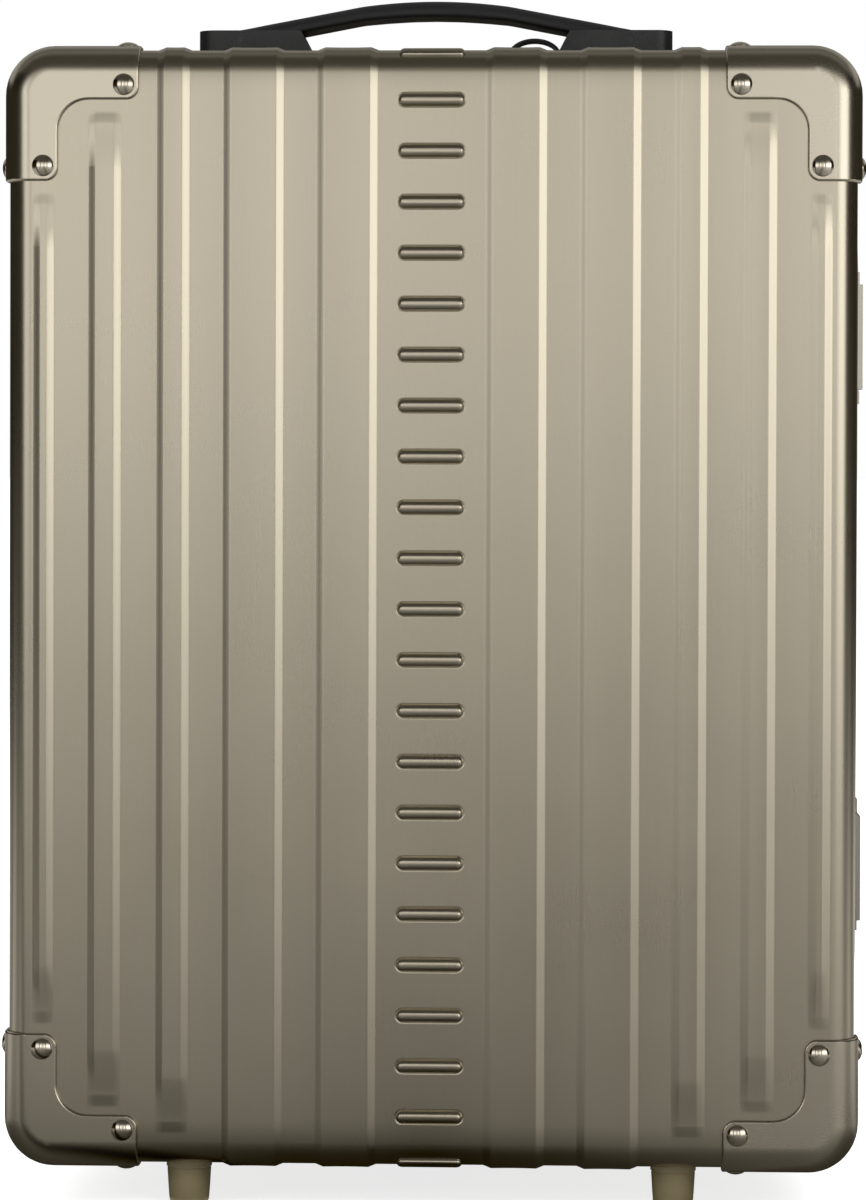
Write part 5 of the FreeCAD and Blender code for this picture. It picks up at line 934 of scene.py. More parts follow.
    def floor(self) -> None:
        """Lay a pale round floor that keeps the shadow."""
        graph = Graph("pale_floor")
        haze = graph.noise(graph.place(), 3)
        tint = graph.blend(haze, (0.78, 0.78, 0.78, 1), (0.82, 0.82, 0.82, 1))
        graph.set(Base_Color=tint, Roughness=0.9, Specular_IOR_Level=0.1)
        path = graph.node("LightPath").outputs
        seen = graph.larger(path["Is Camera Ray"], graph.larger(path["Is Glossy Ray"], path["Is Transmission Ray"]))
        lift = self.curve(graph, self.polar(graph)[1], [(0, 0.78), (0.4, 0.8), (1.5, 0.85), (6, 0.9)])
        graph.set(Emission_Color=(1, 1, 1, 1), Emission_Strength=graph.times(seen, lift))
        angle = np.linspace(0, math.tau, 97)
        reach = np.array([0, 0.6, 1.5, 4, 12, 40])[:, None]
        disc = np.stack(np.broadcast_arrays(reach * np.cos(angle), reach * np.sin(angle), 0), -1)
        skin = Skin("floor")
        skin.grid(disc / MM)
        floor = skin.build(outward=facing(0, 0, 1))
        floor.data.materials.append(graph.material)

    def build(self) -> None:
        """Set up everything round the case."""
        scene = bpy.context.scene
        scene.view_settings.view_transform = "Standard"
        self.camera()
        self.world()
        self.floor()
        self.lamp("key", (1.3, -1.9, 1.9), (0, 0, 0.25), (1.6, 1.2), 34)
        self.lamp("fill", (-1.6, -1.5, 1.2), (0, 0, 0.25), (1.2, 1.6), 14)
        self.lamp("top", (0, 0.1, 2.1), (0, 0, 0.3), (1.8, 1.4), 22)
        self.lamp("back", (-0.6, 2.2, 1.5), (0, 0, 0.25), (1.8, 1.4), 26)
        self.room()


# ---- shells
@dataclass(frozen=True)
class Rib:
    """One pressed rib; it stands from low to high and may wrap over the top or bottom edge."""

    centre: float
    width: float
    low: float = -FAR
    high: float = FAR
    over: float = 2.4
    steep: float = 0.36
    tail: float = 18.0

    def across(self, x: Array, slope: float, sag: float) -> Array:
        """Return the height share across the rib: crisp slopes and a top that sags, t² - 1."""
        off, top = np.abs(x - self.centre), self.width / 2 - slope
        return ramp((self.width / 2 - off) / slope) - sag * top * np.clip(1 - (off / top) ** 2, 0, None)

    def risen(self, depth: Array, fade: float) -> Array:
        """Return the height share past an end: a short steep ramp, then a long flat one."""
        return self.steep * ramp(depth / fade) + (1 - self.steep) * ramp((depth - fade) / self.tail)

    def along(self, z: Array, fade: float) -> Array:
        """Return the height share along the rib: the product of its two ends' shares."""
        return self.risen(z - self.low + self.over, fade) * self.risen(self.high + self.over - z, fade)

    def lines(self, slope: float, share: tuple = (-0.05, 0, 0.06, 0.12, 0.5, 0.88, 0.94, 1, 1.12)) -> Array:
        """Return grid lines that carry the rib's slopes, at shares of the slope."""
        off = np.append(self.width / 2 - slope * np.array(share), self.width / 2 * np.array([0, 0.3]))
        return np.append(self.centre - off, self.centre + off)


@dataclass
class Group:
    """A sub-assembly and the finishes that dress it."""

    kit: Kit


@dataclass
class Pan(Group):
    """What a pressed half and its lining share: a flat face with rounded edges and corners."""

    half: Half
    half_width: float = 170.7
    bottom: float = 18.8
    top: float = 468.2
    corner: float = 18.5
    edge: float = 10.0

    def __post_init__(self) -> None:
        """Work out the flat face's bounds."""
        self.word, self.front, self.sign = self.half.name.lower(), self.half is Half.FRONT, self.half.value
        self.flat = self.half_width - self.edge
        self.low, self.high = self.bottom + self.edge, self.top - self.edge
        self.middle = (self.bottom + self.top) / 2

    def rounded(self, x: Array, z: Array) -> tuple[Array, Array, Array]:
        """Pull the corner squares of the flat face onto quarter discs.

        A point at (a, b) in a corner square moves to (a, b) times max(a, b) / |(a, b)|.

        Args:
            x: Places across.
            z: Places up.

        Returns:
            The moved places, and the way out (…, 2) of a boundary point there.
        """
        inner = self.corner - self.edge
        half_height = (self.high - self.low) / 2
        a = np.abs(x) - (self.flat - inner)
        b = np.abs(z - self.middle) - (half_height - inner)
        both = (a > 0) & (b > 0)
        length = np.where(both, np.hypot(a, b), 1)
        share = np.where(both, np.maximum(a, b) / length, 1)
        moved_x = np.where(both, np.sign(x) * (self.flat - inner + a * share), x)
        moved_z = np.where(both, self.middle + np.sign(z - self.middle) * (half_height - inner + b * share), z)
        across = np.where(both, a / length, (a - inner > -1e-6) * 1) * np.sign(x)
        up = np.where(both, b / length, (b - inner > -1e-6) * 1) * np.sign(z - self.middle)
        return moved_x, moved_z, np.stack([across, up], -1)

    def boundary(self, across: Array, wide: Array) -> tuple[Array, Array]:
        """Run round the flat face's boundary.

        Args:
            across: Grid lines across.
            wide: Grid lines up that run right across.

        Returns:
            The closed boundary's places (n, 4), before and after rounding, and its outward
            directions (n, 2).
        """
        x = np.concatenate([across, np.full(len(wide) - 1, across[-1]), across[::-1][1:],
                            np.full(len(wide) - 1, across[0])])
        z = np.concatenate([np.full(len(across), wide[0]), wide[1:], np.full(len(across) - 1, wide[-1]),
                            wide[::-1][1:]])
        moved_x, moved_z, outward = self.rounded(x, z)
        return np.stack([x, z, moved_x, moved_z], -1), outward

    def set_out(self, places: Array, outward: Array, out: Array, deep: Array) -> Array:
        """Return points out from boundary places and deep from the parting plane, both (n, k)."""
        return np.stack([places[:, 2:3] + outward[:, 0:1] * out, self.sign * deep,
                         places[:, 3:4] + outward[:, 1:2] * out], -1)


@dataclass
class ShellHalf(Pan):
    """One pressed half of the case: flat ribbed face, rounded edges and ribbed side walls."""

    depth: float = 99.7
    start: float = 2.9
    wall: float = 1.2
    slope: float = 3.5
    rib_height: float = 1.25
    rib_fade: float = 5.0
    rib_rows: tuple = (-2.9, -2.4, -1.6, 1.8, 2.6, 3.4, 11, 19.8, 21.4)
    wrap_end: float = 21.0
    wrap_fade: float = 13.0
    sag: float = 0.011
    swell: float = 0.08
    swell_fade: float = 14.0
    fall: float = 0.22
    side_height: float = 0.7
    side_places: tuple = (38, 60, 82)
    side_width: float = 9.0
    side_reach: tuple = (80, 407)
    side_fade: float = 11.0
    bead_half: float = 13.25
    bead_radius: float = 2.45
    bead_height: float = 1.75
    bead_pitch: float = 20.4
    bead_count: int = 21
    bead_groove: tuple = (0.2, 1.1, 0.12)
    bead_reach: float = 17.0
    tray_half: float = 83.0
    tray_reach: tuple = (53, 88.8)
    well_side: float = 113.0
    well_top: float = 73.0
    well_reach: float = 41.5

    def __post_init__(self) -> None:
        """Set out the ribs symmetrically and find the flats between them."""
        super().__post_init__()
        low_b = 45.0 if self.front else 84.0
        low_a = 78.5 if self.front else 92.0
        sets = [(155.8, 9, low_a, 408), (131.2, 13.8, low_b, 440.5), (103.7, 13.8, 34.5, FAR),
                (71.5, 24.9, -FAR, FAR), (33.9, 24.9, -FAR, FAR)]
        self.ribs = [Rib(side * x, width, low, high) for x, width, low, high in sets for side in (-1, 1)]
        edges = sorted((rib.centre - rib.width / 2, rib.centre + rib.width / 2) for rib in self.ribs)
        self.flats = [(left, right) for (_, left), (right, _) in zip(edges[:-1], edges[1:])]

    def ribs_at(self, x: Array, z: Array) -> Array:
        """Return the face's rib height: each rib's profile across times its profile along."""
        return self.rib_height * sum(rib.across(x, self.slope, self.sag) * rib.along(z, self.rib_fade)
                                     for rib in self.ribs)

    def bands_at(self, x: Array, z: Array) -> Array:
        """Work out the slight swell, 1 - t², of the flats between ribs, which fades near the edges.

        Args:
            x: Places across.
            z: Places up.

        Returns:
            The height of the swell.
        """
        swell = sum(np.clip(1 - ((2 * x - left - right) / (right - left)) ** 2, 0, None)
                    for left, right in self.flats)
        fade = step((z - self.low) / self.swell_fade) * step((self.high - z) / self.swell_fade)
        return self.swell * swell * fade

    def beads_at(self, x: Array, z: Array) -> Array:
        """Work out the bead column: half rounds about short level spines, each in a thin groove.

        The groove is a negative bump; bead_groove gives its depth, and its middle and half
        width as shares of the bead's radius.

        Args:
            x: Places across.
            z: Places up.

        Returns:
            The height of the beads.
        """
        turn = (z - self.middle) / self.bead_pitch
        reach = (self.bead_count - 1) // 2
        nearest = self.middle + np.clip(np.round(turn), -reach, reach) * self.bead_pitch
        off = np.clip(np.abs(x) - (self.bead_half - self.bead_radius), 0, None)
        share = np.hypot(off, z - nearest) / self.bead_radius
        depth, middle, half = self.bead_groove
        return self.dome(share) - depth * bump((share - middle) / half)

    def dome(self, share: Array) -> Array:
        """Return a bead's height, (1 - s^2.8)^0.5 of its crown, at a share s of its radius."""
        return self.bead_height * np.sqrt(np.clip(1 - share ** 2.8, 0, None))

    def fall_at(self, z: Array) -> Array:
        """Return how far the face falls away towards its top and bottom edges: a parabola."""
        return -self.fall * (np.clip(np.abs(z - self.middle) - (self.high - self.low) / 2 + 8, 0, None) / 8) ** 2

    def relief(self, x: Array, z: Array) -> Array:
        """Return the height of the face's relief."""
        height = self.ribs_at(x, z) + self.bands_at(x, z) + self.fall_at(z)
        return height + self.beads_at(x, z) if self.front else height

    def face(self, x: Array, z: Array) -> Array:
        """Return the outer face's points: depth plus relief, with rounded corners."""
        moved_x, moved_z, _ = self.rounded(*np.broadcast_arrays(x, z))
        return np.stack(np.broadcast_arrays(moved_x, self.sign * (self.depth + self.relief(x, z)), moved_z), -1)

    def lines_across(self) -> Array:
        """Gather the face's grid lines across the ribs.

        Returns:
            Their places, rising.
        """
        corner = self.flat - (self.corner - self.edge) * np.array([0, 0.3, 0.62, 1])
        ends = [0, self.tray_half, self.well_side]
        beads = [3.8, 8, 10.65, 11.4, 12, 12.4, 12.75, 13, 13.25, 13.5, 13.75, 14.1, 14.6, 15.2, 16.2, 18.2]
        centre = beads if self.front else [6, 12, 18.2]
        plain = np.concatenate([corner, ends, centre])
        return spread(plain, -plain, *[rib.lines(self.slope) for rib in self.ribs])

    def lines_up(self) -> tuple[Array, Array]:
        """Gather the face's fine grid lines up the ribs.

        Returns:
            Their places, rising, and which of them run right across the face.
        """
        ends = [self.low, self.low + 2.6, self.low + 5.4, self.low + 8.5, self.low + 12]
        ends += [self.high - (end - self.low) for end in ends]
        stops = [stop + way * row for rib in self.ribs for stop, way in ((rib.low, 1), (rib.high, -1))
                 if abs(stop) < FAR for row in self.rib_rows]
        if not self.front:
            lines = spread(ends, stops, [self.well_top], np.arange(60, 430, 12), gap=0.25)
            return lines, np.ones(len(lines), bool)
        offsets = np.array([0, 0.65, 1.2, 1.65, 1.98, 2.2, 2.36, 2.5, 2.66, 2.84, 3.05, 3.4, 4.6, 6.2, 8.2])
        reach = (self.bead_count - 1) // 2
        places = self.middle + self.bead_pitch * np.arange(-reach, reach + 1)
        between = places[:-1] + self.bead_pitch / 2
        fine = np.append(places[:, None] + np.append(-offsets, offsets), between)
        wide = np.append(places[:, None] + np.array([-6.2, -2.35, 2.35, 6.2]), between)
        fine = fine[(fine > self.low + 2) & (fine < self.high - 2)]
        lines = spread(fine, ends, stops, gap=0.14)
        marks = np.concatenate([ends, wide, stops])
        return lines, np.abs(lines[:, None] - marks).min(1) < 0.06

    def add_face(self, skin: Skin, across: Array, up: Array, coarse: Array) -> None:
        """Add the face; where the bead column needs finer lines, it is zipped to the wider grid.

        Args:
            skin: The skin to add to.
            across: Grid lines across.
            up: Fine grid lines up.
            coarse: Which of them run right across.
        """
        wide = up[coarse]
        if coarse.all():
            middle_x, middle_z = (across[:-1] + across[1:]) / 2, (wide[:-1] + wide[1:]) / 2
            keep = (np.abs(middle_x)[:, None] < self.well_side) | (middle_z[None, :] > self.well_top)
            skin.grid(self.face(across[:, None], wide[None, :]), keep=keep)
            return
        outer_left, outer_right = across[across < -self.bead_reach], across[across > self.bead_reach]
        centre = across[np.abs(across) <= self.bead_reach]
        for lines, rows in ((outer_left, wide), (outer_right, wide), (centre, up)):
            skin.grid(self.face(lines[:, None], rows[None, :]))
        index = np.flatnonzero(coarse)
        for outer, inner in ((outer_left[-1], centre[0]), (outer_right[0], centre[-1])):
            for first, last in zip(index[:-1], index[1:]):
                run = up[first:last + 1]
                skin.cap(np.concatenate([self.face(np.full(len(run), inner), run),
                                         self.face(np.full(2, outer), up[[last, first]])]))

    def wall_height(self, places: Array, outward: Array, y: Array, turn: Array) -> Array:
        """Return the relief of the rounded edge and walls.

        Ribs that wrap over the top or bottom edge run on along the wall and fade before the
        frame; the side walls have upright ribs of their own.

        Args:
            places: Boundary places (n, 4).
            outward: Boundary directions (n, 2).
            y: Distances from the parting plane (k).
            turn: How far each row has turned from the face, 0 to 1 (k).

        Returns:
            Heights (n, k).
        """
        x, z = places[:, 0:1], places[:, 1:2]
        level = (np.abs(outward[:, 1:2]) > 0.999) * 1.0
        upright = (np.abs(outward[:, 0:1]) > 0.999) * 1.0
        wraps = self.ribs_at(x, z) * step((y - self.wrap_end) / self.wrap_fade)
        sides = sum(Rib(place, self.side_width).across(y, self.slope, self.sag) for place in self.side_places)
        run = Rib(0, 1, *self.side_reach).along(z, self.side_fade)
        pressed = level * wraps + upright * run * sides * self.side_height * (turn > 0.99)
        return pressed + self.fall_at(z) * step(1.0 - turn)

    def band(self, places: Array, outward: Array, radius: float, rows: Array, relief: bool,
             steps: int) -> tuple[Array, Array]:
        """Carry the boundary round the edge and down the walls.

        A row turned by angle t from the face lies radius·sin t outward and radius·cos t deep.

        Args:
            places: Boundary places (n, 4).
            outward: Boundary directions (n, 2).
            radius: Radius of the edge.
            rows: Wall rows: distances from the parting plane, falling.
            relief: Whether ribs stand on it.
            steps: Rows round the edge.

        Returns:
            Points (n, k, 3) and each row's distance from the parting plane (k).
        """
        angle = np.linspace(0, math.pi / 2, steps + 1)
        root = self.depth - self.edge
        turn = np.append(angle, np.full(len(rows), math.pi / 2))
        y = np.append(root + radius * np.cos(angle), rows)
        height = self.wall_height(places, outward, y[None, :], turn[None, :] / (math.pi / 2)) if relief else 0.0
        height = height + np.zeros((len(places), len(y)))
        out = (radius + height) * np.sin(turn)[None, :]
        deep = y[None, :] + height * np.cos(turn)[None, :]
        return self.set_out(places, outward, out, deep), y

    def add_pill(self, skin: Skin, centre: Array, along: Array, out: Array) -> None:
        """Add one bead as a closed dome on an edge or wall.

        Args:
            skin: The skin to add to.
            centre: Its centre on the surface.
            along: Direction across its spine, on the surface.
            out: Direction away from the surface.
        """
        angle = np.linspace(0, math.tau, 41)
        share = np.array([1, 0.97, 0.88, 0.72, 0.5, 0.25])
        spine = np.sign(np.cos(angle)) * (self.bead_half - self.bead_radius)
        spine = np.where(np.abs(np.cos(angle)) < 1e-6, 0, spine)
        x = spine + share[:, None] * self.bead_radius * np.cos(angle)
        side = share[:, None] * self.bead_radius * np.sin(angle)
        height = self.dome(share)[:, None] + 0 * side
        flat = centre + x[..., None] * [1, 0, 0] + side[..., None] * along
        points = flat + height[..., None] * out
        base = flat[0] - 0.5 * out
        skin.grid(np.concatenate([base[None], points]))
        skin.cap(points[-1, :-1])
        skin.cap(base[:-1])

    def build(self) -> None:
        """Build and dress the half shell."""
        skin = Skin("shell_face_half" if self.front else "shell_rear_half")
        across = self.lines_across()
        up, coarse = self.lines_up()
        self.add_face(skin, across, up, coarse)
        places, outward = self.boundary(across, up[coarse])
        side_lines = [Rib(place, self.side_width).lines(self.slope, (0, 0.12, 0.5, 0.88, 1))
                      for place in self.side_places]
        rows = spread([self.depth - self.edge, self.start, 8, 16.5, 21, 24, 27.5, 31, 34], *side_lines,
                      [self.well_reach, *self.tray_reach], gap=0.45)[::-1][1:]
        points, y = self.band(places, outward, self.edge, rows, True, 8)
        if self.front:
            skin.grid(points)
            inner, _ = self.band(places, outward, self.edge - self.wall, np.array([self.start]), False, 4)
            skin.grid(inner)
            skin.grid(np.stack([points[:, -1], inner[:, -1]], 1))
            skin.cap(inner[:-1, 0])
            for number in (1, 2, 3):
                self.add_wrapped_beads(skin, number * self.bead_pitch)
            place(skin.build(sharp=50), self.kit.shell, f"{self.word}_shell")
            return
        mid = (places[:-1] + places[1:]) / 2
        deep = (y[:-1] + y[1:]) / 2
        well = (np.abs(mid[:, 0:1]) > self.well_side) & (mid[:, 1:2] < self.well_top) & (deep > self.well_reach)
        tray = (mid[:, 1:2] > self.high - 0.01) & (np.abs(mid[:, 0:1]) < self.tray_half)
        tray = tray & (deep > self.tray_reach[0]) & (deep < self.tray_reach[1])
        skin.grid(points, keep=~(well | tray))
        centre = np.array([0, 0.03, self.middle * MM])
        shell = skin.build(sharp=50, outward=lambda centres: centres - centre)
        sheet = shell.modifiers.new("sheet", "SOLIDIFY")
        sheet.thickness, sheet.offset = self.wall * MM, -1.0
        place(shell, self.kit.shell, f"{self.word}_shell")

    def add_wrapped_beads(self, skin: Skin, distance: float) -> None:
        """Add the beads that continue the column over the top and bottom edges.

        Args:
            skin: The skin to add to.
            distance: Distance along the surface from the column's last bead.
        """
        last = (self.bead_count - 1) // 2 * self.bead_pitch
        flat = (self.high - self.low) / 2 - last
        for side in (-1, 1):
            arc = (distance - flat) / self.edge
            turn = min(arc, math.pi / 2)
            past = max(0, (arc - math.pi / 2) * self.edge)
            root = self.depth - self.edge
            centre = np.array([0, self.sign * (root + self.edge * math.cos(turn) - past),
                               self.middle + side * ((self.high - self.low) / 2 + self.edge * math.sin(turn))])
            out = np.array([0, self.sign * math.cos(turn), side * math.sin(turn)])
            along = np.array([0, -self.sign * math.sin(turn), side * math.cos(turn)])
            self.add_pill(skin, centre, along, out)


# ---- frames and seal
@dataclass
class Ring:
    """A section carried round the case's rounded outline."""

    half_width: float = 170.7
    bottom: float = 18.8
    top: float = 468.2
    corner: float = 18.5
    turns: int = 14

    def path(self) -> tuple[Array, Array]:
        """Run round the outline, a quarter circle at each corner, and back to the start.

        Returns:
            The corners' centres and the outward directions, both (n, 2).
        """
        angle = np.linspace(0, math.pi / 2, self.turns + 1)
        quarter = np.concatenate([angle + k * math.pi / 2 for k in range(4)] + [[math.tau]])
        directions = np.stack([np.cos(quarter), np.sin(quarter)], -1)
        signs = np.repeat([[1, 1], [-1, 1], [-1, -1], [1, -1]], self.turns + 1, 0)
        signs = np.concatenate([signs, [[1, 1]]])
        reach = np.array([self.half_width - self.corner, (self.top - self.bottom) / 2 - self.corner])
        return signs * reach + [0, (self.top + self.bottom) / 2], directions

    def add(self, skin: Skin, section: Array) -> None:
        """Add the section swept round the outline.

        Args:
            skin: The skin to add to.
            section: Points (k, 2) of how far outside the outline, and y.
        """
        centres, directions = self.path()
        section = closed(section)
        out = centres[:, None] + directions[:, None] * (self.corner + section[None, :, 0:1])
        points = np.stack([out[..., 0], np.broadcast_to(section[:, 1], out.shape[:2]), out[..., 1]], -1)
        skin.grid(points, cloth_uv(reach_along(out[:, 0]), reach_along(section)))


@dataclass
class Frames(Group):
    """The two extruded frames at the parting and the rubber seal in the front one."""

    proud: float = 2.0
    web_start: float = 0.4
    seat: float = 2.9
    flange: float = 16.0
    lip: float = 10.0
    lip_inset: float = 4.8
    wall: float = 1.25
    groove: tuple = (-3.6, -1.9)
    groove_end: float = 2.3
    flute: float = 0.45

    def section(self, half: Half) -> Array:
        """Draw a frame's section: web, outer flange with a fine flute, inner lip.

        Args:
            half: The half that it belongs to; the front one has the seal's groove.

        Returns:
            Its outline's points (k, 2).
        """
        outline = [(self.proud - 0.7, self.web_start), (self.proud, self.web_start + 0.9), (self.proud, 4.6),
                   (self.proud - self.flute, 5.1), (self.proud - self.flute, 5.9), (self.proud, 6.4)]
        outline += [(self.proud, self.flange - 0.9), (self.proud - 0.9, self.flange), (0.02, self.flange)]
        outline += [(0.02, self.seat), (-self.wall, self.seat), (-self.wall, self.lip),
                    (-self.lip_inset, self.lip), (-self.lip_inset, self.web_start)]
        if half is Half.FRONT:
            low, high = self.groove
            outline += [(low, self.web_start), (low, self.groove_end), (high, self.groove_end),
                        (high, self.web_start)]
        section = eased(outline, 0.35)
        section[:, 1] *= half.value
        return section

    def build(self) -> None:
        """Build both frames and the seal."""
        for half in Half:
            word = half.name.lower()
            skin = Skin(f"frame_{word}_ring")
            Ring().add(skin, self.section(half))
            place(skin.build(sharp=35), self.kit.frame, f"{word}_frame")
        skin = Skin("frame_rubber_seal")
        low, high = self.groove
        mid = (low + high) / 2
        lobe = [(low + 0.1, -2.2), (high - 0.1, -2.2), (high - 0.1, -0.9), (mid + 0.45, -0.35), (mid, 0.05),
                (mid - 0.45, -0.35), (low + 0.1, -0.9)]
        Ring().add(skin, eased(lobe, 0.25))
        place(skin.build(sharp=60), self.kit.seal, "frame_seal")


# ---- fasteners
def islands(node: str) -> list[Array]:
    """Part a CAD node into its separate bodies: the lowest label spreads along the edges.

    Args:
        node: CAD node name.

    Returns:
        Each body's points in millimetres.
    """
    work = bmesh.new()
    work.from_mesh(frame["nodes"][node].data)
    bmesh.ops.remove_doubles(work, verts=work.verts, dist=2e-6)
    work.verts.index_update()
    points = np.array([vert.co for vert in work.verts]) / MM
    label = np.arange(len(points))
    pairs = np.array([(edge.verts[0].index, edge.verts[1].index) for edge in work.edges])
    work.free()
    while True:
        lowest = np.minimum(label[pairs[:, 0]], label[pairs[:, 1]])
        merged = label.copy()
        np.minimum.at(merged, pairs[:, 0], lowest)
        np.minimum.at(merged, pairs[:, 1], lowest)
        merged = merged[merged]
        if (merged == label).all():
            break
        label = merged
    return [points[label == mark] for mark in np.unique(label)]


@dataclass
class Fastener:
    """A turned rivet or screw, with its head's height as a function of radius and angle."""

    head_radius: float
    head_height: float
    shank_radius: float
    recess: bool = False
    flat: float = 0.0
    turns: int = 40

    def head(self, r: Array, angle: Array) -> Array:
        """Work out the head's height: a dome (1 - r²)^0.75 on a short rim, less a cross recess.

        Args:
            r: Distances from the middle.
            angle: Angles round it.

        Returns:
            The heights.
        """
        share = np.clip(r / self.head_radius, 0, 1)
        rim = 0.16 * self.head_height
        fall = np.clip((share - self.flat) / (1 - self.flat), 0, 1)
        dome = rim + (self.head_height - rim) * (1 - fall ** 2) ** 0.75
        if not self.recess:
            return dome
        u, v = np.abs(r * np.cos(angle)), np.abs(r * np.sin(angle))
        long, slim = self.head_radius * 0.56, self.head_radius * 0.13
        arm_u = step((long - u) / 0.35 + 0.5) * step((slim - v) / 0.22 + 0.5)
        arm_v = step((long - v) / 0.35 + 0.5) * step((slim - u) / 0.22 + 0.5)
        return dome - 1.1 * np.maximum(arm_u, arm_v)

    def points(self, seat: Array, out: Array, shank: float, spin: float) -> tuple[Array, Array]:
        """Return the fastener's surface as a polar grid.

        Args:
            seat: Where the head's underside meets the work.
            out: Direction the head faces.
            shank: Length of the shank.
            spin: Turn of the recess, radians.

        Returns:
            Points (k, n, 3) from the middle of the head to the end of the shank, and their UV
            places (k, n, 2), whose first direction is up across the head.
        """
        angle = np.linspace(0, math.tau, self.turns + 1)
        share = np.linspace(0, 1, 15 if self.recess else 9)
        radius = self.head_radius * np.sin(share * math.pi / 2) if not self.recess else self.head_radius * share
        height = self.head(radius[:, None], angle[None, :]) + 0 * angle
        tail_r = np.array([self.head_radius, self.head_radius * 0.97, self.shank_radius, self.shank_radius, 0])
        tail_h = np.array([0.08 * self.head_height, 0, 0, -shank, -shank])
        r = np.concatenate([radius, tail_r])[:, None] + 0 * angle
        h = np.concatenate([height, tail_h[:, None] + 0 * angle])
        side = np.cross(out, [0, 0, 1] if abs(out[2]) < 0.9 else [1, 0, 0])
        side = side / np.linalg.norm(side)
        other = np.cross(out, side)
        around = np.cos(angle + spin)[:, None] * side + np.sin(angle + spin)[:, None] * other
        uv = np.stack([r * np.sin(angle + spin), r * np.cos(angle + spin)], -1) * MM
        return seat + r[..., None] * around[None] + h[..., None] * out, uv

    def build(self, node: str, name: str, material: Material) -> None:
        """Build every fastener of a CAD node in its packed place.

        The odd one out of a body's three extents is its axis, and the head is at the end where
        the points lie furthest from that axis.

        Args:
            node: CAD node name.
            name: Name of the new piece.
            material: Its finish.
        """
        skin = Skin(name)
        for number, points in enumerate(islands(node)):
            low, high = points.min(0), points.max(0)
            size, centre = high - low, (low + high) / 2
            axis = int(np.argmax([abs(size[(k + 1) % 3] - size[(k + 2) % 3]) < 0.12 for k in range(3)]))
            if len({round(float(s), 1) for s in size}) == 1:
                axis = 1
            off = np.delete(points - centre, axis, 1)
            wide = np.linalg.norm(off, axis=1) > 0.97 * self.head_radius
            out = np.zeros(3)
            out[axis] = 1.0 if points[wide, axis].mean() > centre[axis] else -1.0
            shank = size[axis] - self.head_height
            tip = high[axis] if out[axis] > 0 else low[axis]
            seat = centre.copy()
            seat[axis] = tip - out[axis] * self.head_height
            skin.grid(*self.points(seat, out, shank, 0.7 * number))
        place(skin.build(sharp=45), material, node)


def build_fasteners(kit: Kit) -> None:
    """Build rivets and screws over the whole case.

    Args:
        kit: The finishes.
    """
    for head, word, material in ((Fastener(4.35, 2, 1.5, turns=48), "guard_rivets", kit.rivet),
                                 (Fastener(2.5, 0.9, 1.5, turns=28), "frame_rivets", kit.rivet),
                                 (Fastener(3.5, 2, 1.5, True, 0.3, 48), "screws", kit.screw)):
        for half in ("front", "rear"):
            head.build(f"{half}_{word}", f"{word}_{half}", material)
    Fastener(5.4, 2.2, 1.5, turns=48).build("tag_loop_rivet", "loop_rivet", kit.dial)


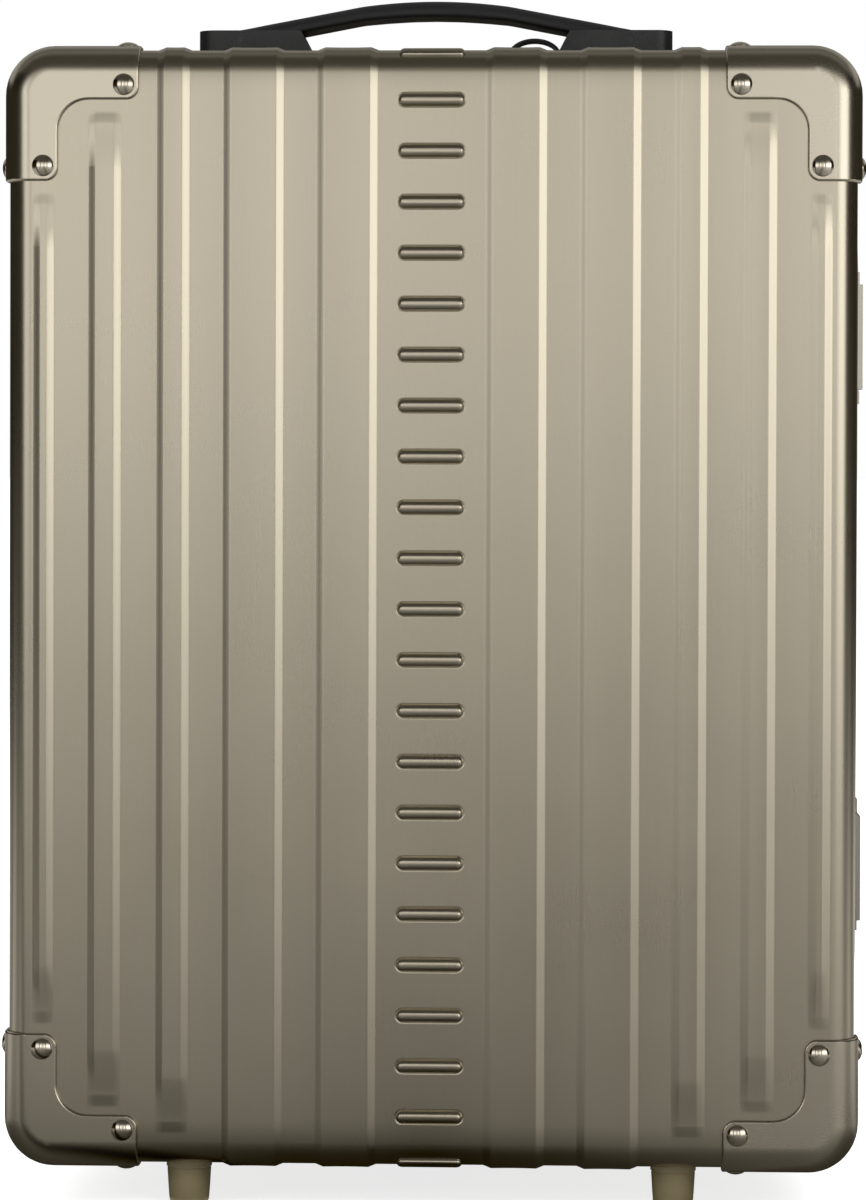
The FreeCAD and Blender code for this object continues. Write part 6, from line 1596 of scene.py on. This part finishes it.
# ---- carry handle
@dataclass
class CarryHandle(Group):
    """Arched rubber strap pinned between two grained blocks on the top of the front half."""

    seat: float = 468.2
    line: float = -51.0
    end: float = 84.0
    width: float = 22.4
    crown: float = 23.4
    pin_out: float = 80.0
    pin_height: float = 6.9
    slot_radius: float = 1.6
    lift: float = 2.5
    drop: float = 2.1
    knee: float = 30.0
    slope: float = 0.1889
    blend: tuple = (26, 36)
    under: tuple = ((0, 10, 20, 30, 70, 76, 90), (16.6, 16.4, 15.8, 14.9, 7.2, 2.1, 2.1))
    ease: float = 2.2

    def upper(self, x: Array) -> Array:
        """Work out the strap's top: a shallow parabola blended into a straight slope.

        Args:
            x: Places along the strap.

        Returns:
            The heights over the seat.
        """
        x = np.abs(x)
        arch = self.crown - self.drop * (x / self.knee) ** 2
        line = self.crown - self.drop - (x - self.knee) * self.slope
        near, far = self.blend
        return arch * step((far - x) / (far - near)) + line * step((x - near) / (far - near))

    def lower(self, x: Array) -> Array:
        """Work out the underside: a broken line, averaged over ± ease with bump weights.

        The line is a flatter arch, a neck and a heel in the block.

        Args:
            x: Places along the strap.

        Returns:
            The heights over the seat.
        """
        offs = np.linspace(-1, 1, 9)
        weights = bump(offs * 0.9)
        values = sum(w * np.interp(np.abs(x) + off * self.ease, *self.under) for off, w in zip(offs, weights))
        return values / weights.sum()

    def strap(self) -> Object:
        """Build the strap: a rounded box section carried along the arch, with a slot at each end.

        Across the section the top is crowned and its edges have a broad rounding; the underside
        has a small one.

        Returns:
            The strap.
        """
        x = self.end * np.sin(np.linspace(-1, 1, 121) * math.pi / 2 * 0.97) / math.sin(math.pi / 2 * 0.97)
        half = self.width / 2
        corners = [(-half, 0), (half, 0), (half, 0.64), (half - 3.2, 1), (-half + 3.2, 1), (-half, 0.64)]
        outline = closed(eased(corners, 2.2, 6))
        low, high = self.lower(x), self.upper(x)
        pinch = 1 - 0.035 * bump(x / 70)
        end = np.clip((self.end - np.abs(x)) / 1.6, 0, 1)
        easing = np.sqrt(1 - (1 - end) ** 2) * 0.06 + 0.94
        centre = (low + high) / 2
        v = outline[:, 0] * (pinch * easing)[:, None]
        crowned = outline[:, 1] - 0.045 * (outline[:, 0] / half) ** 2 * (outline[:, 1] > 0.9)
        w = (low[:, None] + (high - low)[:, None] * crowned - centre[:, None]) * easing[:, None] + centre[:, None]
        points = np.stack([x[:, None] + 0 * v, self.line + v, self.seat + w], -1)
        length = np.cumsum(np.hypot(np.gradient(x), np.gradient(centre)))
        skin = Skin("carry_strap")
        skin.tube(points, cloth_uv(length, outline[:, 0]))
        return self.slotted(skin.build(sharp=50))

    def slotted(self, strap: Object) -> Object:
        """Cut the slots that the pins slide in through the strap's ends.

        Args:
            strap: The strap.

        Returns:
            The strap, cut.
        """
        tool = Skin("slot_tool")
        angle = np.linspace(0, math.tau, 25)
        middle = self.seat + self.pin_height - self.lift / 2
        for side in (-1, 1):
            x = side * self.pin_out + self.slot_radius * np.cos(angle)
            z = middle + np.sign(np.sin(angle)) * self.lift / 2 + self.slot_radius * np.sin(angle)
            rings = np.stack([np.stack([x, np.full(25, self.line + y), z], -1) for y in (-20, 20)])
            tool.tube(rings)
        cutter = tool.build()
        slot = strap.modifiers.new("slot", "BOOLEAN")
        slot.operation, slot.object, slot.solver = "DIFFERENCE", cutter, "EXACT"
        cut = frozen(strap)
        strap.modifiers.clear()
        strap.data = cut
        bpy.data.objects.remove(cutter)
        strap.data.set_sharp_from_angle(angle=math.radians(50))
        return strap

    def build(self) -> None:
        """Build strap, blocks and pins."""
        place(self.strap(), self.kit.strap, "carry_handle")
        recast("handle_blocks", "handle_block_pair", self.kit.black, 0.9, 3)
        dress(self.kit.dial, "handle_pins")


@dataclass
class TagLoop(Group):
    """A strip of black webbing, flat under its rivet and then one raised loop."""

    start: float = 16.0
    rise_start: float = 30.6
    end: float = 50.4
    height: float = 8.2
    thickness: float = 1.2
    width: float = 12.0
    line: float = -51.0
    seat: float = 468.2

    def build(self) -> None:
        """Build the strip: its underside is level and then half an ellipse; its edges are round."""
        turn = np.linspace(0, math.pi, 64)
        reach = (self.end - self.rise_start) / 2
        flat = np.linspace(self.start, self.rise_start - 0.9, 20)
        x = np.append(flat, self.end - reach - reach * np.cos(turn))
        x = x + 0.05 * np.linspace(0, 1, len(x))
        level = np.append(0 * flat, (self.height - self.thickness) * np.sin(turn) ** 0.9) + 0.05
        slope = np.gradient(level) / np.gradient(x)
        stretch = np.sqrt(1 + slope ** 2)
        normal = np.stack([-slope / stretch, 1 / stretch], -1)
        half, thick = self.width / 2, self.thickness / 2
        section = box_outline(half, thick, 0.55, 5)
        middle_x, middle_z = x + normal[:, 0] * thick, level + normal[:, 1] * thick
        points = np.stack([middle_x[:, None] + normal[:, 0:1] * section[None, :, 1],
                           self.line + section[None, :, 0] + 0 * middle_x[:, None],
                           self.seat + middle_z[:, None] + normal[:, 1:2] * section[None, :, 1]], -1)
        length = reach_along(np.stack([x, level], -1))
        skin = Skin("tag_webbing")
        skin.tube(points, cloth_uv(length, section[:, 0]))
        place(skin.build(sharp=60), self.kit.webbing, "tag_loop")


def revolved(skin: Skin, profile: Array, centre: Sequence[float], axis: int, turns: int) -> None:
    """Add a profile turned about an axis.

    Args:
        skin: The skin to add to.
        profile: Points (k, 2) of (radius, place along the axis); ends at radius 0 are closed.
        centre: Centre in millimetres.
        axis: Index of the axis.
        turns: Faces round it.
    """
    angle = np.linspace(0, math.tau, turns + 1)
    radius = profile[:, 0:1]
    parts = [profile[:, 1:2] + 0 * angle, radius * np.cos(angle), radius * np.sin(angle)]
    skin.grid(np.stack([parts[(k - axis) % 3] for k in range(3)], -1) + np.asarray(centre, float))


@dataclass
class Feet(Group):
    """Two tapered studs under the front half."""

    out: float = 98.5
    line: float = -78.7
    bottom_radius: float = 8.1
    top_radius: float = 9.25
    edge: float = 2.5
    height: float = 18.75

    def build(self) -> None:
        """Build both feet as turned profiles with a worn lower edge and a collar at the shell."""
        t = np.linspace(0, math.pi / 2, 8)
        r, e = self.bottom_radius, self.edge
        worn = np.stack([r - e + e * np.sin(t), e - e * np.cos(t)], -1)
        profile = np.concatenate([[(0, 0), (r * 0.45, 0)], worn,
                                  [(r + 0.35, 7), (self.top_radius - 0.35, 14.6), (self.top_radius - 0.6, 15.2),
                                   (self.top_radius, 15.6), (self.top_radius, self.height), (0, self.height)]])
        skin = Skin("foot_pair")
        for side in (-1, 1):
            revolved(skin, profile, (side * self.out, self.line, 0), 2, 56)
        place(skin.build(sharp=40), self.kit.foot, "front_feet")


# ---- wheels
@dataclass
class Wheels(Group):
    """Two wheels in their housings at the lower rear corners."""

    out: float = 137.0
    line: float = 78.0
    radius: float = 25.0
    inner: float = 17.5
    width: float = 20.0
    shoulder: float = 4.0

    def tyre(self, side: int, name: str, node: str) -> None:
        """Build a tyre: rounded shoulders, two tread grooves and a moulding line.

        Args:
            side: -1 for the left one, 1 for the right one.
            name: Name of the new piece.
            node: CAD node name.
        """
        half = self.width / 2
        t = np.linspace(0, math.pi / 2, 7)
        shoulder = np.stack([self.radius - self.shoulder + self.shoulder * np.sin(t),
                             -half + self.shoulder - self.shoulder * np.cos(t)], -1)
        grooves = [(self.radius - deep, middle + off) for middle in (-2.6, 2.6)
                   for deep, off in ((0, -0.75), (0.7, -0.45), (0.7, 0.45), (0, 0.75))]
        wall = [(self.inner, -half + 0.6), (self.inner + 0.5, -half + 0.05), (self.radius - 6.2, -half),
                (self.radius - 5.9, -half + 0.35), (self.radius - 5.4, -half + 0.35), (self.radius - 5.1, -half)]
        left = np.concatenate([wall, shoulder])
        right = left[::-1] * [1, -1]
        profile = np.concatenate([left, grooves, right, [(self.inner, -half + 0.6)]])
        skin = Skin(name)
        revolved(skin, profile, (side * self.out, self.line, self.radius), 0, 96)
        place(skin.build(sharp=35), self.kit.tyre, node)

    def build(self) -> None:
        """Build tyres, hubs and housings; bearings and axles stay as packed."""
        for side, word in ((-1, "left"), (1, "right")):
            self.tyre(side, f"tyre_moulding_{word}", f"tyre_{word}")
            recast(f"hub_{word}", f"hub_moulding_{word}", self.kit.hub, 0.35, 2, 50)
        dress(self.kit.steel, "bearings_left", "bearings_right", "wheel_axles")
        recast("wheel_housings", "wheel_housing_pair", self.kit.black, 0.8, 3, 42)


# ---- side hardware
@dataclass
class Latches(Group):
    """Two latches with three number dials each, and the hinges across from them."""

    dial_out: float = 174.3
    dial_line: float = 24.6
    dial_radius: float = 3.2
    numeral: float = 2.3

    def numerals(self, dial: str) -> None:
        """Print the ten figures round a dial as thin raised text.

        Args:
            dial: CAD node of the dial.
        """
        low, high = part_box(dial)
        centre = Vector((self.dial_out * MM, self.dial_line * MM, (low[2] + high[2]) / 2))
        work = bmesh.new()
        for figure in range(10):
            curve = bpy.data.curves.new("figure", "FONT")
            curve.body, curve.size = str(figure), self.numeral * MM
            curve.align_x, curve.align_y = "CENTER", "CENTER"
            curve.extrude, curve.resolution_u = 0.04 * MM, 2
            text = bpy.data.objects.new("figure", curve)
            bpy.context.scene.collection.objects.link(text)
            mesh = frozen(text)
            turn = math.tau * figure / 10
            out = Vector((math.cos(turn), math.sin(turn), 0))
            across = Vector((-math.sin(turn), math.cos(turn), 0))
            matrix = Matrix((across, Vector((0, 0, 1)), out)).transposed().to_4x4()
            mesh.transform(Matrix.Translation(centre + out * (self.dial_radius - 0.02) * MM) @ matrix)
            work.from_mesh(mesh)
            bpy.data.objects.remove(text)
            bpy.data.curves.remove(curve)
            bpy.data.meshes.remove(mesh)
        mesh = bpy.data.meshes.new(f"{dial}_figures")
        work.to_mesh(mesh)
        work.free()
        place(shown(f"{dial}_figures", mesh), self.kit.numeral, body=HOMES[dial], slot=SLOTS[dial])

    def build(self) -> None:
        """Build bodies, levers, strikes, dials and hinges."""
        kit = self.kit
        recast("latch_bodies", "latch_body_pair", kit.hardware, 0.45, 2)
        for word in ("upper", "lower"):
            recast(f"latch_lever_{word}", f"latch_plate_{word}", kit.hardware, 0.5, 3)
            for number in (1, 2, 3):
                self.numerals(f"dial_{word}_{number}")
                dress(kit.dial, f"dial_{word}_{number}")
        recast("latch_strikes", "latch_strike_pair", kit.hardware, 0.35, 2)
        for half in ("front", "rear"):
            recast(f"hinge_{half}_leaves", f"hinge_leaves_{half}", kit.hardware, 0.3, 2)
        dress(kit.steel, "hinge_pins", "dial_axles")


# ---- pull handle
@dataclass
class PullHandle(Group):
    """Three-stage pull handle with its grip, button, tray, bracket and cover."""

    travel: float = 3.5

    def build(self) -> None:
        """Dress the tubes and build the moulded parts; the springs are recast as packed and given a mesh of their
        own.
        """
        kit = self.kit
        recast("trolley_grip", "pull_grip", kit.grip, 1.1, 3, 42)
        recast("trolley_bezel", "pull_tray", kit.black, 0.7, 3)
        recast("trolley_button", "pull_button", kit.dial, 0.5, 3)
        recast("trolley_middle_collars", "stage_collars", kit.black, 0.4, 2)
        recast("trolley_foot_bracket", "tube_foot_bracket", kit.black, 0.6, 2)
        recast("trolley_cover", "tube_cover", kit.black, 0.3, 2)
        for node in ("trolley_outer_tubes", "trolley_middle_tubes", "trolley_inner_tubes"):
            recast(node, f"{node.replace('trolley_', '')}_drawn", kit.tube, 0.12, 1, 50)
        dress(kit.steel, "trolley_push_rods")
        coils = recast("trolley_button_springs", "button_springs_coiled", kit.steel, 0.02, 1, 80)
        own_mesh(coils)


# ---- interior
@dataclass
class Lining(Pan):
    """Cloth lining of one half: a quilted floor led over what stands in it, and four walls."""

    half_width: float = 166.8
    bottom: float = 22.7
    top: float = 464.3
    corner: float = 14.6
    edge: float = 6.0
    mouth: float = 10.3
    thickness: float = 1.2
    quilt: float = 34.0
    quilt_depth: float = 0.9
    seam: float = 0.10
    rim: tuple = (9, 3)
    well: tuple = (118, 58, 43.9)
    tray: tuple = (84.5, 441, 52.2)
    slope: float = 3.0
    pitch: float = 3.2

    def __post_init__(self) -> None:
        """Set the floor's depth."""
        super().__post_init__()
        self.floor = 95.7 if self.front else 68.4

    def raised(self, x: Array, z: Array) -> Array:
        """Work out how far the rear floor stands up over the wheel wells and the handle's tray.

        Args:
            x: Places across.
            z: Places up.

        Returns:
            The rise; well and tray give each one's bounds across and up, and its depth.
        """
        if self.front:
            return np.zeros(np.broadcast(x, z).shape)
        (well_x, well_z, well_y), (tray_x, tray_z, tray_y) = self.well, self.tray
        well = step((np.abs(x) - well_x) / self.slope + 0.5) * step((well_z - z) / self.slope + 0.5)
        tray = step((tray_x - np.abs(x)) / self.slope + 0.5) * step((z - tray_z) / self.slope + 0.5)
        return np.maximum(well * (self.floor - well_y), tray * (self.floor - tray_y))

    def quilting(self, x: Array, z: Array) -> Array:
        """Work out the quilting: exp(-(d / seam)²) at a distance d from sewn diamond lines.

        Args:
            x: Places across.
            z: Places up.

        Returns:
            The share of the quilting's depth: 0 mid-pad, 1 on a seam.
        """
        u = (x + (z - self.middle)) / (self.quilt * math.sqrt(2))
        v = (x - (z - self.middle)) / (self.quilt * math.sqrt(2))
        near = np.minimum(np.abs(u - np.round(u)), np.abs(v - np.round(v)))
        rim = np.minimum(self.flat - np.abs(x), np.minimum(z - self.low, self.high - z))
        inset, fade = self.rim
        return np.maximum(np.exp(-(near / self.seam) ** 2), np.exp(-(np.clip(rim - inset, 0, None) / fade) ** 2))

    def build(self) -> None:
        """Build the lining as an open box whose inner surface carries the quilting."""
        slopes = self.slope * np.array([-0.5, 0, 0.5])
        lines = np.concatenate([self.flat - np.array([0, 3, 6, 8.6]), self.tray[0] + slopes, self.well[0] + slopes])
        x = spread(np.arange(-self.flat, self.flat, self.pitch), lines, -lines, gap=0.8)
        z = spread(np.arange(self.low, self.high, self.pitch), [self.low, self.low + 3, self.high - 3, self.high],
                   self.well[1] + slopes, self.tray[1] + slopes, gap=0.8)
        gx, gz = np.meshgrid(x, z, indexing="ij")
        moved_x, moved_z, _ = self.rounded(gx, gz)
        pad = self.quilt_depth * (1 - self.quilting(gx, gz))
        y = self.sign * (self.floor - self.thickness - pad - self.raised(gx, gz))
        skin = Skin(f"lining_{self.word}_cloth")
        skin.grid(np.stack([moved_x, y, moved_z], -1), np.stack([gx, gz], -1) * MM)
        places, outward = self.boundary(x, z)
        rise = self.raised(places[:, 0], places[:, 1])
        angle = np.linspace(0, math.pi / 2, 5)
        inner = self.edge - self.thickness
        root = self.floor - self.edge - rise
        rows = np.linspace(1, 0, 9)[1:]
        out = np.append(inner * np.sin(angle), np.full(len(rows), inner)) + 0 * rise[:, None]
        deep = np.concatenate([root[:, None] + inner * np.cos(angle)[None, :],
                               self.mouth + (root[:, None] - self.mouth) * rows[None, :]], 1)
        points = self.set_out(places, outward, out, deep)
        points[:, 0, 1] = self.sign * (self.floor - self.thickness - rise)
        skin.grid(points, cloth_uv(reach_along(places[:, 2:]), deep))
        centre = np.array([0, 0, self.middle * MM])
        cloth = skin.build(sharp=70, outward=lambda centres: centre - centres)
        backing = cloth.modifiers.new("backing", "SOLIDIFY")
        backing.thickness, backing.offset = (self.thickness - 0.15) * MM, -1.0
        place(cloth, self.kit.lining, f"{self.word}_lining")
        self.hem()

    def hem(self) -> None:
        """Bind the lining's mouth with a folded tape."""
        skin = Skin(f"hem_{self.word}_tape")
        section = [(-0.35, 0.1), (-0.35, 7.5), (-2.15, 7.5), (-2.35, 0.1)]
        outline = eased([(out, self.mouth + deep) for out, deep in section], 0.5, 4)
        outline[:, 1] *= self.sign
        Ring(self.half_width, self.bottom, self.top, self.corner).add(skin, outline)
        node = f"{self.word}_lining"
        place(skin.build(sharp=60), self.kit.binding, body=HOMES[node], slot=SLOTS[node])


@dataclass
class MeshPocket(Group):
    """A flat zipped net pocket on the front lining."""

    half_width: float = 139.6
    bottom: float = 49.9
    top: float = 339.9
    face: float = -93.4
    zip_drop: float = 13.0
    zip_inset: float = 12.0
    zip_pitch: float = 2.4

    def build(self) -> None:
        """Build the net, its bound rim, the zip along its top and the zip's pull.

        The net is a little slack: it stands out by (1 - u²)(1 - v²)."""
        x = np.linspace(-self.half_width, self.half_width, 60)
        z = np.linspace(self.bottom, self.top, 60)
        gx, gz = np.meshgrid(x, z, indexing="ij")
        u = (gx / self.half_width) ** 2
        v = ((gz - (self.bottom + self.top) / 2) / ((self.top - self.bottom) / 2)) ** 2
        y = self.face + 0.7 * (1 - u) * (1 - v)
        net = Skin("pocket_net_panel")
        net.grid(np.stack([gx, y, gz], -1), np.stack([gx, gz], -1) * MM)
        panel = net.build(outward=facing(0, 1, 0))
        place(panel, self.kit.netting, "mesh_pocket")
        tape = Skin("pocket_binding")
        ring = Ring(self.half_width - 1, self.bottom + 1, self.top - 1, 12)
        ring.add(tape, eased([(-6.5, self.face - 0.5), (1, self.face - 0.5), (1, self.face + 1),
                              (-6.5, self.face + 1)], 0.5, 4))
        binding = tape.build(sharp=60)
        place(binding, self.kit.binding, body=HOMES["mesh_pocket"], slot=SLOTS["mesh_pocket"])
        teeth, pull = self.zip()

    def zip(self) -> tuple[Object, Object]:
        """Build the zip's two rows of teeth and its slider with a tab.

        Returns:
            The teeth and the slider.
        """
        level, half = self.top - self.zip_drop, self.half_width - self.zip_inset
        teeth = Skin("pocket_zip_teeth")
        box = box_outline(0.75, 0.9, 0.4, 1)
        rows = np.array([self.face + 0.4, self.face + 1.1])
        for side in (-1, 1):
            for number in range(int(2 * half / self.zip_pitch)):
                x = -half + number * self.zip_pitch + 0.6 * side
                points = np.stack([np.stack([x + box[:, 0], np.full(len(box), y), level + side * 0.9 + box[:, 1]], -1)
                                   for y in rows])
                teeth.grid(points)
                teeth.cap(points[1, :-1])
        row = teeth.build(sharp=40, outward=facing(0, 1, 0))
        place(row, self.kit.steel, body=HOMES["mesh_pocket"], slot=SLOTS["hinge_pins"])
        slider = Skin("pocket_zip_pull")
        for half_x, half_z, low, high, shift in ((4.5, 3.6, 0.2, 2.4, 0), (1.6, 9, 0.9, 1.9, -11)):
            outline = box_outline(half_x, half_z, 1.2, 4)
            points = np.stack([np.stack([half - 8 + outline[:, 0] * share, np.full(len(outline), self.face + y),
                                         level + shift + outline[:, 1] * share], -1)
                               for y, share in ((low, 1), (high - 0.3, 1), (high, 0.9))])
            slider.tube(points)
        pull = slider.build(sharp=40)
        place(pull, self.kit.steel, body=HOMES["mesh_pocket"], slot=SLOTS["hinge_pins"])
        return row, pull


@dataclass
class PackingStraps(Group):
    """Four webbing straps that meet at a side-release buckle over the rear lining."""

    anchor: tuple = (150, 132)
    level: float = 66.3
    middle: float = 243.5
    width: float = 25.0
    thickness: float = 1.4
    meet: tuple = (26, 9)
    narrowing: tuple = (0.25, 0.14)
    lift: tuple = (1.6, 0.3)

    def build(self) -> None:
        """Build the ribbons from the corners to the buckle, with narrowed and raised ends."""
        skin = Skin("packing_webbing")
        half, thick = self.width / 2, self.thickness / 2
        section = box_outline(half, thick, 0.6, 4)
        for side in (-1, 1):
            for level in (-1, 1):
                start = np.array([side * self.anchor[0], self.middle + level * self.anchor[1]])
                end = np.array([side * self.meet[0], self.middle + level * self.meet[1]])
                t = np.linspace(0, 1, 60)
                line = start + (end - start) * t[:, None]
                ahead = (end - start) / np.linalg.norm(end - start)
                across = np.array([-ahead[1], ahead[0]])
                narrow = 1 - self.narrowing[0] * step((t - 1 + self.narrowing[1]) / self.narrowing[1])
                rise = self.lift[0] * bump(np.clip((t - 1) / self.lift[1], -1, 0))
                pos = line[:, None] + across * (section[None, :, 0:1] * narrow[:, None, None])
                y = self.level - rise[:, None] - section[None, :, 1] + 0 * pos[..., 0]
                points = np.stack([pos[..., 0], y, pos[..., 1]], -1)
                skin.tube(points, cloth_uv(t * np.linalg.norm(end - start), section[:, 0]))
        place(skin.build(sharp=60), self.kit.webbing, "packing_straps")
        recast("buckle_socket", "buckle_socket_moulding", self.kit.black, 0.9, 3)
        recast("buckle_plug", "buckle_plug_moulding", self.kit.black, 0.7, 3)


def main() -> None:
    """Build the case from the frame outwards and report each piece."""
    logging.basicConfig(level=logging.INFO, format="%(message)s")
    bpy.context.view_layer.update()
    Studio().build()
    kit = Kit()
    for half in Half:
        ShellHalf(kit, half).build()
    Frames(kit).build()
    for word in ("front", "rear"):
        recast(f"{word}_corner_guards", f"corner_guards_{word}", kit.guard, 0.8, 3, clamp=False)
    build_fasteners(kit)
    CarryHandle(kit).build()
    TagLoop(kit).build()
    Feet(kit).build()
    Wheels(kit).build()
    Latches(kit).build()
    PullHandle(kit).build()
    for half in Half:
        Lining(kit, half).build()
    MeshPocket(kit).build()
    PackingStraps(kit).build()


if __name__ == "__main__":
    for leftover in list(bpy.data.objects):
        bpy.data.objects.remove(leftover)
    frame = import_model()
    HOMES = bodies_of_nodes()
    SLOTS = {part["node"]: part["material_slot"] for part in frame["record"]["subparts"]}
    main()
